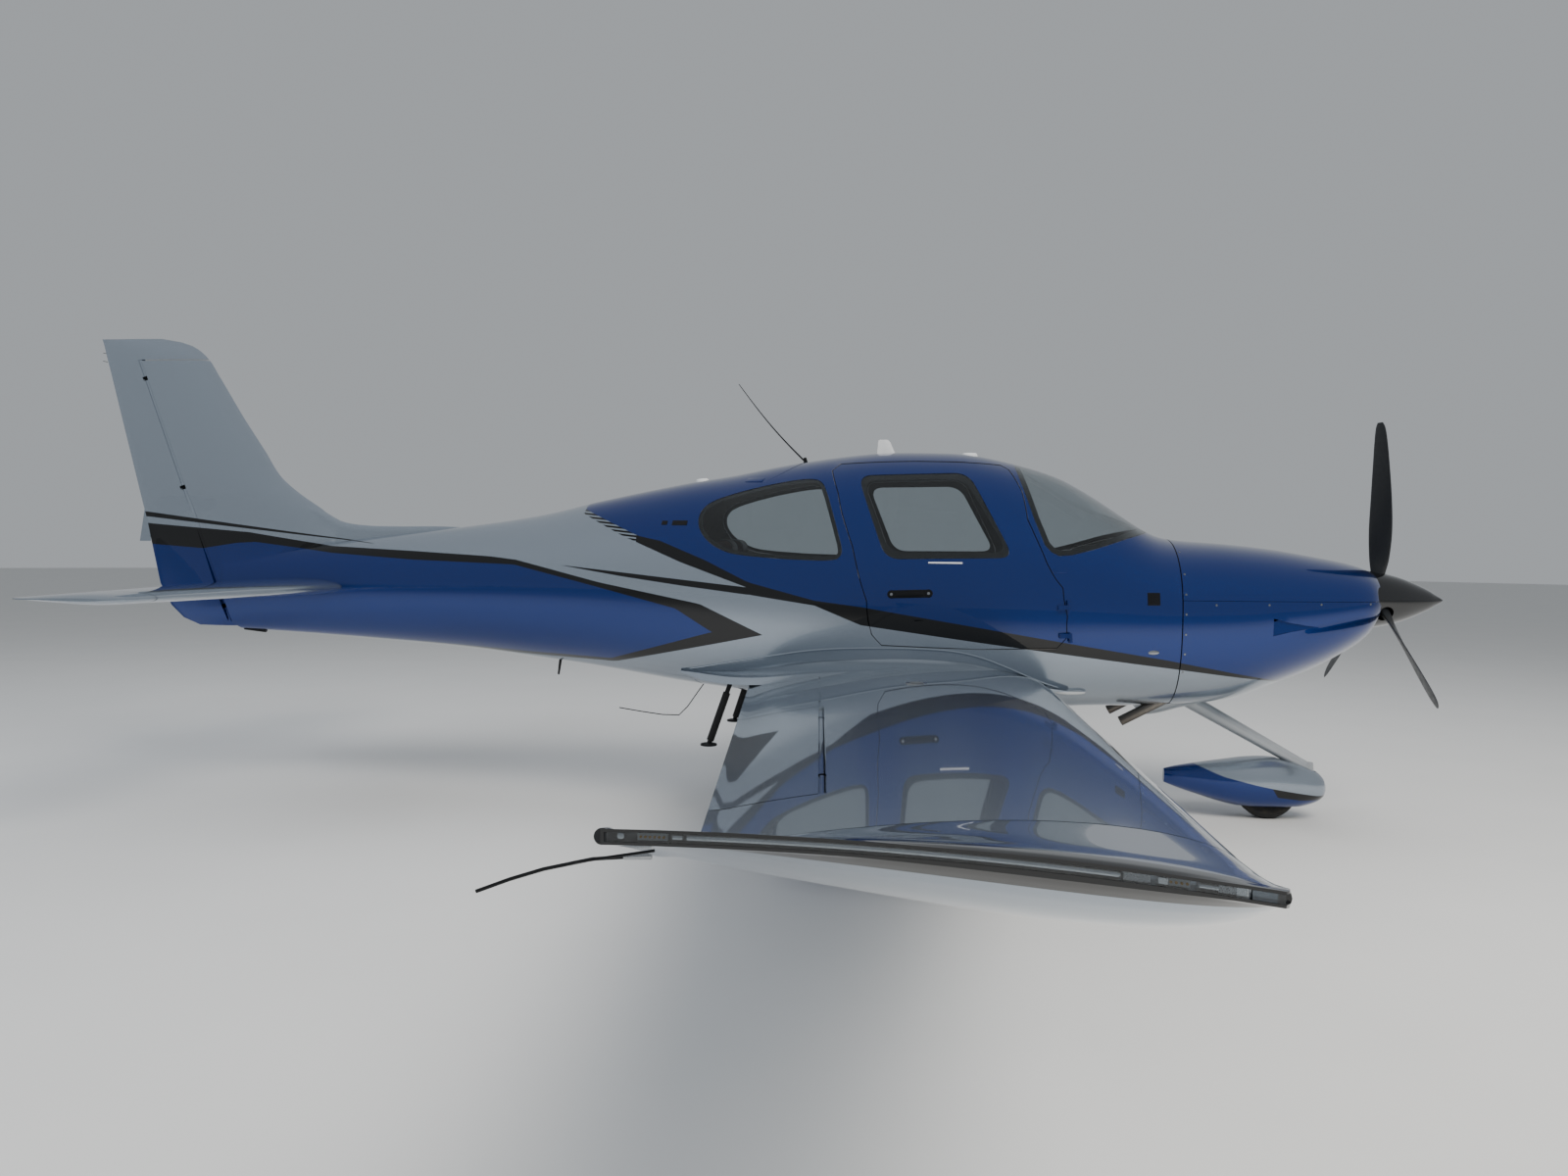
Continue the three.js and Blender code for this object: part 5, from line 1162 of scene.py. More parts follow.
def wing_thickness(y):
    return THICKNESS[0] + (THICKNESS[1] - THICKNESS[0]) * (y - WING_ROOT) / (TIP_SEAM - WING_ROOT)


def wing_solid(side, extra=0.0):
    return skin([
        foil_ring(wing_leading(y) + extra, wing_trailing(y) - extra, wing_height(y), wing_thickness(y) + 2 * extra,
                  at_span(side * y), CAMBER)
        for y in WING_STATIONS
    ])


def wing_surface_z(x, y, upper=True):
    """Height of the wing's skin at a point of its plan."""
    leading, trailing = wing_leading(y), wing_trailing(y)
    share = min(max((leading - x) / (leading - trailing), 0.001), 0.999)
    middle = wing_height(y) + 4 * CAMBER * (leading - trailing) * share * (1 - share)
    half = foil_half(share) * wing_thickness(y)
    return middle + (half if upper else -half)


def eased(table, position, reach):
    """A table's values averaged over a stretch, so that no row shows as a ripple."""
    ends = sorted((table[0][0], table[-1][0]))
    spots = [min(max(position + reach * k / 3, ends[0]), ends[1]) for k in range(-3, 4)]
    rows = [row_at(table, spot)[1:] for spot in spots]
    return [sum(column) / len(rows) for column in zip(*rows)]


def root_fillet(side):
    rings = []
    for x in spread(FILLET[0][0], FILLET[-1][0], 45):
        corner, climb, reach = eased(FILLET, x, 110)
        foot = half_breadth(x, corner)
        inner, outer = side * (foot - 60), side * (foot + reach)
        base = corner - min(40, climb)
        arc = []
        for k in range(13):
            turn = pi / 2 * k / 12
            arc.append((x, side * (foot + reach * (1 - sin(turn))), corner + climb * (1 - cos(turn))))
        rings.append([(x, outer, base), *arc, (x, inner, corner + climb), (x, inner, base)])
    return skin(rings)


def wing_hinge_point(y, side):
    (y0, x0), (y1, x1) = WING_HINGE["root"], WING_HINGE["tip"]
    x = x0 + (x1 - x0) * (y - y0) / (y1 - y0)
    leading, trailing = wing_leading(y), wing_trailing(y)
    share = (leading - x) / (leading - trailing)
    return (x, side * y, wing_height(y) + 4 * CAMBER * (leading - trailing) * share * (1 - share))


def wing_noses(span):
    radii = []
    for y in span:
        x = wing_hinge_point(y, 1)[0]
        share = (wing_leading(y) - x) / (wing_leading(y) - wing_trailing(y))
        radii.append(foil_half(share) * wing_thickness(y) - HINGE_GAP - LIP)
    return radii


def wing_hinge(side, span):
    return HingeLine(wing_hinge_point(span[0], side), wing_hinge_point(span[1], side), (0, 0, side))


def surface_gap(side, part):
    below, above = (angle + SWING_MARGIN if angle else 0 for angle in (part["down"], part["up"]))
    low, high = (below, above) if side > 0 else (above, below)
    return surface_room(wing_hinge(side, part["span"]), wing_noses(part["span"]), low, high)


def jack_pad(side):
    return bar((1150, side * 2450, 804), (1150, side * 2450, 850), 32, bevel=2)


def fuel_cap(side):
    x, y = 1080, side * 2300
    z = wing_surface_z(x, 2300)
    disc = bar((x, y, z - 4), (x, y, z + 3), 42, bevel=1.2)
    flap = block((x - 26, x + 26), (y - 7, y + 7), (z + 2, z + 7), bevel=2)
    return gathered(disc, flap)


def build_wings():
    for name, side in SIDES:
        wing = joined(wing_solid(side), root_fillet(side))
        wing = cut(wing, surface_gap(side, FLAP), surface_gap(side, AILERON), fuselage(2100, -420, -0.6))
        finished(wing, f"wing_skin_{name}", "airframe", "pearl_paint", "pearl", stands_for=f"wing_{name}")
        lip = []
        for x in spread(FILLET[0][0] - 60, FILLET[-1][0] + 60, 40):
            corner, climb, _ = eased(FILLET, x, 110)
            lip.append((x, side * half_breadth(x, corner + climb), corner + climb))
        finished(curved_tube(lip, 5, sides=16), f"root_fillet_lip_{name}", "airframe", "pearl_paint", "pearl")
        eyes = gathered(*[knuckle_eyes(wing_hinge(side, part["span"]), wing_noses(part["span"]), part["knuckles"])
                          for part in (FLAP, AILERON)])
        finished(eyes, f"surface_brackets_{name}", "airframe", "steel", "anodised")
        finished(jack_pad(side), f"jack_pad_{name}", "airframe", "steel", "plated")
        finished(fuel_cap(side), f"fuel_cap_{name}", "airframe", "steel", "machined")
        build_wing_tip(name, side)


# Wing tip sections: distance out, height of the leading edge, rise to the trailing edge, thickness above
# and below, least half thickness, sweep of the leading edge and rake of the trailing edge
TIP = [
    (TIP_SEAM + 1, wing_height(TIP_SEAM), 0, 88, 88, 3, 0, 0),
    (5700, 1125, 12, 70, 126, 4, 2, -20),
    (5760, 1137, 26, 46, 118, 6, 5, -38),
    (5805, 1145, 35, 34, 80, 8, 10, -52),
    (5832, 1149, 39, 26, 40, 9, 17, -58),
    (WING_TIP, 1150, 40, 20, 24, 9, 23, -60),
]
RIM, RIM_TOP = 5826, 5812  # the rim outside these is black, below and above the lights' channel
CHANNEL = 5.4  # half height of the channel
RIM_ENDS = (wing_leading(TIP_SEAM) - TIP[-1][6], wing_trailing(TIP_SEAM) + TIP[-1][7])


def rim_height(x):
    """Height of the middle of the tip's rim."""
    lead, trail = RIM_ENDS
    share = min(max((lead - x) / (lead - trail), 0), 1)
    return TIP[-1][1] + TIP[-1][2] * share + 4 * CAMBER * (lead - trail) * share * (1 - share)


def along_rim(start, end, side, y0, y1, half, step=20):
    """A strip that follows the rim between two stations."""
    y0, y1 = side * y0, side * y1
    return skin([[(x, y, rim_height(x) + up) for y, up in ((y0, -half), (y0, half), (y1, half), (y1, -half))]
                 for x in spread(start, end, step)])


def build_wing_tip(name, side):
    rings = []
    for y in [*spread(TIP[0][0] + 3, 5805, 14), *spread(5809, WING_TIP, 3)]:
        _, height, rise, thickness, under, edge, sweep, rake = row_at(TIP, y)
        rings.append(foil_ring(wing_leading(TIP_SEAM) - sweep, wing_trailing(TIP_SEAM) + rake, height, thickness,
                               at_span(side * y), CAMBER, rise, under, edge))
    tip = cut(skin(rings), along_rim(RIM_ENDS[0] + 12, RIM_ENDS[1] + 4, side, RIM, WING_TIP + 2, CHANNEL))
    coated(tip, "pearl", "gloss")
    for face in tip.data.polygons:
        inner_edge = RIM_TOP if face.center.z > rim_height(face.center.x) else RIM
        face.material_index = int(abs(face.center.y) > inner_edge)
    finished(tip, f"wing_tip_skin_{name}", "airframe", "pearl_paint", stands_for=f"wing_tip_{name}")
    seam = [foil_ring(wing_leading(TIP_SEAM) - 3, wing_trailing(TIP_SEAM) + 3, wing_height(y), wing_thickness(y) - 5,
                      at_span(side * y), CAMBER) for y in (TIP_SEAM - 8, TIP_SEAM + 8)]
    finished(skin(seam), f"tip_seam_{name}", "airframe", "black_gloss", "seal")
    end = Vector((RIM_ENDS[1] + 1, 0, rim_height(RIM_ENDS[1])))
    cap = bar(end + Vector((0, side * 5808, -6)), end + Vector((0, side * 5837.8, 0)), 9.4, sides=32, bevel=1)
    finished(cap, f"tip_rim_end_{name}", "airframe", "black_gloss", "gloss")
    build_tip_lights(name, side)


LAMP_Y, LAMP_BACK = 5832.5, 5828  # the lamps' middle, and the floor of the rim's channel
WICK_Y = 5716
WICK = [(742, 1136), (700, 1132), (638, 1117), (596, 1103), (553, 1086)]


def build_tip_lights(name, side):
    """The strip lamp, position lamps and flash units that lie in the rim's channel."""
    y = side * LAMP_Y

    def rod(start, end, radius):
        return curved_tube([(x, y, rim_height(x)) for x in spread(start, end, 12)], radius, sides=20)

    def strip(start, end, front, half, back=LAMP_BACK):
        return along_rim(start, end, side, back, front, half)

    def across(x, radius, reach=4.0):
        here = Vector((x, y - side * 2, rim_height(x)))
        return bar(here, here + Vector((0, side * reach, 0)), radius, sides=24, bevel=0.6)

    def dots(start, end, count):
        return [across(x, 1.5, 6.0) for x in spread(start, end, (end - start) / (count - 1))]

    pieces = {
        "strip_lamp": ("steel", "mirror", [rod(838, 1303, 4.9), ball((1303, y, rim_height(1303)), 4.9)]),
        "lamp_fittings": ("steel", "mirror", [rod(822, 833, 4.4), strip(1345, 1355, 5836, 3.2), rod(1387, 1407, 4.2),
                                              strip(1426, 1438, 5834, 4.8), across(763, 4.2)]),
        "flash_units": ("steel", "machined", [strip(1309, 1337, 5835, 4.6), strip(1407, 1426, 5835, 3.8)]),
        "lamp_boards": ("panel_plastic", "cover", [strip(782, 816, 5834, 4.2), strip(1355, 1378, 5834, 4.2)]),
        "lamp_dies": ("panel_plastic", "phosphor", [*dots(786, 812, 6), *dots(1358, 1375, 4)]),
        "lamp_cover": ("tinted_glazing", "lamp", [
            ball((750, y, rim_height(750)), 4.6), strip(1441, RIM_ENDS[0] - 2, 5839, 5.0),
            strip(1438, 748, 5839.4, 5.2, 5838.2)]),
        "wick_feet": ("steel", "machined", [bar((772, side * WICK_Y, 1139), (738, side * WICK_Y, 1136), 5, 3.5, 20)]),
        "wicks": ("antenna_plastic", "anodised", [
            curved_tube([(x, side * WICK_Y, z) for x, z in WICK], 2.4),
            bar((792, side * 5790, 1164), (701, side * 5806, 1151), 1.8, sides=12)]),
    }
    for piece, (slot, finish, solids) in pieces.items():
        finished(solids, f"tip_{piece}_{name}", "airframe", slot, finish)


def build_wing_surfaces():
    for name, side in SIDES:
        for kind, part in (("flap", FLAP), ("aileron", AILERON)):
            hinge, noses = wing_hinge(side, part["span"]), wing_noses(part["span"])
            panel = surface_body(wing_solid(side), hinge, noses, part["knuckles"])
            body = f"{kind}_{name}"
            finished(panel, f"{kind}_skin_{name}", body, "pearl_paint", stands_for=body)
            finished(hinge_pins(hinge, part["knuckles"]), f"{kind}_pins_{name}", body, "steel", "plated")


def build_tailplane():
    swings = [swing + SWING_MARGIN for swing in ELEVATOR_SWINGS]
    room = surface_room(ELEVATOR_HINGE, ELEVATOR_NOSES, *swings, HORN_START)
    beside = ELEVATOR_INNER + TUBE["bearing"]
    span = HORN_START - HINGE_GAP
    stab = cut(tailplane_solid(), room, block(x=(-FAR, ELEVATOR_X + ELEVATOR_SPAR), y=(-beside, beside)))
    stab = common(stab, block(y=(-span, span)))
    finished(stab, "stabilizer_skin", "airframe", "pearl_paint", "pearl", stands_for="horizontal_stabilizer")
    eyes = knuckle_eyes(ELEVATOR_HINGE, ELEVATOR_NOSES, ELEVATOR_KNUCKLES)
    finished(eyes, "elevator_brackets", "airframe", "steel", "anodised")
    aft = cut(surface_body(tailplane_solid(), ELEVATOR_HINGE, ELEVATOR_NOSES, ELEVATOR_KNUCKLES),
              block(y=(-ELEVATOR_INNER, ELEVATOR_INNER)))
    horns = [coated(common(tailplane_solid(), block(y=reach)), "pearl")
             for reach in ((HORN_START, FAR), (-FAR, -HORN_START))]
    tube = bar((ELEVATOR_X, -beside, STAB["height"]), (ELEVATOR_X, beside, STAB["height"]), TUBE["radius"])
    finished(joined(aft, *horns), "elevator_skin", "elevator", "pearl_paint", stands_for="elevator")
    finished(tube, "elevator_torque_tube", "elevator", "steel", "plated")
    pins = hinge_pins(ELEVATOR_HINGE, ELEVATOR_KNUCKLES)
    finished(pins, "elevator_pins", "elevator", "steel", "plated")


def build_rudder():
    cap = coated(common(fin_solid(), block(z=(RUDDER["horn"], FAR))), "livery")
    body = surface_body(fin_solid(), RUDDER_HINGE, RUDDER_NOSES, RUDDER_KNUCKLES, "livery", past=80)
    finished(joined(body, cap), "rudder_skin", "rudder", "fuselage_paint", stands_for="rudder")
    tab = plate([(-3655, 1690), (-3687, 1693), (-3721, 1487), (-3650, 1488)], -2, 2)
    finished(tab, "rudder_trim_tab", "rudder", "fuselage_paint", "pearl")
    eyes = knuckle_eyes(RUDDER_HINGE, RUDDER_NOSES, RUDDER_KNUCKLES)
    finished(eyes, "rudder_brackets", "airframe", "steel", "anodised")
    finished(hinge_pins(RUDDER_HINGE, RUDDER_KNUCKLES), "rudder_pins", "rudder", "steel", "plated")
    skid = plate([(-2875, 985), (-2960, 985), (-3040, 958), (-3035, 950), (-2900, 936)], -9, 9)
    finished(cut(skid, fuselage(-2600, TAIL_END, 0)), "tail_skid", "airframe", "black_gloss", "anodised")


# Propeller: spinner profile of (distance from the tip, radius)
SPINNER = [(0, 0), (12, 10), (41, 28), (84, 55), (159, 92), (231, 121), (305, 142), (370, 155), (400, 158)]
TIP_X = 3960
SPINNER_LENGTH = 400
BLADE_X = 3612
BLADE_REACH = 980
# Blade sections: radius, chord, thickness, pitch in degrees, forward shift of the middle
BLADE = [
    (70, 62, 60, 50, 0),
    (140, 74, 50, 48, 0),
    (220, 112, 24, 42, 4),
    (380, 146, 17, 34, 8),
    (560, 146, 13, 27, 8),
    (740, 128, 10, 22, 2),
    (880, 104, 8, 19, -6),
    (955, 76, 6, 18, -12),
    (BLADE_REACH, 44, 5, 17, -16),
]


def blade(turn):
    rings = []
    place = Matrix.Translation((0, 0, THRUST)) @ Matrix.Rotation(turn, 4, "X")
    for radius in spread(BLADE[0][0], BLADE_REACH, 20):
        _, chord, thickness, pitch, shift = row_at(BLADE, radius)
        c, s = cos(radians(pitch)), sin(radians(pitch))
        section = [(x * chord / 2 + shift, y * thickness / 2) for x, y in circle(32)]
        rings.append([place @ Vector((BLADE_X + along * s - across * c, -along * c - across * s, radius))
                      for along, across in section])
    return skin(rings)


def build_propeller():
    turns = [radians(angle) for angle in (0, 120, 240)]
    profile = [row_at(SPINNER, depth) for depth in spread(0, SPINNER_LENGTH, 8)]
    outer = [(0.0, TIP_X), *[(max(radius, 0.5), TIP_X - depth) for depth, radius in profile[1:]]]
    inner = [(max(radius - 6, 0), along) for radius, along in reversed(outer) if radius > 8]
    closed = outer + inner + [(0.0, inner[-1][1])]
    cone = spun(closed, (0, 0, THRUST), axis=(1, 0, 0), steps=96)
    holes = []
    for turn in turns:
        out = Matrix.Rotation(turn, 4, "X") @ Vector((0, 0, 1))
        root = Vector((BLADE_X, 0, THRUST))
        holes.append(bar(root + out * 60, root + out * 240, 44, sides=48))
    finished(cut(cone, *holes), "spinner_cone", "propeller", "black_gloss", "gloss", stands_for="spinner")
    hub = bar((HUB_BACK, 0, THRUST), (BLADE_X + 70, 0, THRUST), 80, sides=48, bevel=3)
    back = bar((HUB_BACK, 0, THRUST), (TIP_X - SPINNER_LENGTH - 0.5, 0, THRUST), 157, sides=96, bevel=1)
    finished([hub, back], "propeller_hub", "propeller", "black_gloss", "machined")
    blades = gathered(*[blade(turn) for turn in turns])
    finished(blades, "propeller_blade_set", "propeller", "black_gloss", "blade",
             stands_for="propeller_blades")


# Nose gear. The pivot is upright, and the fork trails behind it.

NOSE = {"pivot": 3265, "x": 3040, "z": 165, "radius": 165, "tread": 62, "rim": 66, "axle": 12}
SOCKET = {"foot": 246, "top": 318, "foot_radius": 34, "top_radius": 28}
CHIN = [(2300, 60, 615), (2356, 92, 567), (2560, 88, 612), (2720, 60, 655), (2790, 20, 672)]
ARM = {"y": 74, "thick": 10, "high": 34, "past": 22}
FAIRING = [
    (316, 206, 150, 30),
    (300, 240, 122, 62),
    (250, 282, 92, 98),
    (150, 322, 66, 128),
    (30, 344, 56, 140),
    (-100, 342, 58, 140),
    (-240, 322, 82, 122),
    (-380, 300, 122, 88),
    (-500, 278, 160, 52),
    (-562, 262, 184, 22),
]
FAIRING_POINTS = 56


def fairing_ring(offset, top, bottom, half, x0, y0, inset):
    middle, rise, power = (top + bottom) / 2, (top - bottom) / 2 - inset, 2 / 2.3
    return [(x0 + offset, y0 + (half - inset) * squarer(c, power), middle + rise * squarer(s, power))
            for c, s in circle(FAIRING_POINTS)]


def fairing_shell(x0, y0, long, high, well):
    def rings(front, rear, inset):
        rows = [row_at(FAIRING, offset) for offset in spread(front, rear, 14)]
        return [fairing_ring(offset * long, top * high, bottom * high, half, x0, y0, inset)
                for offset, top, bottom, half in rows]

    nose = [fairing_ring(offset * long, top * high, bottom * high, half, x0, y0, 0)
            for offset, top, bottom, half in ((321, 192, 164, 12), (319, 199, 157, 20))]
    outer = skin(nose + rings(FAIRING[0][0], FAIRING[-1][0], 0))
    inner = skin(rings(250, -240, 5))
    slot = skin([[(x0 + well[0] * squarer(c, 0.5), y0 + well[1] * squarer(s, 0.5), z) for c, s in circle(48)]
                 for z in (-10, 130)])
    return cut(outer, inner, slot)


def build_nose_gear():
    pivot, axle_x, axle_z = NOSE["pivot"], NOSE["x"], NOSE["z"]
    leg = bar((2600, 0, 655), (3259, 0, 290), 42, 30, sides=48)
    socket = bar((pivot, 0, SOCKET["foot"]), (pivot, 0, SOCKET["top"]), SOCKET["foot_radius"],
                 SOCKET["top_radius"], sides=48, bevel=2)
    rings = []
    for x in spread(CHIN[0][0], CHIN[-1][0], 30):
        _, half, foot = row_at(CHIN, x)
        left = [(x, half, 760), (x, half, foot + 50)]
        turns = [pi / 2 * k / 8 for k in range(1, 9)]
        left += [(x, half * cos(t), foot + 50 - 50 * sin(t)) for t in turns]
        rings.append(left + [(px, -py, pz) for px, py, pz in reversed(left[:-1])])
    chin = skin(rings)
    leg = cut(joined(leg, socket, chin), fuselage(COWL_FRONT, 2000, -0.6))
    finished(leg, "nose_leg_skin", "airframe", "leg_paint", "leg", stands_for="nose_gear_leg")

    reach = ARM["y"] + ARM["thick"]
    outline = [(pivot + 20, 214), (pivot + 20, 186), (axle_x - ARM["past"], axle_z - ARM["high"] / 2),
               (axle_x - ARM["past"], axle_z + ARM["high"] / 2), (pivot - 30, 214)]
    fork = joined(
        bar((pivot, 0, 195), (pivot, 0, SOCKET["foot"] - 0.5), 24),
        block((pivot - 30, pivot + 20), (-reach, reach), (186, 214), bevel=3),
        plate(rounded(outline, 14), ARM["y"], reach),
        plate(rounded(outline, 14), -reach, -ARM["y"]),
        bar((axle_x, -reach - 1, axle_z), (axle_x, reach + 1, axle_z), NOSE["axle"]),
    )
    finished(fork, "nose_fork_frame", "nose_caster", "steel", "plated", stands_for="nose_fork", sharp=25)

    shell = fairing_shell(axle_x, 0, 1, 1, (174, 80))
    dish = joined(bar((pivot, 0, 267), (pivot, 0, 487), 42, 455, sides=96),
                  bar((pivot, 0, 215), (pivot, 0, 268), 42, sides=96))
    bosses = [bar((axle_x, side * (reach + 0.3), axle_z), (axle_x, side * 136, axle_z), 16) for _, side in SIDES]
    bore = bar((axle_x, -94, axle_z), (axle_x, 94, axle_z), NOSE["axle"] + 0.3)
    shell = cut(joined(cut(shell, dish), *bosses), bore)
    finished(shell, "nose_fairing_skin", "nose_caster", "fairing_paint", "nose_fairing",
             stands_for="nose_wheel_fairing")
    wheel("nose_tyre", "nose_hub", "nose_wheel", (axle_x, 0, axle_z), NOSE)


def wheel(tyre_node, hub_node, body, centre, gear):
    """A ribbed tyre with shoulder grooves, and the hub with its spokes and bolts."""
    radius, half, rim, bore = gear["radius"], gear["tread"], gear["rim"], gear["axle"] + 0.6
    outside = [(rim, -half * 0.7), (radius * 0.72, -half * 0.93), (radius * 0.8, -half), (radius * 0.88, -half * 0.96),
               (radius * 0.94, -half * 0.83), (radius * 0.975, -half * 0.62)]
    grooves = []
    for across in (-0.42, -0.14, 0.14, 0.42):
        grooves += [(radius, across * half - 5), (radius - 5, across * half - 3.6), (radius - 5, across * half + 3.6),
                    (radius, across * half + 5)]
    profile = outside + grooves + [(r, -a) for r, a in reversed(outside)] + [(rim, -half * 0.7)]
    tyre = spun(profile, centre, steps=96)
    finished(tyre, f"{tyre_node}_carcass", body, "tyre", "tyre", stands_for=tyre_node, sharp=28)
    outer = rim - 0.5
    profile = [(bore, -half * 0.5), (outer * 0.42, -half * 0.5), (outer * 0.5, -half * 0.44),
               (outer * 0.6, -half * 0.3), (outer * 0.8, -half * 0.3), (outer * 0.86, -half * 0.4),
               (outer * 0.9, -half * 0.66), (outer, -half * 0.7)]
    profile += [(r, -a) for r, a in reversed(profile)] + [(bore, -half * 0.5)]
    hub = spun(profile, centre, steps=72)
    holes, bolts = [], []
    for k in range(6):
        turn = tau * k / 6
        spot = Vector(centre) + Vector((cos(turn), 0, sin(turn))) * outer * 0.7
        holes.append(bar(spot - Vector((0, half, 0)), spot + Vector((0, half, 0)), outer * 0.1, sides=20))
        turn += tau / 12
        spot = Vector(centre) + Vector((cos(turn), 0, sin(turn))) * outer * 0.46
        for side in (-1, 1):
            face = Vector((0, side * half * 0.48, 0))
            bolts.append(bar(spot + face * 0.9, spot + face + Vector((0, side * 4, 0)), 4, sides=6))
    finished(cut(hub, *holes), f"{hub_node}_casting", body, "wheel_alloy", "machined", stands_for=hub_node)
    finished(bolts, f"{hub_node}_bolts", body, "steel", "plated")


# Main gear

MAIN = {"x": 980, "y": 1665, "radius": 193, "tread": 74, "rim": 78, "axle": 16}
MAIN_RISE = 1.19  # height of a main fairing against the nose's
MAIN_LEG = [
    (1235, 745, 150, 30),
    (1330, 640, 128, 26),
    (1420, 480, 110, 22),
    (1500, 320, 96, 19),
    (1540, 215, 84, 17),
    (1552, 175, 60, 16),
]


def axle_bar(side, start, end, radius):
    return bar((MAIN["x"], side * start, MAIN["radius"]), (MAIN["x"], side * end, MAIN["radius"]), radius)


def build_main_gear():
    for name, side in SIDES:
        rings = []
        for y, z, chord, thickness in (row_at(MAIN_LEG, y) for y in spread(1235, 1552, 14)):
            rings.append([(MAIN["x"] + c * chord / 2, side * (y + s * thickness / 2), z) for c, s in circle(32)])
        leg = cut(joined(skin(rings), axle_bar(side, 1540, 1777, MAIN["axle"])), wing_solid(side, 0.6))
        finished(leg, f"main_leg_skin_{name}", "airframe", "leg_paint", "leg",
                 stands_for=f"main_gear_leg_{name}")
        slot = (1460, 1600) if side > 0 else (-1600, -1460)
        shell = fairing_shell(MAIN["x"], side * MAIN["y"], 1.08, MAIN_RISE, (190, 86))
        shell = joined(cut(shell, block((MAIN["x"] - 60, MAIN["x"] + 60), slot, (170, 380))),
                       axle_bar(side, 1765, 1801, 26))
        shell = cut(shell, axle_bar(side, 1600, 1777.3, MAIN["axle"] + 0.3))
        finished(shell, f"main_fairing_skin_{name}", "airframe", "fairing_paint", "main_fairing",
                 stands_for=f"main_wheel_fairing_{name}")
        wheel(f"main_tyre_{name}", f"main_hub_{name}", f"main_wheel_{name}",
              (MAIN["x"], side * MAIN["y"], MAIN["radius"]), MAIN)


# Cabin fittings

SEAT_MIDDLE, SEAT_HALF = 290, 215
# The limit of a pad's swelling is in metres, its crown in millimetres.
PUFF = {"frames": 20, "pressure": 4.0, "limit": 0.022, "stuffing": 0.8, "crown": 8}


def cushion(outline, y0, y1, soft, voxel):
    """An upholstered pad: its outline carried across, with soft edges and crowned faces, then puffed."""
    bm = opened(plate(outline, y0, y1))
    bevelled(bm, soft)
    middle, half = (y0 + y1) / 2, abs(y1 - y0) / 2
    bmesh.ops.triangulate(bm, faces=[face for face in bm.faces if len(face.verts) > 4])
    bmesh.ops.subdivide_edges(bm, edges=bm.edges[:], cuts=2, use_grid_fill=True)
    bm.normal_update()
    for vert in bm.verts:
        share = 1 - ((vert.co.y - middle) / half) ** 2
        vert.co += vert.normal * PUFF["crown"] * max(share, 0)
    for _ in range(3):
        bmesh.ops.smooth_vert(bm, verts=bm.verts, factor=0.5, use_axis_x=True, use_axis_y=True, use_axis_z=True)
    return puffed(solid(bm), voxel)


def baked(shape):
    """Applies the modifiers of a piece."""
    mesh = bpy.data.meshes.new_from_object(shape.evaluated_get(bpy.context.evaluated_depsgraph_get()))
    shape.modifiers.clear()
    shape.data = mesh
    return shape


def puffed(shape, voxel):
    """Remeshes a cover and fills it with a little air pressure, so it swells and wrinkles as stuffing does."""
    shape.data.transform(Matrix.Scale(MM, 4))
    remesh = shape.modifiers.new("weave", "REMESH")
    remesh.mode, remesh.voxel_size = "VOXEL", voxel
    before = [vert.co.copy() for vert in baked(shape).data.vertices]
    cloth = shape.modifiers.new("cover", "CLOTH")
    cloth.settings.use_pressure = True
    cloth.settings.uniform_pressure_force = PUFF["pressure"]
    cloth.settings.effector_weights.gravity = 0
    cloth.point_cache.frame_end = PUFF["frames"]
    for frame_number in range(1, PUFF["frames"] + 1):
        bpy.context.scene.frame_set(frame_number)
    baked(shape)
    bpy.context.scene.frame_set(1)
    for vert, rest in zip(shape.data.vertices, before):
        moved = vert.co - rest
        if moved.length > PUFF["limit"]:
            vert.co = rest + moved.normalized() * PUFF["limit"]
    finer = shape.modifiers.new("finer", "SUBSURF")
    finer.levels = finer.render_levels = 1
    baked(shape).data.transform(Matrix.Scale(1 / MM, 4))
    return shape


def welt(pad, outline, y):
    """A sewn cord that lies on a pad, round its outline."""
    inner = rounded(widened(outline, -6), 30)
    path = [pad.closest_point_on_mesh(Vector((x, y, z)))[1] for x, z in inner[::3]]
    return curved_tube([*path, path[0]], 3.4, sides=8)


def upholstered(name, outline, half, places, soft=26, voxel=0.009):
    """A pad of one outline at each of its places across the cabin, each with a sewn cord near both sides."""
    pad = cushion(widened(outline, 9), -half - 7, half + 7, soft, voxel)
    cords = gathered(*[welt(pad, outline, side * (half - 14)) for _, side in SIDES])
    for number, y in places:
        shift = Matrix.Translation((0, y, 0))
        cover, cord = twin(pad), twin(cords)
        cover.data.transform(shift)
        cord.data.transform(shift)
        finished(cover, f"{name}_{number}", "airframe", "seat_hide", "leather", sharp=60)
        finished(cord, f"{name}_cord_{number}", "airframe", "seat_hide", "moulded", sharp=60)
    for shape in (pad, cords):
        bpy.data.objects.remove(shape)


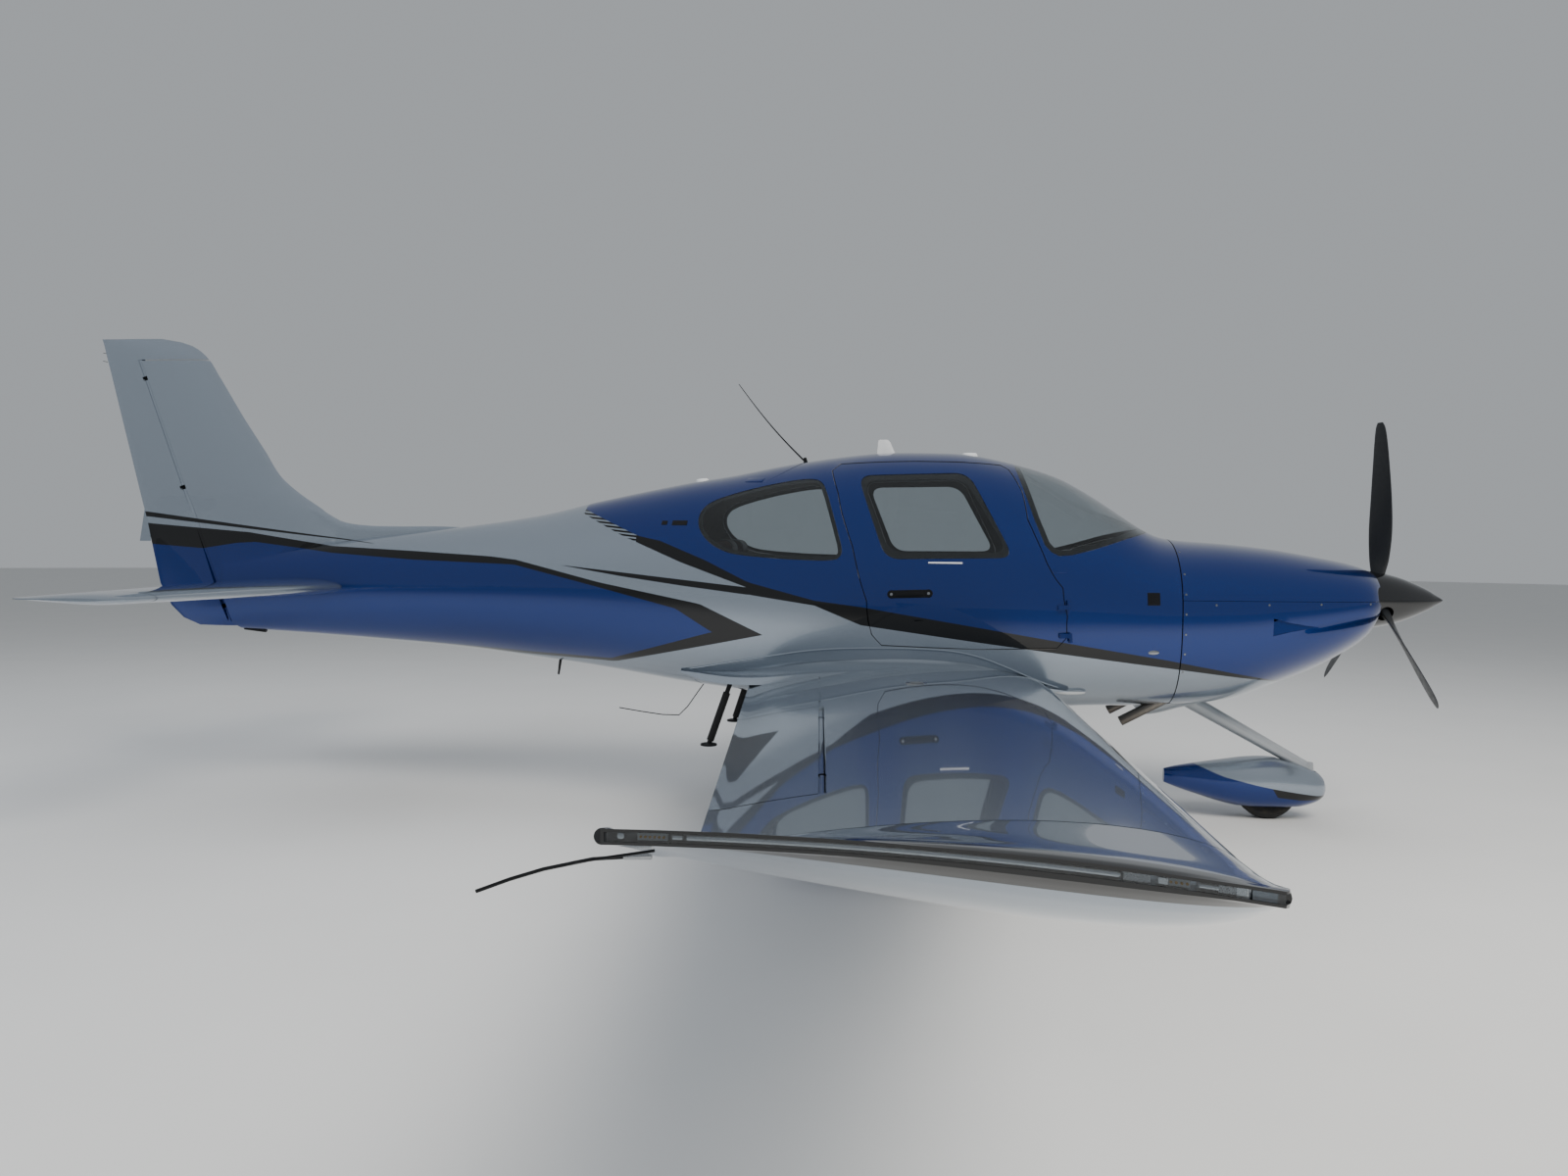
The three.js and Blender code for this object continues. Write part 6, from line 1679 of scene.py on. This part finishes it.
FRONT_PAD = [(1318, 985), (1330, 1030), (1310, 1078), (1080, 1062), (935, 1048), (930, 985)]
FRONT_BACK = [(930, 1060), (905, 1040), (850, 1075), (770, 1450), (785, 1500), (820, 1490), (860, 1440)]
FRONT_HEAD = [(800, 1512), (765, 1512), (735, 1580), (745, 1612), (790, 1622), (822, 1600), (828, 1540)]
FRONT_BASE = [(1310, 801), (1310, 985), (900, 985), (885, 801)]
REAR_PAD = [(462, 985), (474, 1030), (455, 1066), (250, 1050), (105, 1038), (100, 985)]
REAR_BACK = [(120, 1050), (95, 1030), (35, 1060), (-48, 1400), (-30, 1440), (10, 1435), (55, 1390)]
REAR_HEAD = [(0, 1450), (-35, 1450), (-52, 1490), (-40, 1518), (5, 1522), (28, 1500), (30, 1465)]
REAR_BASE = [(455, 801), (455, 985), (30, 985), (10, 801)]


def build_seats():
    for name, side in SIDES:
        y = side * SEAT_MIDDLE
        base = plate(rounded(FRONT_BASE, 30), y - SEAT_HALF + 18, y + SEAT_HALF - 18)
        posts = [bar((800, y + off, 1480), (790, y + off, 1560), 6) for off in (-60, 60)]
        finished(base, f"front_seat_base_{name}", "airframe", "panel_plastic", "moulded",
                 stands_for=f"front_seat_{name}")
        finished(posts, f"headrest_posts_{name}", "airframe", "steel", "plated")
    front = [(name, side * SEAT_MIDDLE) for name, side in SIDES]
    upholstered("front_seat_cushion", FRONT_PAD, SEAT_HALF - 18, front)
    upholstered("front_seat_back", FRONT_BACK, SEAT_HALF - 24, front)
    upholstered("front_seat_headrest", FRONT_HEAD, 115, front, voxel=0.006)
    base = plate(rounded(REAR_BASE, 30), -405, 405)
    finished(base, "rear_seat_base", "airframe", "panel_plastic", "moulded", stands_for="rear_seat")
    rear = [(name, side * 206) for name, side in SIDES]
    upholstered("rear_seat_cushion", REAR_PAD, 190, rear, 24)
    upholstered("rear_seat_back", REAR_BACK, 190, rear, 24)
    upholstered("rear_seat_headrest", REAR_HEAD, 112, rear, 24, voxel=0.006)


PANEL = [(2330, 1490), (2180, 1500), (1990, 1478), (1960, 1455), (2010, 1170), (2120, 1130), (2330, 1130)]


def build_instrument_panel():
    space = fuselage(FIREWALL - WALL, 1900, WALL + 2)
    panel = common(plate(rounded(PANEL, 22), -ACROSS, ACROSS), space)
    finished(panel, "panel_housing", "airframe", "panel_plastic", "flocked", stands_for="instrument_panel")
    screens, keys, yokes = [], [], []
    lean = atan2(50, 285)
    for y in (-260, 260):
        place = Matrix.Translation((1976, y, 1325)) @ Matrix.Rotation(lean, 4, "Y")
        screens.append(slab(place, (12, 260, 180), 5))
        keys += [slab(place @ Matrix.Translation((-3, -105 + 30 * k, -104)), (10, 20, 10), 2) for k in range(8)]
    keys += [bar((1990, y, 1250), (1972, y, 1253), 9, sides=24, bevel=1) for y in (-40, 0, 40)]
    for y in (-290, 290):
        yokes += [bar((2000, y, 1215), (1900, y, 1235), 11),
                  slab(Matrix.Translation((1895, y, 1236)), (26, 210, 28), 11)]
        yokes += [slab(Matrix.Translation((1890, y + off, 1268)), (24, 24, 80), 9) for off in (-95, 95)]
    finished(screens, "panel_displays", "airframe", "panel_plastic", "screen")
    finished(keys, "panel_keys", "airframe", "panel_plastic", "moulded")
    finished(yokes, "control_wheels", "airframe", "panel_plastic", "moulded")


# Small outside pieces

def build_antennas():
    climb = [k / 16 for k in range(17)]
    whip = curved_tube([(414 - 394 * t, 0, 1990 + 450 * t - 22 * sin(pi * t)) for t in climb],
                       lambda t: 5 - 3 * t)
    base = bar((420, 0, 1965), (412, 0, 2014), 16, 8, sides=32, bevel=2)
    finished([whip, base], "whip_antenna_rod", "airframe", "antenna_plastic", "anodised", stands_for="whip_antenna")
    rings = []
    for z, lead, trail, thick in ((2020, 945, 830, 13), (2060, 925, 832, 11), (2105, 905, 836, 9), (2116, 893, 840, 5),
                                  (2118, 885, 846, 2)):
        rings.append([(x, y, z) for x, y, _ in foil_ring(lead, trail, 0, thick, lambda px, py: (px, py, 0))])
    finished(skin(rings), "blade_antenna", "airframe", "antenna_plastic", "cover")
    for k, (x, radius) in enumerate(((1360, 48), (-190, 42))):
        z = row_at(FUSELAGE, x)[1]
        tilt = -0.12 if x < 0 else 0.0
        puck = bar((x, 0, z - 8), (x + 20 * tilt, 0, z + 14), radius, radius * 0.82, sides=56, bevel=6)
        finished(puck, f"satellite_antenna_{k + 1}", "airframe", "antenna_plastic", "cover")


STEP = {"foot": (-60, 470, 400), "top": (60, 440, 760)}


def build_steps():
    for name, side in SIDES:
        (fx, fy, fz), (tx, ty, tz) = STEP["foot"], STEP["top"]
        foot = bar((fx, side * fy, fz - 6), (fx, side * fy, fz + 6), 46, sides=48, bevel=3)
        tube = bar((fx, side * fy, fz), (tx, side * ty, tz), 13, sides=28)
        step = cut(joined(foot, tube), fuselage(300, -300, -0.6))
        finished(step, f"step_frame_{name}", "airframe", "black_gloss", "anodised",
                 stands_for=f"boarding_step_{name}")
        pad = bar((fx, side * fy, fz + 6), (fx, side * fy, fz + 6.8), 40, sides=48)
        finished(pad, f"step_grip_{name}", "airframe", "black_gloss", "grit")
        low, high = Vector((fx, side * fy, fz)), Vector((tx, side * ty, tz))
        sleeve = bar(low.lerp(high, 0.06), low.lerp(high, 0.8), 20, sides=36, bevel=4)
        finished(sleeve, f"step_sleeve_{name}", "airframe", "black_gloss", "seal")


def build_exhausts():
    for name, side in SIDES:
        bend, end = [Vector((x, side * PIPE["y"], z)) for x, z in (PIPE["bend"], PIPE["end"])]
        pipe = joined(pipe_bar(PIPE["head"], PIPE["bend"], side, PIPE["radius"]), ball(bend, PIPE["radius"]),
                      bar(bend, end, PIPE["radius"]))
        pipe = cut(pipe, bar(bend.lerp(end, 0.7), bend.lerp(end, 1.03), 24.5))
        finished(pipe, f"exhaust_skin_{name}", "airframe", "steel", "exhaust", stands_for=f"exhaust_pipe_{name}")


def on_skin(x, z, side, size, bevel, lift=0.0, turn=0.0):
    """A low slab that lies on the fuselage's skin, its length along the aeroplane."""
    out = skin_normal(x, z, side)
    along = (skin_point(x + 30, z, side) - skin_point(x - 30, z, side)).normalized()
    across = out.cross(along).normalized()
    place = Matrix((along, across, out)).transposed().to_4x4()
    place.translation = skin_point(x, z, side) + out * lift
    return slab(place @ Matrix.Rotation(turn, 4, "Z"), size, bevel)


# Low plates on the skin: name, body, place along, height, size, bevel, slot and finish
PLATES = [
    ("door_hinge_cover", "airframe", 1815, 1386, (64, 22, 5), "fuselage_paint", "livery"),
    ("door_trim_bar", "door", 1218, 1421, (178, 9, 5), "steel", "cover"),
    ("blank_plate", "airframe", 2299, 1245, (66, 66, 5), "black_gloss", "anodised"),
    ("strap_cover", "airframe", 160, 1868, (108, 44, 5), "fuselage_paint", "livery"),
]
HANDLE_ENDS = [(939, 1253), (1133, 1260)]
HANDLE = (1036, 1256.5)
ROOT_LAMP = (1888, 742)
VENTS = [(-330, (34, 26, 4)), (-240, (90, 30, 4))]
VENT_Z = 1622


def build_side_details():
    for name, side in SIDES:
        door, tilt = f"door_{name}", side * radians(-2.1)
        handle = [on_skin(*HANDLE, side, (196, 42, 8), 3.5, turn=tilt),
                  on_skin(*HANDLE, side, (150, 22, 8), 3, lift=5, turn=tilt),
                  *[stud(x, z, side, 23, 5) for x, z in HANDLE_ENDS]]
        finished(handle, f"door_handle_{name}", door, "black_gloss", "anodised")
        locks = [stud(x, z, side, 9, 7.5) for x, z in HANDLE_ENDS]
        finished(locks, f"door_locks_{name}", door, "steel", "machined")
        for piece, body, x, z, size, slot, finish in PLATES:
            finished(on_skin(x, z, side, size, 2), f"{piece}_{name}", door if body == "door" else body, slot, finish)
        port = ball(skin_point(2303, 966, side), 1, (30, 6, 12))
        finished(port, f"static_port_{name}", "airframe", "steel", "machined")
        x, z = ROOT_LAMP
        lens = cut(ball((x, side * (half_breadth(x, z) - 6), z), 1, (86, 30, 17)), fuselage(*HINGE_STRETCH, 4))
        finished(lens, f"root_lamp_lens_{name}", "airframe", "tinted_glazing", "mirror")
        vents = [on_skin(x, VENT_Z, side, size, 1.5) for x, size in VENTS]
        finished(vents, f"cabin_vents_{name}", "airframe", "black_gloss", "seal")
    whip = curved_tube([(-160, 0, 700), (-215, 0, 622), (-268, 0, 545), (-320, 0, 492), (-420, 0, 492), (-550, 0, 508),
                        (-682, 0, 527)], 3)
    mast = bar((-1040, 0, 820), (-1054, 0, 717), 9, 6, sides=24, bevel=1.5)
    finished([whip, mast], "belly_antenna_and_drain", "airframe", "antenna_plastic", "anodised")
    rods = [bar((-3925, 0, z), (-3925 - reach, 0, z + 6), 1.9, 1.4, sides=12) for z, reach in ((2640, 28), (2590, 30))]
    finished(rods, "rudder_wicks", "rudder", "antenna_plastic", "anodised")


# Camera, floor and light

CAMERA = {"place": (1.09, -7.167, 1.518), "yaw": 6.31, "pitch": -2.10, "roll": 0.61, "lens": 28.33}


def build_camera():
    yaw, pitch, roll = (radians(CAMERA[key]) for key in ("yaw", "pitch", "roll"))
    level = Vector((-sin(yaw), cos(yaw), 0))
    right = Vector((cos(yaw), sin(yaw), 0))
    up = Vector((0, 0, 1))
    forward = level * cos(pitch) + up * sin(pitch)
    top = up * cos(pitch) - level * sin(pitch)
    right, top = right * cos(roll) + top * sin(roll), top * cos(roll) - right * sin(roll)
    data = bpy.data.cameras.new("camera")
    data.sensor_fit = "HORIZONTAL"
    data.sensor_width = 36
    data.lens = bpy.context.scene.aeroplane_studio.lens
    data.clip_end = 200
    camera = bpy.data.objects.new("camera", data)
    camera.matrix_world = Matrix.Translation(CAMERA["place"]) @ Matrix((right, top, -forward)).transposed().to_4x4()
    bpy.context.scene.collection.objects.link(camera)
    bpy.context.scene.camera = camera


def lamp(name, place, target, size, watts, colour):
    data = bpy.data.lights.new(name, "AREA")
    data.shape = "RECTANGLE"
    data.size, data.size_y = size
    data.energy = watts
    data.color = linear(colour)[:3]
    light = bpy.data.objects.new(name, data)
    light.matrix_world = Matrix.Translation(place) @ upright(Vector(place) - Vector(target))
    light.visible_glossy = light.visible_transmission = False  # no sharp panels in the paint or the panes
    bpy.context.scene.collection.objects.link(light)


def build_stage():
    studio = bpy.context.scene.aeroplane_studio
    build_camera()
    made, tree, place = started("studio_floor")
    mottle = add(tree, "TexNoise", {"Vector": place, "Scale": METRE / 700})
    tone = add(tree, "Mix", {0: mottle, 6: linear("#cfd0cf"), 7: linear("#d5d5d4")}, 2, data_type="RGBA")
    shaded(made, Base_Color=tone, Roughness=0.6)
    bm = bmesh.new()
    bmesh.ops.create_circle(bm, cap_ends=True, segments=96, radius=60000)
    floor = solid(bm, facing=False)
    floor.name = "studio_floor"
    floor.data.materials.append(made)
    floor.data.transform(Matrix.Scale(MM, 4))
    world = bpy.data.worlds.new("studio")
    world.use_nodes = True
    world.node_tree.nodes.clear()
    back = add(world.node_tree, "Background", {"Color": linear("#e6ebf0"), "Strength": studio.surround})
    add(world.node_tree, "OutputWorld", {"Surface": back})
    bpy.context.scene.world = world
    lamp("key_light", (5.5, -6.5, 8.0), (0, 0, 1), (7, 5), studio.key, "#fffaf2")
    lamp("fill_light", (-7, -5, 6.0), (0, 0, 1), (6, 4), 300, "#eef4ff")
    lamp("top_light", (0, 2.5, 9.0), (0, 0, 1), (18, 8), 420, "#f4f8ff")


# Settings that a user would change

def colour_setting(name, description, code):
    return bpy.props.FloatVectorProperty(name=name, description=description, default=linear(code)[:3], size=3,
                                         min=0, max=1, subtype="COLOR")


def length_setting(name, description, default, least, most):
    return bpy.props.FloatProperty(name=name, description=description, default=default, min=least, max=most,
                                   subtype="DISTANCE", unit="LENGTH")


class AeroplanePaint(bpy.types.PropertyGroup):
    """Colours of the paint and the trim"""
    blue: colour_setting("Blue", "Upper colour of the fuselage and fairings", BLUE)
    pearl: colour_setting("Silver", "Colour of the wings, fin and belly", PEARL)
    black: colour_setting("Black", "Colour of the bands between blue and silver", BLACK)
    glass: colour_setting("Glass tint", "Tint of the windows", GLASS_TINT)
    hide: colour_setting("Leather", "Colour of the seats' leather", HIDE)


class AeroplaneSizes(bpy.types.PropertyGroup):
    """Sizes of the small details"""
    seam: length_setting("Cowl seam", "Width of the open line behind the cowl", SEAM * MM, 0.001, 0.006)
    door_border: length_setting("Door window border", "Width of the paint round a door's pane", 0.042, 0.01, 0.08)
    rear_border: length_setting("Rear window border", "Width of the paint round a rear pane", 0.022, 0.01, 0.03)
    shield_border: length_setting("Windshield border", "Width of the windshield's paint", 0.028, 0.01, 0.05)
    fastener: length_setting("Fastener radius", "Radius of the cowl's fastener heads", 0.0065, 0.003, 0.01)


class AeroplaneStudio(bpy.types.PropertyGroup):
    """Camera and light"""
    lens: bpy.props.FloatProperty(name="Lens", description="Focal length of the camera in millimetres",
                                  default=CAMERA["lens"], min=10, max=200, subtype="DISTANCE_CAMERA", unit="CAMERA")
    surround: bpy.props.FloatProperty(name="Surround", description="Strength of the light from all round",
                                      default=0.48, min=0, max=3, subtype="FACTOR")
    key: bpy.props.FloatProperty(name="Key light", description="Power of the main lamp in watts",
                                 default=1300, min=0, max=5000, subtype="POWER", unit="POWER")


# One operator for each piece or group of like pieces, in the order they are built

class AEROPLANE_OT_finishes(bpy.types.Operator):
    """Make the paints and the other finishes"""
    bl_idname = "aeroplane.finishes"
    bl_label = "Finishes"

    def execute(self, context):
        make_finishes()
        return {"FINISHED"}


class AEROPLANE_OT_stage(bpy.types.Operator):
    """Set the camera, the floor and the lights"""
    bl_idname = "aeroplane.stage"
    bl_label = "Stage"

    def execute(self, context):
        build_stage()
        return {"FINISHED"}


class AEROPLANE_OT_fuselage(bpy.types.Operator):
    """Build the cabin skin and the tail boom with its fin"""
    bl_idname = "aeroplane.fuselage"
    bl_label = "Fuselage"

    def execute(self, context):
        build_fuselage()
        return {"FINISHED"}


class AEROPLANE_OT_doors(bpy.types.Operator):
    """Build both doors with their seals and outside hinges"""
    bl_idname = "aeroplane.doors"
    bl_label = "Doors"

    def execute(self, context):
        build_doors()
        return {"FINISHED"}


class AEROPLANE_OT_glazing(bpy.types.Operator):
    """Build the windshield and the windows with their painted borders"""
    bl_idname = "aeroplane.glazing"
    bl_label = "Glazing"

    def execute(self, context):
        build_glazing()
        return {"FINISHED"}


class AEROPLANE_OT_cowl(bpy.types.Operator):
    """Build both halves of the cowl, its fasteners and its inlets"""
    bl_idname = "aeroplane.cowl"
    bl_label = "Cowl"

    def execute(self, context):
        build_cowl()
        return {"FINISHED"}


class AEROPLANE_OT_wings(bpy.types.Operator):
    """Build the wings, their tips and the lights in them"""
    bl_idname = "aeroplane.wings"
    bl_label = "Wings"

    def execute(self, context):
        build_wings()
        return {"FINISHED"}


class AEROPLANE_OT_wing_surfaces(bpy.types.Operator):
    """Build the flaps and the ailerons with their pins"""
    bl_idname = "aeroplane.wing_surfaces"
    bl_label = "Flaps and ailerons"

    def execute(self, context):
        build_wing_surfaces()
        return {"FINISHED"}


class AEROPLANE_OT_tailplane(bpy.types.Operator):
    """Build the stabilizer and the elevator"""
    bl_idname = "aeroplane.tailplane"
    bl_label = "Tailplane"

    def execute(self, context):
        build_tailplane()
        return {"FINISHED"}


class AEROPLANE_OT_rudder(bpy.types.Operator):
    """Build the rudder and the tail skid"""
    bl_idname = "aeroplane.rudder"
    bl_label = "Rudder"

    def execute(self, context):
        build_rudder()
        return {"FINISHED"}


class AEROPLANE_OT_propeller(bpy.types.Operator):
    """Build the spinner, the hub and the blades"""
    bl_idname = "aeroplane.propeller"
    bl_label = "Propeller"

    def execute(self, context):
        build_propeller()
        return {"FINISHED"}


class AEROPLANE_OT_nose_gear(bpy.types.Operator):
    """Build the nose leg, its fork, fairing and wheel"""
    bl_idname = "aeroplane.nose_gear"
    bl_label = "Nose gear"

    def execute(self, context):
        build_nose_gear()
        return {"FINISHED"}


class AEROPLANE_OT_main_gear(bpy.types.Operator):
    """Build the main legs, their fairings and wheels"""
    bl_idname = "aeroplane.main_gear"
    bl_label = "Main gear"

    def execute(self, context):
        build_main_gear()
        return {"FINISHED"}


class AEROPLANE_OT_seats(bpy.types.Operator):
    """Build the seats, their pads puffed with air pressure"""
    bl_idname = "aeroplane.seats"
    bl_label = "Seats"

    def execute(self, context):
        build_seats()
        return {"FINISHED"}


class AEROPLANE_OT_instrument_panel(bpy.types.Operator):
    """Build the panel with its displays and control wheels"""
    bl_idname = "aeroplane.instrument_panel"
    bl_label = "Instrument panel"

    def execute(self, context):
        build_instrument_panel()
        return {"FINISHED"}


class AEROPLANE_OT_antennas(bpy.types.Operator):
    """Build the aerials on the roof"""
    bl_idname = "aeroplane.antennas"
    bl_label = "Antennas"

    def execute(self, context):
        build_antennas()
        return {"FINISHED"}


class AEROPLANE_OT_boarding_steps(bpy.types.Operator):
    """Build the steps behind the wings"""
    bl_idname = "aeroplane.boarding_steps"
    bl_label = "Boarding steps"

    def execute(self, context):
        build_steps()
        return {"FINISHED"}


class AEROPLANE_OT_exhausts(bpy.types.Operator):
    """Build the exhaust pipes"""
    bl_idname = "aeroplane.exhausts"
    bl_label = "Exhausts"

    def execute(self, context):
        build_exhausts()
        return {"FINISHED"}


class AEROPLANE_OT_side_details(bpy.types.Operator):
    """Build the handles, lenses, vents, plates and wicks"""
    bl_idname = "aeroplane.side_details"
    bl_label = "Side details"

    def execute(self, context):
        build_side_details()
        return {"FINISHED"}


OPERATORS = (
    AEROPLANE_OT_finishes,
    AEROPLANE_OT_stage,
    AEROPLANE_OT_fuselage,
    AEROPLANE_OT_doors,
    AEROPLANE_OT_glazing,
    AEROPLANE_OT_cowl,
    AEROPLANE_OT_wings,
    AEROPLANE_OT_wing_surfaces,
    AEROPLANE_OT_tailplane,
    AEROPLANE_OT_rudder,
    AEROPLANE_OT_propeller,
    AEROPLANE_OT_nose_gear,
    AEROPLANE_OT_main_gear,
    AEROPLANE_OT_seats,
    AEROPLANE_OT_instrument_panel,
    AEROPLANE_OT_antennas,
    AEROPLANE_OT_boarding_steps,
    AEROPLANE_OT_exhausts,
    AEROPLANE_OT_side_details,
)


class AEROPLANE_PT_pieces(bpy.types.Panel):
    """The pieces of the aeroplane in order, and what a user would change"""
    bl_idname = "AEROPLANE_PT_pieces"
    bl_label = "Touring aeroplane"
    bl_space_type = "VIEW_3D"
    bl_region_type = "UI"
    bl_category = "Aeroplane"

    def draw(self, context):
        column = self.layout.column()
        for title, group in SETTINGS.items():
            settings = getattr(context.scene, title)
            for field in group.__annotations__:
                column.prop(settings, field)
        for operator in OPERATORS:
            column.operator(operator.bl_idname)


SETTINGS = {"aeroplane_paint": AeroplanePaint, "aeroplane_sizes": AeroplaneSizes, "aeroplane_studio": AeroplaneStudio}


def register():
    for group in (*SETTINGS.values(), *OPERATORS, AEROPLANE_PT_pieces):
        bpy.utils.register_class(group)
    for title, group in SETTINGS.items():
        setattr(bpy.types.Scene, title, bpy.props.PointerProperty(type=group))


def unregister():
    for title in SETTINGS:
        delattr(bpy.types.Scene, title)
    for group in reversed((*SETTINGS.values(), *OPERATORS, AEROPLANE_PT_pieces)):
        bpy.utils.unregister_class(group)


def main():
    register()
    for operator in OPERATORS:
        getattr(bpy.ops.aeroplane, operator.bl_idname.split(".")[1])()


if __name__ == "__main__":
    main()
